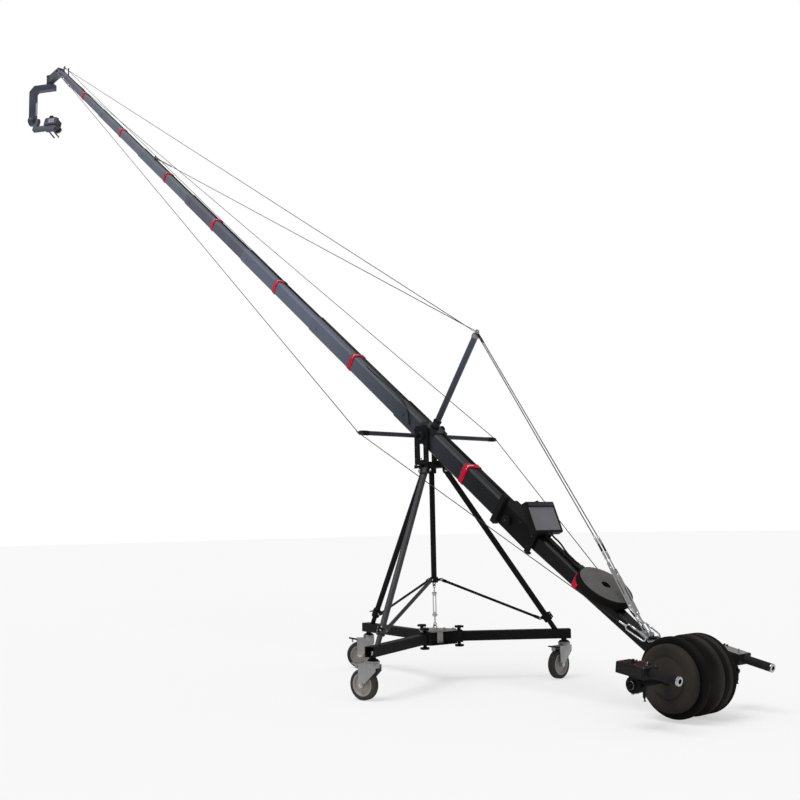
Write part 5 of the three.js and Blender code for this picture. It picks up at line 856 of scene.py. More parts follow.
@dataclass
class Studio:
    """The camera, the pale floor and the plain soft light."""

    eye: Point = (-4.315, 3.798, 0.8335)
    heading: tuple[float, float] = (0.7695, -0.6387)
    pitch: float = math.radians(6.84)
    roll: float = math.radians(-1.09)
    lens: float = 46.91
    sensor: float = 36.0
    floor_size: float = 120.0
    floor_glow: float = 0.55
    sun_strength: float = 1.6
    world_strength: float = 0.5

    def camera(self) -> Object:
        """Sets the camera at the photograph's viewpoint.

        Returns:
            The camera.
        """
        flat = Vector((*self.heading, 0)).normalized()
        look = flat * math.cos(self.pitch) + Vector((0, 0, math.sin(self.pitch)))
        right = flat.cross(Vector((0, 0, 1))).normalized()
        over = right.cross(look)
        side = right * math.cos(self.roll) + over * math.sin(self.roll)
        up = over * math.cos(self.roll) - right * math.sin(self.roll)
        data = bpy.data.cameras.new("photo_camera")
        data.lens = self.lens
        data.sensor_width = self.sensor
        data.clip_end = 200
        camera = bpy.data.objects.new("photo_camera", data)
        camera.matrix_world = Matrix.Translation(self.eye) @ Matrix((side, up, -look)).transposed().to_4x4()
        bpy.context.scene.collection.objects.link(camera)
        bpy.context.scene.camera = camera
        return camera

    def floor(self) -> Object:
        """Lays the floor, which takes shadows and looks white to the camera and in reflections.

        Returns:
            The floor.
        """
        mesh = bmesh.new()
        bmesh.ops.create_grid(mesh, x_segments=1, y_segments=1, size=self.floor_size / 2)
        data = bpy.data.meshes.new("floor")
        mesh.to_mesh(data)
        mesh.free()
        material = bpy.data.materials.new("Floor white")
        material.use_nodes = True
        tree = material.node_tree
        matte = tree.nodes["Principled BSDF"]
        fill(tree, matte, {"Base Color": (0.9, 0.9, 0.9, 1), "Roughness": 1.0, "Specular IOR Level": 0.0})
        glow = add(tree, "Emission", {"Strength": 1.0}).outputs[0]
        seen = add(tree, "LightPath", {}).outputs["Is Camera Ray"]
        share = add(tree, "Math", {0: seen, 1: self.floor_glow}, operation="MULTIPLY").outputs[0]
        mix = add(tree, "MixShader", {0: share, 1: matte.outputs[0], 2: glow})
        fill(tree, tree.nodes["Material Output"], {"Surface": mix.outputs[0]})
        data.materials.append(material)
        floor = bpy.data.objects.new("floor", data)
        bpy.context.scene.collection.objects.link(floor)
        return floor

    def light(self) -> None:
        """Adds a broad sun and an even sky that is white to the camera."""
        data = bpy.data.lights.new("broad_sun", "SUN")
        data.energy = self.sun_strength
        data.angle = math.radians(35)
        sun = bpy.data.objects.new("broad_sun", data)
        sun.rotation_euler = Vector((0.05, 0.42, 1.0)).to_track_quat("Z", "Y").to_euler()
        bpy.context.scene.collection.objects.link(sun)
        world = bpy.data.worlds.new("Even sky")
        bpy.context.scene.world = world
        world.use_nodes = True
        tree = world.node_tree
        sky = tree.nodes["Background"]
        fill(tree, sky, {"Color": (1, 1, 1, 1), "Strength": self.world_strength})
        white = add(tree, "Background", {"Color": (1, 1, 1, 1), "Strength": 1.0}).outputs[0]
        seen = add(tree, "LightPath", {}).outputs["Is Camera Ray"]
        mix = add(tree, "MixShader", {0: seen, 1: sky.outputs[0], 2: white})
        fill(tree, tree.nodes["World Output"], {"Surface": mix.outputs[0]})

    def build(self) -> None:
        """Builds the whole studio."""
        self.camera()
        self.floor()
        self.light()
        bpy.context.scene.view_settings.view_transform = "Standard"


# Dresses


@dataclass
class Dress:
    """What the dress of every sub-assembly shares."""

    workshop: Workshop

    def _make(self, shaper: Shaper, name: str, finish: Finish | Material, body: str, slot: Slot,
              smooth: float = 35.0, node: str = "") -> Object:
        """Finishes a piece and hides the CAD node that it stands for, if any.

        Args:
            shaper: the piece in the making.
            name: the piece's name.
            finish: its finish, or its material where that is made already.
            body: the CAD body that it rides on, or nothing for a piece left unattached.
            slot: its material slot.
            smooth: the angle in degrees under which faces shade as one.
            node: the CAD node that it stands for.

        Returns:
            The finished piece.
        """
        material = self.workshop.material(finish) if isinstance(finish, Finish) else finish
        piece = shaper.finish(name, material, body, slot, smooth)
        if node:
            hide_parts(node)
        return piece

    @staticmethod
    def _cord(piece: Object, points: list[Point], radius: float, stiffness: str, lay: str) -> None:
        """Takes a cord piece and does nothing with it.

        Args:
            piece: the piece; not used.
            points: its line, in the boom's axes; not used.
            radius: its radius; not used.
            stiffness: medium or stiff; not used.
            lay: loose or taut; not used.
        """

    @staticmethod
    def _caps(shaper: Shaper, profile: Profile, spots: list[tuple[float, float]], side: float,
              steps: int) -> None:
        """Adds the same turned cap at some spots on both sides.

        Args:
            shaper: the piece in the making.
            profile: the cap's profile.
            spots: the spots' X and Z.
            side: how far from the middle the caps sit.
            steps: facets round a cap.
        """
        for hand in (-1, 1):
            for x, z in spots:
                shaper.turned(profile, turned_to((0, hand, 0), (x, hand * side, z)), steps)

    @staticmethod
    def _bolt(shaper: Shaper, at: Matrix, radius: float, height: float = 0.005) -> None:
        """Adds a hexagon bolt head on its washer.

        Args:
            shaper: the piece in the making.
            at: its place, with Z out of the surface.
            radius: the hexagon's radius.
            height: the head's height above the washer.
        """
        shaper.turned(disc(radius * 1.35, -0.0004, 0.001), at, 20)
        shaper.plate(hexagon(radius), 0.001, 0.001 + height, 0.0006, at)
        shaper.turned(dome(radius * 0.5, height, radius * 0.42, height + 0.0026, height + 0.0026), at, 14)


# Ropes and cables


@dataclass
class MonitorCables(Dress):
    """The two ribbed cables from under the monitor to the boot on the beam."""

    radius: float = 0.0045
    steps: int = 5
    routes: tuple[tuple[Point, ...], ...] = (
        ((-0.9991, -0.022, 0.0761), (-1.01, -0.022, 0.07), (-1.03, -0.022, 0.068), (-1.056, -0.022, 0.069),
         (-1.085, -0.023, 0.065), (-1.112, -0.024, 0.058), (-1.14, -0.024, 0.0536), (-1.17, -0.024, 0.0534),
         (-1.216, -0.024, 0.0534)),
        ((-0.9914, 0.006, 0.0632), (-1.0017, 0.006, 0.0576), (-1.02, 0.006, 0.0556), (-1.045, 0.006, 0.055),
         (-1.07, 0.005, 0.054), (-1.1, 0.004, 0.0536), (-1.17, 0.002, 0.0534), (-1.216, 0.002, 0.0534)),
    )

    def _smooth(self, route: tuple[Point, ...]) -> list[Point]:
        """Rounds a route with a Catmull-Rom line.

        Args:
            route: its points.

        Returns:
            The finer route.
        """
        spots = [Vector(route[0]), *map(Vector, route), Vector(route[-1])]
        fine: list[Point] = []
        for a, b, c, d in zip(spots, spots[1:], spots[2:], spots[3:]):
            for step in range(self.steps):
                t = step / self.steps
                fine.append(tuple(0.5 * ((2 * b) + (c - a) * t + (2 * a - 5 * b + 4 * c - d) * t * t
                                         + (3 * b - a - 3 * c + d) * t ** 3)))
        return [*fine, route[-1]]

    def build(self) -> None:
        place = LAYOUT.boom()
        ribbed = self.workshop.ribbed(CABLE, 22.0, "Y")
        for index, route in enumerate(self.routes):
            fine = self._smooth(route)
            shaper = Shaper(place).tube(fine, self.radius, 16, 20.0)
            cable = self._make(shaper, f"monitor_cable_{index + 1}", ribbed, "", Slot.CABLE_RUBBER, 60,
                               "monitor_cables")
            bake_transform(cable)
            self._cord(cable, fine, self.radius, "medium", "loose")
        boot = Shaper(place)
        boot.slab((-1.264, -0.033, 0.0497), (-1.232, 0.011, 0.0627), 0.003, 4)
        for y in (-0.024, 0.002):
            boot.rod((-1.232, y, 0.0545), (-1.206, y, 0.0545), 0.0068, 20, 0.0, 0.0052)
        self._make(boot, "monitor_cable_boot", CABLE, "boom", Slot.CABLE_RUBBER, node="monitor_cables")


@dataclass
class Rigging(Dress):
    """The two side stays, the two rear stays, the three front lines and their fittings."""

    rope: float = 0.0023
    rear_rope: float = 0.0029
    swage: float = 0.0045
    mast_eye: float = 0.652
    front_eye: tuple[float, float] = (4.25, 0.05)
    tip_eye: tuple[float, float] = (6.76, 0.07)
    eye_side: float = 0.0061
    front_side: float = 0.0098

    def _rope(self, name: str, points: list[Point]) -> None:
        """Args:
            name: the piece's name.
            points: its line, in the boom's axes.
        """
        finish = FITTING_STEEL if name.startswith("rear_stay") else DARK_STEEL
        material = self.workshop.ribbed(finish, 6.0, "DIAGONAL")
        node = name if name.startswith("side_stay") else "mast_stays"
        radius = self.rear_rope if name.startswith("rear_stay") else self.rope
        rope = Shaper(LAYOUT.boom()).tube(points, radius, 8, 60.0)
        piece = self._make(rope, f"{name}_rope", material, "boom", Slot.BRIGHT_STEEL, 60, node)
        self._cord(piece, points, radius, "stiff", "taut")

    def _link(self, shaper: Shaper, start: Point, end: Point, width: float, wire: float) -> None:
        """Adds a long link of round wire between two points.

        Args:
            shaper: the piece in the making.
            start: the middle of one end.
            end: the middle of the other.
            width: its outer width.
            wire: the wire's radius.
        """
        way = Vector(end) - Vector(start)
        half = width / 2 - wire
        at = Matrix.Translation(start) @ aimed(way, "X", "Z")
        arc = [(half + wire - half * math.sin(a), half * math.cos(a))
               for a in [TURN / 2 * i / 10 for i in range(11)]]
        near = [(x, 0.0, z) for x, z in arc]
        far = [(way.length - x, 0.0, -z) for x, z in arc]
        loop = [at @ Vector(p) for p in [*near, *far, near[0]]]
        shaper.tube(loop, wire, 10)

    def _turnbuckle(self, shaper: Shaper, top: Point, foot: Point, width: float, bar: float) -> None:
        """Adds an open turnbuckle frame.

        Args:
            shaper: the piece in the making.
            top: the middle of its upper end.
            foot: the middle of its lower end.
            width: across its two bars.
            bar: a bar's radius.
        """
        way = Vector(top) - Vector(foot)
        at = Matrix.Translation(foot) @ aimed(way)
        length = way.length
        for hand in (-1, 1):
            side = hand * (width - bar) / 2
            line = [(side * 0.55, 0, 0.004), (side, 0, 0.018), (side, 0, length - 0.018),
                    (side * 0.55, 0, length - 0.004)]
            shaper.tube([at @ Vector(p) for p in line], bar * 0.92, 10)
        for low in (0.0, length - 0.014):
            shaper.turned([(0, low), (bar * 1.7, low), (bar * 2.0, low + 0.003), (bar * 2.0, low + 0.011),
                           (bar * 1.7, low + 0.014), (0, low + 0.014)], at, 20)
        for low, high in ((0.01, length * 0.34), (length * 0.68, length - 0.01)):
            shaper.rod(at @ Vector((0, 0, low)), at @ Vector((0, 0, high)), bar * 0.72, 12)

    def _side(self, hand: int) -> None:
        """Strings one side stay, from the nose over the side arm to the tail.

        Args:
            hand: 1 on the left, -1 on the right.
        """
        name = "side_stay_left" if hand > 0 else "side_stay_right"
        tip = (LAYOUT.tip_front, hand * 0.0363, 0.0)
        arm = (0.0, hand * (0.5 + 0.0003 + 0.0016 + 0.0022), 0.0)
        rear = (-1.6, hand * 0.062, 0.038)
        clip_end = (-1.749, hand * 0.0485, 0.058)
        self._rope(name, [tip, arm, rear])
        fitting = Shaper(LAYOUT.boom())
        self._link(fitting, along(tip, arm, 0.12), along(tip, arm, 0.225), 0.022, 0.0034)
        self._turnbuckle(fitting, along(tip, arm, 0.215), along(tip, arm, 0.43), 0.026, 0.0048)
        self._link(fitting, along(tip, arm, 0.42), along(tip, arm, 0.49), 0.02, 0.003)
        swages = ((along(tip, arm, 0.48), along(tip, arm, 0.54)), (rear, along(rear, clip_end, 0.042)))
        for start, end in swages:
            way = Vector(end) - Vector(start)
            at = turned_to(way, start)
            reach = way.length
            fitting.turned([(0, 0), (self.swage, 0), (self.swage, reach * 0.8), (0.0024, reach), (0, reach)],
                           at, 20)
        clip_start = along(rear, clip_end, 0.034)
        self._link(fitting, clip_start, clip_end, 0.034, 0.0038)
        gate = [Vector(along(clip_start, clip_end, step)) + Vector((0, 0, 0.013)) for step in (0.03, 0.055)]
        fitting.rod(*gate, 0.0052, 16, 0.0008)
        self._make(fitting, f"{name}_fittings", CHROME, "boom", Slot.BRIGHT_STEEL, node=name)
        cover = Shaper(LAYOUT.boom())
        cover.rod(along(rear, arm, 0.02), along(rear, arm, 0.06), 0.0042, 16, 0.0006)
        cover.rod(along(arm, rear, 0.012), along(arm, rear, -0.012), 0.0036, 12, 0.0005)
        self._make(cover, f"{name}_sleeves", CABLE, "boom", Slot.CABLE_RUBBER)

    def _rear(self, hand: int) -> None:
        """Strings one rear stay, with its clamp, turnbuckle and hook.

        Args:
            hand: 1 on the left, -1 on the right.
        """
        side = hand * 0.0125
        shift = 0.0 if hand > 0 else -0.034
        rise = 0.41 * shift
        top = (shift - 1.399, side, 0.178 + rise)
        foot = (shift - 1.59, side, 0.1 + rise)
        lead = (-1.289, side, 0.222)
        ring = (-1.722, side, 0.0605)
        eye = (0.0, hand * self.eye_side, self.mast_eye)
        name = "rear_stay_left" if hand > 0 else "rear_stay_right"
        self._rope(name, [eye, lead])
        metal = Shaper(LAYOUT.boom())
        self._turnbuckle(metal, top, foot, 0.022, 0.004)
        metal.rod(along(top, foot, 0.007), along(lead, top, 0.004), 0.0032, 12)
        metal.rod(along(foot, top, 0.007), along(foot, ring, 0.045), 0.0032, 12)
        hook_from = along(foot, ring, 0.038)
        self._link(metal, hook_from, ring, 0.02, 0.0024)
        metal.rod(along(lead, eye, 0.004), along(lead, eye, 0.044), 0.0056, 20, 0.0012)
        metal.rod(along(lead, top, 0.036), along(lead, top, 0.074), 0.0056, 20, 0.0012)
        self._link(metal, along(top, lead, 0.03), along(top, lead, -0.006), 0.017, 0.0026)
        self._make(metal, f"{name}_fittings", CHROME, "boom", Slot.BRIGHT_STEEL, node="mast_stays")
        cover = Shaper(LAYOUT.boom())
        cover.rod(along(lead, eye, 0.006), along(lead, top, 0.038), 0.005, 16, 0.0008)
        cover.rod(along(eye, lead, 0.012), along(eye, lead, 0.075), 0.0036, 14, 0.0005)
        self._make(cover, f"{name}_sleeves", CABLE, "boom", Slot.CABLE_RUBBER)

    def _front(self) -> None:
        """Strings the three front lines and their end fittings."""
        mast = [(0.0, hand * self.front_side, self.mast_eye) for hand in (1, -1)]
        mid = (self.front_eye[0], -self.front_side, self.front_eye[1])
        tips = [(self.tip_eye[0], hand * self.front_side, self.tip_eye[1]) for hand in (1, -1)]
        saddle = (0.064, 0.021, 0.0663)
        lines = {"front_stay_near": (mast[1], mid), "front_stay_far": (mast[0], tips[0]),
                 "top_line": (saddle, tips[1])}
        metal = Shaper(LAYOUT.boom())
        for name, (start, end) in lines.items():
            self._rope(name, [start, end])
            ends = ((start, end), (end, start))
            for one, other in ends[1:] if name == "top_line" else ends:
                at = turned_to(Vector(other) - Vector(one), one)
                metal.turned([(0, 0.004), (0.0034, 0.004), (0.0034, 0.04), (0.002, 0.05), (0, 0.05)], at, 16)
        self._turnbuckle(metal, along(mid, mast[1], 0.29), along(mid, mast[1], 0.07), 0.02, 0.004)
        self._link(metal, along(mid, mast[1], 0.012), along(mid, mast[1], 0.076), 0.017, 0.0024)
        for x, z in ((0.0, self.mast_eye), self.front_eye, self.tip_eye):
            metal.rod((x, -self.front_side - 0.004, z), (x, self.front_side + 0.004, z), 0.0031, 16, 0.0006)
        self._make(metal, "front_stay_fittings", CHROME, "boom", Slot.BRIGHT_STEEL, node="mast_stays")

    def build(self) -> None:
        """Builds every stay."""
        for hand in (1, -1):
            self._side(hand)
            self._rear(hand)
        self._front()


# Sub-assemblies


@dataclass
class CarriedNodes(Dress):
    """The CAD nodes that keep their shape and get their finish here."""

    def finishes(self) -> dict[str, Finish]:
        """Lists the finish of every carried node.

        Returns:
            The finish by node name.
        """
        groups = {
            FRAME_PAINT: ("dolly_hub", "tripod_crown", "centre_column", "yoke", "weight_bar",
                          "monitor_bracket"),
            CHROME: ("base_turnbuckle", "toggle_left", "toggle_right"), BOOM_PAINT: ("rear_section",),
            BLACK_MOULDED: ("pan_lock_knob", "monitor_shell", "control_box_left", "control_box_right",
                            "clamp_lever_left", "clamp_lever_right", "speed_knob"),
            PLATE_RUBBER: ("weights_left", "weights_right", "top_weight"), ARM_PAINT: ("side_arms",),
            FOAM: ("grip_left", "grip_right"), HEAD_PAINT: ("level_arm", "head_pan_arm", "tilt_cradle"),
            CAMERA_SHELL: ("camera_body", "camera_lens"), SCREEN: ("monitor_screen",),
            RED_CAP: ("record_button",),
            DARK_STEEL: ("side_stay_left", "side_stay_right", "mast_stays"), CABLE: ("monitor_cables",),
            boom_paint(0): ("pivot_section",), mast_paint_and_reflection(): ("mast",),
        }
        chosen = {name: finish for finish, names in groups.items() for name in names}
        for index, name in enumerate(LAYOUT.arm_names):
            chosen[f"dolly_arm_{name}"] = FRAME_PAINT
            for part in ("tripod_leg", "spreader_rod"):
                chosen[f"{part}_{name}"] = LEG_GREY if index == NEAR_ARM else FRAME_PAINT
            chosen[f"wheel_{name}"] = TYRE
            for part in ("caster_fork", "brake_pedal"):
                chosen[f"{part}_{name}"] = ZINC_PLATE
        for index in range(1, 7):
            chosen[f"boom_section_{index}"] = boom_paint(index)
        return chosen

    def build(self) -> None:
        """Dresses every node of the frame."""
        chosen = self.finishes()
        for name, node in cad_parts.items():
            material = self.workshop.material(chosen[name])
            if not node.material_slots:
                node.data.materials.append(material)
            for slot in node.material_slots:
                slot.material = material
            LOG.info("dressed %s", name)


@dataclass
class DollyDress(Dress):
    """The dolly's plates, bolts, knobs and nuts, with the tripod's clamps, bolts, bands and sleeve."""

    cover: float = 0.0012
    plate: float = 0.0046
    plate_corner: float = 0.265
    plate_reach: float = 0.1195
    bolt: float = 0.0065
    knob: float = 0.025
    knob_reach: float = 0.129

    def _hub(self) -> None:
        """Covers the hub with its two plates, and adds its bolts, lifting ring and knobs."""
        outline: Profile = []
        for index in range(3):
            angle = LAYOUT.arm_angle + index * TURN / 3
            for corner in (angle - self.plate_corner, angle + self.plate_corner):
                outline.append((self.plate_reach * math.cos(corner), self.plate_reach * math.sin(corner)))
        top = Shaper().plate(outline, LAYOUT.hub_top - self.plate, LAYOUT.hub_top + self.cover, 0.0009)
        self._make(top, "hub_plate_cover", HUB_SILVER, "dolly", Slot.BRIGHT_STEEL)
        under = Shaper().plate(outline, LAYOUT.hub_bottom - self.cover, LAYOUT.hub_bottom + self.plate,
                               0.0009)
        low, high = LAYOUT.hub_bottom + self.plate, LAYOUT.hub_top - self.plate
        gaps = [Matrix.Rotation(LAYOUT.arm_angle + (index + 0.5) * TURN / 3, 4, "Z") for index in range(3)]
        for gap in gaps:
            under.slab((0.034, -0.015, low), (0.0435, 0.015, high), 0.0006, 1, gap)
        self._make(under, "hub_under_cover", FRAME_PAINT, "dolly", Slot.BLACK_PAINT)
        bare = Shaper(gaps[1]).slab((0.042, -0.0225, low + 0.001), (0.0455, 0.0225, high - 0.001), 0.0006, 1)
        self._make(bare, "hub_bare_patch", BARE_PATCH, "dolly", Slot.BRIGHT_STEEL)
        bolts = Shaper()
        for index in range(3):
            for reach, side in ((0.098, 0.0), (0.052, 0.028), (0.052, -0.028)):
                spot = LAYOUT.arm(index) @ Vector((reach, side, LAYOUT.hub_top + self.cover))
                self._bolt(bolts, Matrix.Translation(spot), self.bolt)
        bolts.ring(0.013, 0.0034, placed(0, 0, LAYOUT.hub_top + 0.013) @ ON_SIDE)
        bolts.turned([(0, 0), (0.011, 0), (0.011, 0.002), (0.006, 0.006), (0, 0.006)],
                     placed(0, 0, LAYOUT.hub_top + self.cover), 24)
        self._make(bolts, "hub_bolts_and_eye", CHROME, "dolly", Slot.BRIGHT_STEEL)
        knobs = Shaper()
        for index in range(3):
            for hand in (1, -1):
                base = 0.2638 if hand > 0 else 0.2022
                self._knob(knobs, LAYOUT.arm(index) @ turned_over(hand, (self.knob_reach, 0, base)))
        self._make(knobs, "hub_knobs", BLACK_MOULDED, "dolly", Slot.BLACK_PLASTIC)

    def _knob(self, shaper: Shaper, at: Matrix) -> None:
        """Adds a five lobed clamp knob over the plain one.

        Args:
            shaper: the piece in the making.
            at: its place, with Z out of the socket.
        """
        outline: Profile = []
        for step in range(60):
            angle = TURN * step / 60
            lobe = 0.5 + 0.5 * math.cos(5 * angle)
            radius = 0.0205 + (self.knob + 0.0006 - 0.0205) * lobe ** 0.6
            outline.append((radius * math.cos(angle), radius * math.sin(angle)))
        shaper.plate(outline, 0.0136, 0.0246, 0.002, at)
        shaper.turned(disc(0.0098, 0.0, 0.0138), at, 24)
        shaper.turned(dome(0.0082, 0.0244, 0.0074, 0.0262, 0.0262), at, 24)

    def _arms(self) -> None:
        """Adds the stem nuts in the open arm ends."""
        nuts = Shaper()
        for index in range(3):
            arm = LAYOUT.arm(index)
            nut = arm @ placed(LAYOUT.swivel_reach, 0, 0.211)
            nuts.plate(hexagon(0.016), 0, 0.013, 0.0012, nut)
            nuts.turned([(0, 0.012), (0.0104, 0.012), (0.0104, 0.0228), (0.009, 0.024), (0, 0.024)], nut, 24)
        self._make(nuts, "dolly_nuts", CHROME, "dolly", Slot.BRIGHT_STEEL)

    def _leg_point(self, height: float) -> Point:
        """Gives the point on a leg's line at a height, in its arm's axes."""
        run = (0.652 - 0.078) / (1.128 - 0.258)
        return (0.078 + (1.128 - height) * run, 0.0, height)

    def _legs(self) -> None:
        """Adds the collars' clamps, the hinge bolts, the legs' bands, painted shade for the near leg's holes
        and the near rod's sleeve.
        """
        dark = Shaper()
        bright = Shaper()
        bands = Shaper()
        for index in range(3):
            arm = LAYOUT.arm(index)
            low, high = self._leg_point(0.305), self._leg_point(0.337)
            way = (Vector(high) - Vector(low)).normalized()
            out = Vector((way.z, 0, -way.x))
            for step in (0.01, 0.028):
                spot = Vector(low) + way * step + out * 0.0235
                ends = [arm @ (spot + Vector((0, side, 0))) for side in (-0.011, 0.011)]
                bright.rod(*ends, 0.0034, 12, 0.0005)
            spot = Vector(low) + way * 0.019 + out * 0.0235
            dark.slab((-0.004, -0.008, -0.018), (0.005, 0.008, 0.018), 0.0012, 2,
                      arm @ Matrix.Translation(spot) @ aimed(way))
            handle = [arm @ (spot + Vector(step)) for step in ((0, 0.008, 0), (0.004, 0.03, -0.004))]
            dark.rod(*handle, 0.0036, 12, 0.0008)
            pin = arm @ Vector((0.078, 0, 1.128))
            side = (arm.to_3x3() @ Vector((0, 1, 0))).normalized()
            for hand in (-1, 1):
                self._bolt(bright, turned_to(side * hand, pin + side * hand * 0.0288), 0.0074, 0.0045)
            band = [arm @ Vector(self._leg_point(height)) for height in (1.098, 1.106)]
            bands.rod(*band, 0.0168, 32, 0.0006)
            # Painted shade: thin near-black discs on both sides of the near leg stand for the dark inside of
            # its holes.
            if index == NEAR_ARM:
                for height in (0.42, 0.5, 0.58, 0.66, 0.74, 0.82, 0.9, 0.98):
                    spot = Vector(self._leg_point(height))
                    for hand in (-1, 1):
                        at = arm @ turned_to((0, hand, 0), spot + Vector((0, hand * 0.0159, 0)))
                        bands.turned(disc(0.003, 0, 0.0003), at, 14)
            for hinge in ((0.039, 0, 0.535), (0.571, 0, 0.317)):
                for hand in (1, -1):
                    spot = turned_to((0, hand, 0), (0, hand * 0.0075, 0))
                    self._bolt(bright, arm @ Matrix.Translation(hinge) @ spot, 0.0045, 0.003)
        near = [LAYOUT.arm(NEAR_ARM) @ Vector(end) for end in ((0.052, 0, 0.5282), (0.556, 0, 0.323))]
        wide = Shaper().rod(*near, 0.0098, 28, 0.001)
        self._make(wide, "near_spreader_sleeve", LEG_GREY, "dolly", Slot.BLACK_PAINT)
        self._make(bright, "tripod_bolts", CHROME, "dolly", Slot.BRIGHT_STEEL)
        self._make(dark, "collar_clamps", BLACK_MOULDED, "dolly", Slot.BLACK_PLASTIC)
        self._make(bands, "leg_hole_shade_and_bands", NEAR_BLACK_AND_HOLE_SHADE, "dolly", Slot.BLACK_PAINT)

    def _turnbuckle(self) -> None:
        """Adds the base turnbuckle's end rings and the nuts of its hook screws."""
        metal = Shaper()
        for low, high in ((0.3395, 0.3535), (0.4575, 0.4695)):
            metal.turned([(0, low), (0.0118, low), (0.0138, low + 0.003), (0.0138, high - 0.003),
                          (0.0118, high), (0, high)], None, 28)
        for low in (0.3555, 0.448):
            metal.plate(hexagon(0.0085), low, low + 0.007, 0.0008)
        self._make(metal, "base_turnbuckle_nuts", CHROME, "dolly", Slot.BRIGHT_STEEL)

    def build(self) -> None:
        """Builds all of the dolly's dress."""
        self._hub()
        self._arms()
        self._legs()
        self._turnbuckle()


@dataclass
class CasterDress(Dress):
    """One caster's race, crown ring, axle bolts, ringed wheel, pedal tread and spring."""

    index: int
    wheel: float = 0.075
    trail: float = 0.055
    axle_side: float = 0.027

    @property
    def name(self) -> str:
        """Gives the name of the arm that the caster is under."""
        return LAYOUT.arm_names[self.index]

    def _race(self) -> None:
        """Adds the domed race disc and the fork's crown ring under it."""
        at = LAYOUT.caster(self.index)
        race = Shaper(at)
        race.turned([(0, 0.1816), (0.033, 0.1816), (0.0336, 0.1826), (0.0336, 0.1862), (0.0326, 0.1878),
                     (0.027, 0.1892), (0, 0.1892)], None, 56)
        self._make(race, f"caster_race_{self.name}", ZINC_PLATE, "dolly", Slot.BRIGHT_STEEL)
        crown = Shaper(at)
        crown.turned([(0.0112, 0.155), (0.0312, 0.155), (0.0322, 0.157), (0.0322, 0.1785), (0.0308, 0.1801),
                      (0.0112, 0.1801), (0.0112, 0.155)], None, 56)
        self._make(crown, f"caster_crown_{self.name}", ZINC_PLATE, f"caster_{self.name}", Slot.ZINC)

    def _axle(self) -> None:
        """Adds the axle's hexagon bolts and washers."""
        at = LAYOUT.caster(self.index)
        metal = Shaper(at)
        axle = [(self.trail, self.wheel)]
        self._caps(metal, disc(0.0142, 0, 0.0018), axle, self.axle_side, 28)
        self._caps(metal, dome(0.0058, 0.006, 0.005, 0.0096, 0.0096), axle, self.axle_side, 18)
        for hand in (-1, 1):
            spot = turned_to((0, hand, 0), (self.trail, hand * self.axle_side, self.wheel))
            metal.plate(hexagon(0.0118), 0.0018, 0.0068, 0.001, spot)
        self._make(metal, f"caster_axle_{self.name}", CHROME, f"caster_{self.name}", Slot.BRIGHT_STEEL)

    def _wheel(self) -> None:
        """Replaces the plain wheel by a ribbed tyre on a ringed hub."""
        place = LAYOUT.caster(self.index) @ placed(self.trail, 0, self.wheel) @ ON_SIDE
        half: Profile = [(0.056, 0.0176), (0.06, 0.0188), (0.068, 0.019), (0.0718, 0.0176), (0.0738, 0.015)]
        tread: Profile = []
        for rib in range(5):
            middle = 0.0112 - rib * 0.0056
            tread += [(0.075, middle + 0.002), (0.075, middle - 0.002), (0.0736, middle - 0.0024),
                      (0.0736, middle - 0.0032)]
        other = [(radius, -height) for radius, height in reversed(half)]
        outline = [*half, *tread[:-2], *other, (0.055, 0.0), half[0]]
        tyre = Shaper(place).turned(outline, None, 72)
        body = f"wheel_{self.name}"
        self._make(tyre, f"tyre_{self.name}", TYRE, body, Slot.WHEEL_RUBBER, 25, node=body)
        side: Profile = [(0.0068, 0.021), (0.0145, 0.021), (0.0152, 0.02), (0.0152, 0.012), (0.02, 0.0098),
                         (0.03, 0.0092), (0.032, 0.0106), (0.035, 0.0106), (0.0366, 0.0092), (0.044, 0.0096),
                         (0.047, 0.015), (0.05, 0.018), (0.0552, 0.0186), (0.0566, 0.0172)]
        far = [(radius, -height) for radius, height in reversed(side)]
        hub = Shaper(place).turned([*side, *far, side[0]], None, 72)
        self._make(hub, f"wheel_hub_{self.name}", WHEEL_HUB, body, Slot.WHEEL_RUBBER, 25, node=body)
        seal = Shaper(place)
        for hand in (-1, 1):
            seal.turned(sleeve(0.0069, 0.0118, 0.0209, 0.0218), turned_over(hand), 36)
        self._make(seal, f"wheel_seals_{self.name}", CHROME, body, Slot.BRIGHT_STEEL)

    def _pedal(self) -> None:
        """Adds the pedal's tread and lip and, on its pin, the spring."""
        at = LAYOUT.caster(self.index) @ placed(0.066, 0, 0.16)
        rise = Matrix.Rotation(-math.radians(12), 4, "Y")
        tread = Shaper(at)
        tread.slab((0.004, -0.0208, -0.0006), (0.0532, 0.0208, 0.0056), 0.0008, 2, rise)
        for step in range(6):
            x = 0.012 + step * 0.0066
            tread.slab((x, -0.0165, 0.0054), (x + 0.003, 0.0165, 0.0066), 0.0005, 1, rise)
        finish = BLACK_MOULDED if self.name != "left" else ZINC_PLATE
        self._make(tread, f"pedal_tread_{self.name}", finish, f"pedal_{self.name}", Slot.BLACK_PLASTIC)
        spring = Shaper(at)
        turns = [(math.cos(a) * 0.0068, -0.016 + 0.032 * a / (TURN * 6), math.sin(a) * 0.0068)
                 for a in [TURN * 6 * i / 96 for i in range(97)]]
        spring.tube(turns, 0.0011, 8)
        self._make(spring, f"pedal_spring_{self.name}", BRONZE, f"pedal_{self.name}", Slot.BRIGHT_STEEL)

    def build(self) -> None:
        """Builds the caster's dress."""
        self._race()
        self._axle()
        self._wheel()
        self._pedal()


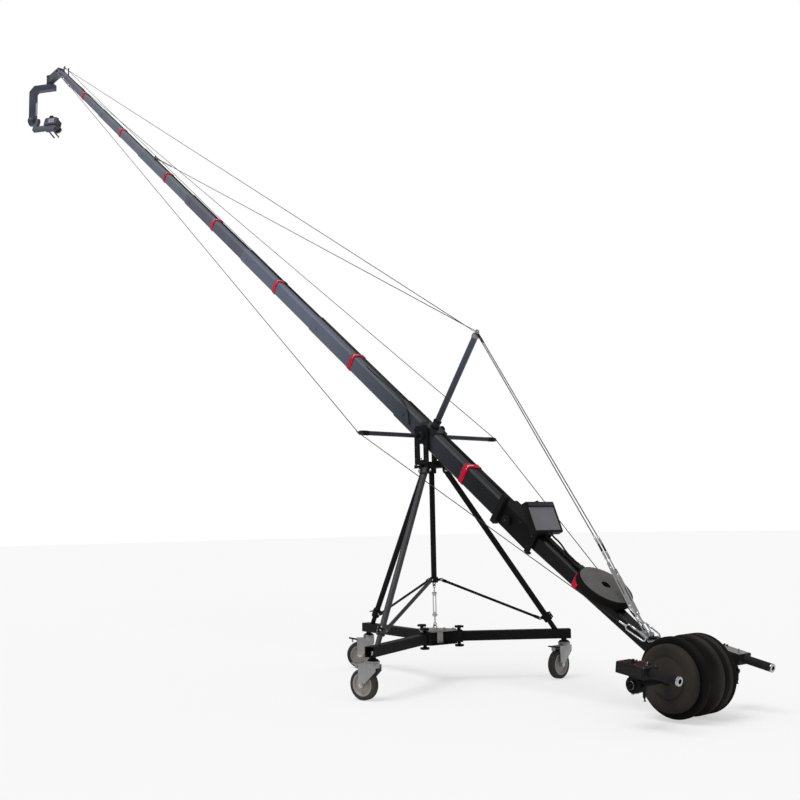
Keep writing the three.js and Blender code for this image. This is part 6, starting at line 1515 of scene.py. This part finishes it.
@dataclass
class BoomDress(Dress):
    """The beam's webbing straps, cable cover, loose cable, joint pins, and its fittings at nose and tail."""

    strap_places: tuple[float, ...] = (-1.29, -0.378, 0.838, 1.885, 2.95, 3.92, 5.0, 6.05)
    strap_width: float = 0.034
    chamfer: float = 0.009
    pitch: float = 1.055
    first_front: float = 0.303
    width: float = 0.094
    height: float = 0.104
    taper: float = 0.007
    rear_start: float = -0.764
    rear_length: float = 1.011
    top: float = 0.0485
    loose_radius: float = 0.0036
    tip_eye: float = 6.76
    eye: tuple[float, float] = (0.012, 0.0043)

    def size_at(self, place: float) -> tuple[float, float, float]:
        """Gives the beam's half width, top and bottom at a place along it.

        Args:
            place: the distance along the boom.

        Returns:
            Half width, top and bottom, in metres.
        """
        if place < self.rear_start:
            share = min(max((self.rear_start - place) / self.rear_length, 0.0), 1.0)
            height = 0.092 + (0.05 - 0.092) * share
            half = (0.087 + (0.066 - 0.087) * share) / 2
            return half, self.top, self.top - height
        index = max(0, math.ceil((place - self.first_front) / self.pitch))
        half_height = (self.height - index * self.taper) / 2
        return (self.width - index * self.taper) / 2, half_height, -half_height

    def _outline(self, place: float, grow: float) -> list[Point]:
        """Gives the corners of the beam's section at a place, grown outward.

        Args:
            place: the distance along the boom.
            grow: how far outward.

        Returns:
            The corners, in the boom's axes.
        """
        half, top, bottom = self.size_at(place)
        y, high, low, cut = half + grow, top + grow, bottom - grow, self.chamfer
        return [(place, y, high - cut), (place, y - cut * 0.3, high - cut * 0.3), (place, y - cut, high),
                (place, 0, high), (place, cut - y, high), (place, cut * 0.3 - y, high - cut * 0.3),
                (place, -y, high - cut), (place, -y, low + cut), (place, cut - y, low), (place, y - cut, low),
                (place, y, low + cut)]

    def _straps(self) -> None:
        """Wraps each webbing strap round the beam, with its flap and a pale painted highlight where it turns
        over the top corner.
        """
        place = LAYOUT.boom()
        webbing = self.workshop.ribbed(WEBBING, 4.0, "X")
        rose = self.workshop.ribbed(WEBBING_ROSE, 4.0, "X")
        for index, spot in enumerate(self.strap_places):
            half, top, _ = self.size_at(spot)
            strap = Shaper(place)
            strap.band(self._outline(spot, 0.0026), AHEAD, self.strap_width, 0.0016)
            lean = 0.004 if index % 2 else -0.003
            flap = [(spot + lean, half + 0.0046, top - 0.058), (spot + lean, half + 0.005, top - 0.02),
                    (spot + lean, half + 0.0048, top - 0.006), (spot + lean, half - 0.004, top + 0.0052),
                    (spot - lean, 0.0, top + 0.0054), (spot - 2 * lean, -half * 0.55, top + 0.0058)]
            strap.band(flap, AHEAD, self.strap_width * 0.94, 0.0014, closed=False)
            finish = webbing if index < 3 else rose
            self._make(strap, f"webbing_strap_{index + 1}", finish, "boom", Slot.RED_PLASTIC, 40)
            # Painted highlight: a pale pink strip where the strap turns over the beam's top corner stands for
            # its sheen.
            painted_sheen = Shaper(place)
            edge = spot - self.strap_width * 0.12
            painted_sheen.band([(edge - 0.004, half + 0.0062, top - 0.013), (edge, half - 0.002, top + 0.0066),
                       (edge + 0.004, half * 0.1, top + 0.0066)], AHEAD, self.strap_width * 0.26, 0.001,
                      closed=False)
            self._make(painted_sheen, f"strap_painted_sheen_{index + 1}", WEBBING_SHEEN, "boom", Slot.RED_PLASTIC, 40)

    def _cover(self) -> None:
        """Lays the dark cable cover along the far side of the beam's top, stepped with the sections."""
        cover = Shaper(LAYOUT.boom())
        start = self.rear_start
        for index in range(7):
            front = min(self.first_front + index * self.pitch, 6.62)
            half, top, _ = self.size_at((start + front) / 2)
            cover.slab((start, -half * 0.62, top - 0.0004), (front - 0.004, -half * 0.1, top + 0.0022),
                       0.0008, 2)
            start = front
        cover.slab((-1.262, -0.026, 0.0481), (-0.768, -0.006, 0.0507), 0.0008, 2)
        self._make(cover, "beam_cable_cover", NEAR_BLACK_AND_HOLE_SHADE, "boom", Slot.CABLE_RUBBER)

    def _loop(self) -> None:
        """Lets the loose cable drop from the beam's top down its near side."""
        route = [(0.7, 0.03, 0.05), (0.6, 0.033, 0.0525), (0.48, 0.038, 0.064), (0.36, 0.042, 0.069),
                 (0.26, 0.049, 0.064), (0.2, 0.0545, 0.05), (0.168, 0.056, 0.024), (0.15, 0.053, -0.004),
                 (0.142, 0.049, -0.015)]
        cable = Shaper(LAYOUT.boom()).tube(route, self.loose_radius, 10, 40.0)
        piece = self._make(cable, "loose_cable", CABLE, "boom", Slot.CABLE_RUBBER)
        self._cord(piece, route, self.loose_radius, "medium", "loose")

    def _joints(self) -> None:
        """Adds the section joints' flat pins in the beam's own paint, with its painted sky reflection."""
        for index in range(6):
            pins = Shaper(LAYOUT.boom())
            front = self.first_front + index * self.pitch
            half = (self.width - index * self.taper) / 2
            cap: Profile = [(0, 0), (0.0088, 0), (0.0084, 0.0016), (0.005, 0.0022), (0, 0.0022)]
            self._caps(pins, cap, [(front - 0.075, 0)], half + 0.0028, 28)
            self._make(pins, f"joint_pins_{index + 1}", boom_paint(index), "boom", Slot.BOOM_PAINT)

    def _nose(self) -> None:
        """Adds the nose fork's pin caps, bolts and eye post nut."""
        metal = Shaper(LAYOUT.boom())
        cap: Profile = [(0, 0), (0.0125, 0), (0.0118, 0.003), (0.007, 0.0052), (0, 0.0052)]
        self._caps(metal, cap, [(LAYOUT.level_pin, 0)], 0.0344, 32)
        bolts = [(6.735, 0.012), (6.735, -0.012), (6.765, 0.0)]
        self._caps(metal, dome(0.0045, -0.001, 0.004, 0.002, 0.0026), bolts, 0.0315, 18)
        metal.turned([(0.008, 0), (0.0125, 0), (0.0125, 0.006), (0.008, 0.008), (0.008, 0)],
                     placed(self.tip_eye, 0, 0.0312), 24)
        metal.ring(*self.eye, placed(self.tip_eye, 0, 0.07) @ ON_SIDE)
        metal.ring(*self.eye, placed(4.25, 0, 0.0535) @ ON_SIDE)
        metal.rod((6.602, 0, 0.03), (6.64, 0, 0.08), 0.0056, 16, 0.0008)
        metal.ring(0.0095, 0.0037, placed(6.645, 0, 0.0875) @ ON_SIDE)
        self._make(metal, "nose_and_line_eyes", ARM_PAINT, "boom", Slot.BRIGHT_STEEL)

    def _tail(self) -> None:
        """Adds the anchor plate's bolts, rings and lugs at the tail."""
        metal = Shaper(LAYOUT.boom())
        for hand in (-1, 1):
            at = placed(-1.722, hand * 0.0125, 0.0605) @ ON_SIDE
            metal.ring(*self.eye, at)
            for x in (-1.75, -1.694):
                spot = placed(x, hand * 0.026, 0.0515)
                metal.turned(dome(0.0046, -0.0005, 0.004, 0.0022, 0.0028), spot, 18)
        self._make(metal, "tail_rings", CHROME, "boom", Slot.BRIGHT_STEEL)
        plate = Shaper(LAYOUT.boom())
        plate.slab((-1.759, -0.0338, 0.0476), (-1.685, 0.0338, 0.0519), 0.0008, 2)
        for hand in (-1, 1):
            low, high = sorted((hand * 0.03, hand * 0.0445))
            plate.slab((-1.7455, low, 0.048), (-1.7365, high, 0.0625), 0.001, 2)
        self._make(plate, "tail_anchor_plate", ZINC_PLATE, "boom", Slot.ZINC)

    def build(self) -> None:
        """Builds all of the beam's dress."""
        self._straps()
        self._cover()
        self._loop()
        self._joints()
        self._nose()
        self._tail()


@dataclass
class MastDress(Dress):
    """The yoke's bolts and bearings, the mast's bolts, cap and bands, the arms' caps and the crown's rim."""

    def build(self) -> None:
        """Builds the dress of the yoke, mast and side arms."""
        metal = Shaper(LAYOUT.boom())
        for x in (-0.048, 0.048):
            for y in (-0.036, 0.036):
                metal.turned([(0, -0.0005), (0.0066, -0.0005), (0.0066, 0.001), (0.005, 0.0014),
                              (0.0044, 0.0046), (0, 0.005)], placed(x, y, 0.0583), 20)
        cap = Shaper(LAYOUT.boom())
        cap.turned([(0, 0.6215), (0.0206, 0.6215), (0.0206, 0.6385), (0.019, 0.6405), (0, 0.6405)], None, 40)
        cap.ring(0.012, 0.0043, placed(0, 0, 0.652) @ ON_SIDE)
        self._make(cap, "mast_cap", HUB_SILVER, "boom", Slot.BRIGHT_STEEL)
        middle = [(0.0, 0.0)]
        arm_cap: Profile = [(0, 0.4936), (0.0086, 0.4936), (0.0086, 0.5002), (0.0074, 0.5014), (0, 0.5014)]
        self._caps(metal, arm_cap, middle, 0, 28)
        self._caps(metal, sleeve(0.012, 0.0216, 0.0742, 0.0796), middle, 0, 40)
        self._make(metal, "saddle_bolts_and_arm_caps", ARM_PAINT, "boom", Slot.BRIGHT_STEEL)
        dark = Shaper(LAYOUT.boom())
        for low, high, radius in ((0.0578, 0.064, 0.0245), (0.094, 0.101, 0.0238)):
            dark.turned(disc(radius, low, high), None, 40)
        root: Profile = [(0, 0.092), (0.0158, 0.092), (0.0158, 0.112), (0.013, 0.115), (0, 0.115)]
        self._caps(dark, disc(0.0132, 0.44, 0.48), middle, 0, 28)
        self._caps(dark, root, middle, 0, 28)
        self._make(dark, "mast_bands", FRAME_PAINT, "boom", Slot.BLACK_PAINT)
        yoke = Shaper()
        bolts = [(-0.032, 1.192), (0.048, 1.192), (0.009, 1.192), (-0.029, 1.256), (0.046, 1.256)]
        self._caps(yoke, dome(0.0052, -0.0005, 0.0046, 0.0024, 0.003), bolts, 0.066, 20)
        ring: Profile = [(0.016, 0.0738), (0.0206, 0.0738), (0.0214, 0.0746), (0.0229, 0.0746),
                         (0.0229, 0.072), (0.016, 0.072), (0.016, 0.0738)]
        self._caps(yoke, ring, [(0, LAYOUT.tilt_height)], 0, 40)
        yoke.turned(disc(0.0556, 1.158, 1.1608), None, 48)
        self._make(yoke, "yoke_bolts_and_bearing", ARM_PAINT, "yoke", Slot.ZINC)
        crown = Shaper()
        crown.turned([(0.056, 1.1425), (0.0707, 1.1425), (0.071, 1.145), (0.071, 1.155), (0.069, 1.1585),
                      (0.056, 1.1585), (0.056, 1.1425)], None, 64)
        self._make(crown, "crown_rim", FRAME_PAINT, "dolly", Slot.BLACK_PAINT)


@dataclass
class WeightsDress(Dress):
    """The disc weights, the flat one on the beam and the bar's ends."""

    large: float = 0.17
    small: float = 0.142
    width: float = 0.03

    def _disc(self, name: str, node: str, radius: float, start: float, width: float, hand: int,
              finish: Finish, dished: bool) -> None:
        """Makes one disc weight with rounded shoulders and raised rings.

        Args:
            name: the piece's name.
            node: the CAD node that it stands for.
            radius: its radius.
            start: its inner face's distance along the bar.
            width: its thickness.
            hand: 1 for the left side, -1 for the right.
            finish: its finish.
            dished: whether its outer rim is broadly rounded.
        """
        place = LAYOUT.boom((-LAYOUT.bar_reach, 0, LAYOUT.bar_rise)) @ turned_to((0, hand, 0))
        low, high = start + 0.0002, start + width - 0.0002
        round_edge = 0.015 if dished else 0.0085
        groove, floor = radius * 0.62, high - 0.0052
        face: Profile = [(0.0146, floor), (0.0245, floor), (0.0255, high - 0.003),
                         (groove - 0.008, high - 0.003), (groove - 0.005, floor - 0.0014),
                         (groove + 0.004, floor - 0.0014), (groove + 0.0085, high - 0.0034),
                         (radius - 0.029, high - 0.0022), (radius - 0.0205, high)]
        shoulder = [(radius - round_edge + round_edge * math.sin(a),
                     high - round_edge + round_edge * math.cos(a))
                    for a in (0.0, 0.3, 0.6, 0.9, 1.2, TURN / 4)]
        shoulder_back = [(radius - 0.007 + 0.007 * math.cos(a), low + 0.007 - 0.007 * math.sin(a))
                         for a in (0.0, 0.4, 0.8, 1.2, TURN / 4)]
        back: Profile = [(radius - 0.018, low), (radius - 0.03, low + 0.006), (0.0425, low + 0.006),
                         (0.04, low + 0.0012), (0.0146, low + 0.0012)]
        body = Shaper(place).turned([*face, *shoulder, *shoulder_back, *back, face[0]], None, 96)
        self._make(body, name, finish, "boom", Slot.WEIGHT_RUBBER, node=node)

    def _top(self) -> None:
        """Makes the flat disc on the beam, with its ringed face and its bushing."""
        place = LAYOUT.boom((-1.414, 0, 0.0485 + 0.0017))
        profile: Profile = [(0.0225, 0.0008), (0.12, 0.0004), (0.132, 0.0012), (0.1365, 0.0055),
                            (0.137, 0.01), (0.137, 0.031), (0.1352, 0.0365), (0.13, 0.0398), (0.0225, 0.0398),
                            (0.0225, 0.0008)]
        body = Shaper(place).turned(profile, None, 96)
        self._make(body, "top_disc", PLATE_RUBBER, "boom", Slot.WEIGHT_RUBBER, 28, node="top_weight")
        face = Shaper(place)
        face.turned([(0.0225, 0.039), (0.129, 0.039), (0.1275, 0.0406), (0.122, 0.0414), (0.103, 0.0414),
                     (0.1015, 0.0405), (0.099, 0.0405), (0.0975, 0.0414), (0.04, 0.0414), (0.0385, 0.0406),
                     (0.0365, 0.0406), (0.035, 0.0414), (0.024, 0.0414), (0.0225, 0.04), (0.0225, 0.039)],
                    None, 96)
        self._make(face, "top_disc_face", TOP_RUBBER, "boom", Slot.WEIGHT_RUBBER, 28, node="top_weight")
        # Painted shade: the bushing sunk in the disc's bore is near black, standing for the dark of the bore.
        bush = Shaper(place)
        bush.turned([(0.0138, 0.001), (0.0222, 0.001), (0.0222, 0.033), (0.018, 0.0345), (0.0138, 0.0345),
                     (0.0138, 0.001)], None, 40)
        self._make(bush, "top_disc_bushing", NEAR_BLACK_AND_HOLE_SHADE, "boom", Slot.ZINC)

    def _bar(self) -> None:
        """Adds the bar's end caps and stop collars."""
        place = LAYOUT.boom((-LAYOUT.bar_reach, 0, LAYOUT.bar_rise))
        metal = Shaper(place)
        for hand, end in ((1, 0.366), (-1, 0.372)):
            at = turned_to((0, hand, 0))
            metal.turned([(0, end - 0.0064), (0.0176, end - 0.0064), (0.0176, end - 0.0012), (0.0164, end),
                          (0.006, end), (0.0054, end - 0.002), (0, end - 0.002)], at, 40)
        self._make(metal, "bar_end_caps", FITTING_STEEL, "boom", Slot.BRIGHT_STEEL)
        collars = Shaper(place)
        for hand, low in ((1, 0.127), (-1, 0.138)):
            collars.turned([(0.0142, low), (0.023, low), (0.023, low + 0.013), (0.021, low + 0.015),
                            (0.0142, low + 0.015), (0.0142, low)], turned_to((0, hand, 0)), 40)
        self._make(collars, "bar_stop_collars", FRAME_PAINT, "boom", Slot.BLACK_PAINT)

    def build(self) -> None:
        """Builds every weight."""
        self._disc("left_large_disc", "weights_left", self.large, 0.0583, self.width, 1, PLATE_RUBBER, False)
        self._disc("left_small_disc", "weights_left", self.small, 0.0883, 0.04, 1, PLATE_DUST, True)
        for index in range(4):
            finish = PLATE_RUBBER if index % 2 else PLATE_DUST
            self._disc(f"right_disc_{index + 1}", "weights_right", self.large, 0.0173 + index * self.width,
                       self.width, -1, finish, index == 3)
        self._top()
        self._bar()


@dataclass
class MonitorDress(Dress):
    """The monitor's bezel, lid band, buttons and screws, and its bracket's screws and knob."""

    half_width: float = 0.1015
    half_height: float = 0.081

    def build(self) -> None:
        """Builds the monitor's dress."""
        at = LAYOUT.monitor()
        frame_piece = Shaper(at)
        w, h = self.half_width, self.half_height
        frame_piece.slab((-0.0012, -w + 0.004, -h + 0.004), (0.0016, w - 0.004, -h + 0.0128), 0.0008, 2)
        for hand in (-1, 1):
            low, high = sorted((hand * (w - 0.0128), hand * (w - 0.004)))
            frame_piece.slab((-0.0012, low, -h + 0.004), (0.0016, high, h - 0.029), 0.0008, 2)
        frame_piece.slab((-0.0048, -w + 0.008, h - 0.0275), (0.0016, w - 0.008, h - 0.003), 0.0014, 3)
        for hand in (-1, 1):
            low, high = sorted((hand * (w - 0.0015), hand * (w + 0.0006)))
            frame_piece.slab((0.006, low, -h + 0.02), (0.023, high, h - 0.02), 0.0007, 2)
        frame_piece.slab((0.0282, -w + 0.03, -h + 0.02), (0.0302, w - 0.03, h - 0.02), 0.001, 2)
        self._make(frame_piece, "monitor_bezel", BLACK_MOULDED, "monitor", Slot.BLACK_PLASTIC)
        lid = Shaper(at)
        lid.slab((-0.0056, -w + 0.012, h - 0.0245), (-0.0044, w - 0.012, h - 0.0065), 0.0004, 2)
        self._make(lid, "monitor_lid_band", LID_BAND, "monitor", Slot.BLACK_PLASTIC)
        buttons = Shaper(at)
        for step in range(6):
            y = -0.045 + step * 0.018
            buttons.turned(disc(0.003, -0.0022, 0.0), placed(0, y, -h + 0.0085) @ ON_END, 16)
        buttons.turned([(0, h - 0.004), (0.0092, h - 0.004), (0.0096, h + 0.002), (0.0096, h + 0.008),
                        (0.008, h + 0.0092), (0, h + 0.0092)], placed(0.0145, 0, 0), 32)
        self._make(buttons, "monitor_buttons", CABLE, "monitor", Slot.BLACK_PLASTIC)
        screws = Shaper(at)
        for y in (-w + 0.008, w - 0.008):
            for z in (-h + 0.012, h - 0.034):
                screws.turned(dome(0.0022, -0.0018, 0.0026, -0.001, -0.001), placed(0, y, z) @ ON_END, 14)
        self._make(screws, "monitor_screws", LID_BAND, "monitor", Slot.BRIGHT_STEEL)
        boom = LAYOUT.boom()
        bright = Shaper(boom)
        side = 0.0553
        for x, z in ((-0.725, 0.03), (-0.725, -0.03), (-0.96, 0.03), (-0.96, -0.03), (-0.86, 0.04)):
            bright.turned(dome(0.0048, -0.0006, 0.0042, 0.0022, 0.0028),
                          turned_to((0, 1, 0), (x, side, z)), 18)
        bright.turned(dome(0.006, 0, 0.0052, 0.004, 0.005), turned_to((0, 1, 0), (-0.786, 0.0752, 0)), 22)
        self._make(bright, "bracket_screws", LID_BAND, "boom", Slot.BRIGHT_STEEL)
        knob = Shaper(boom)
        outline = [(0.0268 * math.cos(a) * (1.0 if i % 2 else 0.965),
                    0.0268 * math.sin(a) * (1.0 if i % 2 else 0.965))
                   for i, a in enumerate(TURN * k / 48 for k in range(48))]
        knob.plate(outline, 0.0, 0.0195, 0.0016, turned_to((0, 1, 0), (-0.786, 0.0556, 0)))
        self._make(knob, "bracket_knob", BLACK_MOULDED, "boom", Slot.BLACK_PLASTIC)


@dataclass
class ControlDress(Dress):
    """One hand control's panel, knobs, screws, grip ring, clamp rims and lever."""

    side: Side
    top: float = 0.084
    half_length: float = 0.07
    half_width: float = 0.046

    def build(self) -> None:
        """Builds the control's dress."""
        name = self.side.name.lower()
        body = f"control_{name}"
        at = LAYOUT.control(self.side)
        x, y, top = self.half_length, self.half_width, self.top
        panel = Shaper(at)
        panel.slab((-x + 0.005, -y + 0.006, top - 0.0006), (x - 0.005, -0.0005, top + 0.0008), 0.0004, 1)
        finish = BLACK_MOULDED if self.side is Side.LEFT else GREY_PANEL
        if self.side is Side.RIGHT:
            panel.slab((-x + 0.005, 0.0005, top - 0.0006), (x - 0.005, y - 0.006, top + 0.0008), 0.0004, 1)
        self._make(panel, f"control_panel_{name}", finish, body, Slot.BLACK_PLASTIC)
        caps = Shaper(at)
        dark = Shaper(at)
        hand = self.side.value
        places = (0.042, 0.026, 0.01, -0.006, -0.02, -0.036) if self.side is Side.LEFT else (0.042, 0.056)
        for px in places:
            spot = placed(px, -0.03, top + 0.0006)
            shaper = dark if px == places[-1] else caps
            shaper.turned([(0, 0), (0.006, 0), (0.006, 0.0012), (0.0048, 0.002), (0.0046, 0.006),
                           (0.0038, 0.007), (0, 0.007)], spot, 28)
        if self.side is Side.LEFT:
            caps.turned(dome(0.0052, 0, 0.005, 0.004, 0.0052), placed(-0.01, 0.03, top), 24)
            dark.turned(dome(0.0052, 0, 0.005, 0.004, 0.0052), placed(0.02, 0.032, top), 24)
        self._make(caps, f"control_red_caps_{name}", RED_DARK, body, Slot.RED_PLASTIC)
        for low, high in ((-x - 0.0006, -x + 0.001), (x - 0.001, x + 0.0006)):
            dark.slab((low, -y + 0.01, 0.044), (high, y - 0.01, 0.078), 0.0006, 1)
        for low, high in ((y - 0.001, y + 0.0006), (-y - 0.0006, -y + 0.001)):
            dark.slab((-x + 0.012, low, 0.044), (x - 0.012, high, 0.076), 0.0006, 1)
        self._make(dark, f"control_knobs_{name}", CABLE, body, Slot.BLACK_PLASTIC)
        metal = Shaper(at)
        for px in (-x + 0.008, x - 0.008):
            for py in (-y + 0.008, y - 0.008):
                metal.turned(dome(0.0024, 0, 0.002, 0.0012, 0.0014), placed(px, py, top + 0.0004), 16)
        tip = placed(-0.2075, 0, 0.062) @ ON_END
        metal.turned([(0.0102, -0.0002), (0.0102, 0.0094), (0.015, 0.0094), (0.0194, 0.008), (0.0194, 0.0016),
                      (0.018, -0.0002), (0.0102, -0.0002)], tip, 48)
        metal.turned([(0.005, -0.0004), (0.0072, -0.0004), (0.0076, 0.0022), (0.005, 0.0022),
                      (0.005, -0.0004)], placed(-0.042, -hand * 0.0092, top + 0.0002), 24)
        for py in (-0.014, 0.014):
            metal.rod((0.0, py, -0.0345), (0.0, py, -0.0395), 0.0062, 6, 0.0006)
        self._make(metal, f"control_metal_{name}", CHROME, body, Slot.BRIGHT_STEEL)
        clamp = Shaper(at)
        for low in (-0.0202, 0.0162):
            clamp.turned([(0.0146, low), (0.0342, low), (0.0348, low + 0.0012), (0.0348, low + 0.0028),
                          (0.0342, low + 0.004), (0.0146, low + 0.004), (0.0146, low)], ON_SIDE, 48)
        self._make(clamp, f"control_clamp_rims_{name}", FRAME_PAINT, body, Slot.BLACK_PAINT)
        lever = Shaper(at)
        lever.rod((-0.0353, 0, 0), (-0.05, 0, 0), 0.0112, 28, 0.0016)
        lever.tube([(-0.0425, 0, -0.004), (-0.044, 0, -0.02), (-0.0466, 0, -0.04), (-0.0503, 0, -0.0555)],
                   0.0064, 16)
        self._make(lever, f"clamp_lever_{name}_skin", BLACK_MOULDED, f"clamp_lever_{name}",
                   Slot.BLACK_PLASTIC, node=f"clamp_lever_{name}")
        if self.side is Side.LEFT:
            cap = Shaper(at)
            spot = placed(0.014, 0.0092, top + 0.0003)
            cap.turned([(0, 0.0), (0.0091, 0.0), (0.0091, 0.002), (0.0074, 0.004), (0.0072, 0.0138),
                        (0.0062, 0.0151), (0, 0.0151)], spot, 40)
            cap.slab((-0.0007, 0.001, 0.0146), (0.0007, 0.007, 0.0155), 0.0002, 1, spot)
            self._make(cap, "speed_knob_skin", BLACK_MOULDED, "speed_knob", Slot.BLACK_PLASTIC,
                       node="speed_knob")
            button = Shaper(at)
            button.turned([(0, -0.0034), (0.0066, -0.0034), (0.0067, 0.0026), (0.006, 0.0036),
                           (0.004, 0.0041), (0, 0.0043)], placed(0.0504, 0.02576, top), 32)
            self._make(button, "record_button_skin", RED_DARK, "record_button", Slot.RED_PLASTIC,
                       node="record_button")


@dataclass
class HeadDress(Dress):
    """The level arm, the camera head's motors and bolts, and the camera's controls and lens."""

    deck: float = -0.0867
    tilt_axis: float = -0.415
    pan_axis: float = 0.26

    def _level(self) -> None:
        """Adds the level arm's caps and bolts."""
        at = LAYOUT.level()
        metal = Shaper(at)
        bolts = [(x, -0.018) for x in (0.05, 0.12, 0.205)]
        self._caps(metal, dome(0.0048, -0.0005, 0.0042, 0.0022, 0.0028), bolts, 0.025, 18)
        metal.turned([(0.0, 0.0428), (0.03, 0.0428), (0.029, 0.0456), (0.018, 0.0462), (0, 0.0462)],
                     placed(self.pan_axis, 0, 0), 48)
        self._make(metal, "level_arm_bolts", HEAD_PAINT, "level_arm", Slot.BRIGHT_STEEL)
        dark = Shaper(at)
        for low, high in ((-0.042, -0.0385), (0.0372, 0.043)):
            dark.turned(sleeve(0.03, 0.0368, low, high), placed(self.pan_axis, 0, 0), 48)
        self._make(dark, "pan_motor_rings", FRAME_PAINT, "level_arm", Slot.BLACK_PAINT)

    def _arm(self) -> None:
        """Adds the pan arm's covers, the pale strip on its post and screws, and the tilt motor's rings."""
        at = LAYOUT.head()
        cover = Shaper(at)
        for (x, z), (x_end, z_end) in (((-0.04, -0.1), (0.118, -0.056)), ((0.168, -0.35), (0.212, -0.15))):
            for low, high in ((-0.0306, -0.0296), (0.0296, 0.0306)):
                cover.slab((x, low, z), (x_end, high, z_end), 0.0006, 2)
        cover.slab((0.2196, -0.022, -0.35), (0.2206, 0.022, -0.15), 0.0006, 2)
        self._make(cover, "head_arm_covers", HEAD_PAINT, "head", Slot.BOOM_PAINT)
        # A pale strip on the post's inner face, over part of its width.
        strip = Shaper(at).slab((0.1588, -0.024, -0.352), (0.1602, 0.002, -0.215), 0.0004, 1)
        self._make(strip, "head_arm_pale_strip", PALE_STRIP, "head", Slot.BOOM_PAINT)
        metal = Shaper(at)
        screws = [(x, z) for x in (-0.034, 0.112) for z in (-0.062, -0.094)]
        screws += [(x, z) for z in (-0.156, -0.344) for x in (0.174, 0.206)]
        self._caps(metal, dome(0.0032, -0.0004, 0.0028, 0.0014, 0.0018), screws, 0.0306, 14)
        for angle in range(6):
            a = TURN * angle / 6
            spot = turned_to((1, 0, 0), (0.2206, 0.034 * math.cos(a), self.tilt_axis + 0.034 * math.sin(a)))
            metal.turned(dome(0.0036, -0.001, 0.003, 0.0012, 0.0016), spot, 14)
        self._make(metal, "head_arm_screws", HEAD_PAINT, "head", Slot.BRIGHT_STEEL)
        motor = Shaper(at)
        turn = turned_to((1, 0, 0), (0, 0, self.tilt_axis))
        motor.turned(sleeve(0.04, 0.0468, 0.219, 0.213), turn, 56)
        motor.turned(sleeve(0.04, 0.0468, 0.164, 0.16), turn, 56)
        motor.turned(disc(0.025, 0.2192, 0.2212), turn, 40)
        self._make(motor, "tilt_motor_rings", FRAME_PAINT, "head", Slot.BLACK_PAINT)

    def _camera(self) -> None:
        """Adds the camera's panels, dials, screen, lens rings and glass, and the cradle's rails."""
        at = LAYOUT.cradle()
        floor = self.deck
        dark = Shaper(at)
        dark.slab((-0.086, 0.0308, floor + 0.016), (-0.014, 0.033, floor + 0.068), 0.0012, 2)
        dark.slab((-0.06, 0.0306, floor + 0.086), (-0.02, 0.0365, floor + 0.104), 0.002, 3)
        for x in (-0.098, 0.004):
            dark.turned([(0, 0), (0.01, 0), (0.01, 0.0052), (0.009, 0.0064), (0, 0.0064)],
                        placed(x, 0.0, floor + 0.0838), 32)
        dark.slab((-0.1115, -0.0575, floor + 0.01), (-0.0835, -0.03, floor + 0.07), 0.007, 4)
        self._make(dark, "camera_panels", CABLE, "cradle", Slot.BLACK_PLASTIC)
        screen = Shaper(at)
        screen.slab((-0.084, 0.0326, floor + 0.016), (-0.016, 0.0338, floor + 0.068), 0.0004, 1)
        self._make(screen, "camera_screen", SMALL_SCREEN, "cradle", Slot.SCREEN_GLASS)
        lens_at = at @ placed(-0.04, 0, floor + 0.042) @ ON_SIDE
        rings = Shaper(lens_at)
        for low, high, radius in ((0.036, 0.05, 0.0322), (0.066, 0.08, 0.0366), (0.086, 0.11, 0.0368)):
            for rib in range(int((high - low) / 0.002)):
                z = low + rib * 0.002
                rings.turned(sleeve(0.029, radius, z, z + 0.0012), None, 48)
        self._make(rings, "lens_rings", CABLE, "cradle", Slot.BLACK_PLASTIC)
        glass = Shaper(lens_at)
        glass.turned([(0, 0.118), (0.0285, 0.118), (0.0285, 0.1196), (0.02, 0.1214), (0.01, 0.1224),
                      (0, 0.1227)], None, 48)
        self._make(glass, "lens_glass", SCREEN, "cradle", Slot.SCREEN_GLASS)
        metal = Shaper(at)
        metal.rod((-0.04, 0, floor + 0.0002), (-0.04, 0, floor - 0.046), 0.0062, 20, 0.0008)
        for x in (-0.066, -0.014):
            metal.rod((x, -0.1203, -0.137), (x, 0.0214, -0.137), 0.0078, 24, 0.0008)
        self._make(metal, "cradle_rails", CAMERA_SHELL, "cradle", Slot.BRIGHT_STEEL)

    def build(self) -> None:
        """Builds the head's dress."""
        self._level()
        self._arm()
        self._camera()


def main() -> None:
    """Builds the studio, the ropes and cables, and every sub-assembly, in that order."""
    logging.basicConfig(level=logging.INFO, format="%(name)s: %(message)s")
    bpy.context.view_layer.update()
    Studio().build()
    workshop = Workshop()
    builders = [
        MonitorCables(workshop), Rigging(workshop), CarriedNodes(workshop), DollyDress(workshop),
        *(CasterDress(workshop, index) for index in range(3)),
        BoomDress(workshop), MastDress(workshop), WeightsDress(workshop), MonitorDress(workshop),
        *(ControlDress(workshop, side) for side in Side), HeadDress(workshop),
    ]
    for builder in builders:
        builder.build()
        LOG.info("built %s", type(builder).__name__)


if __name__ == "__main__":
    main()
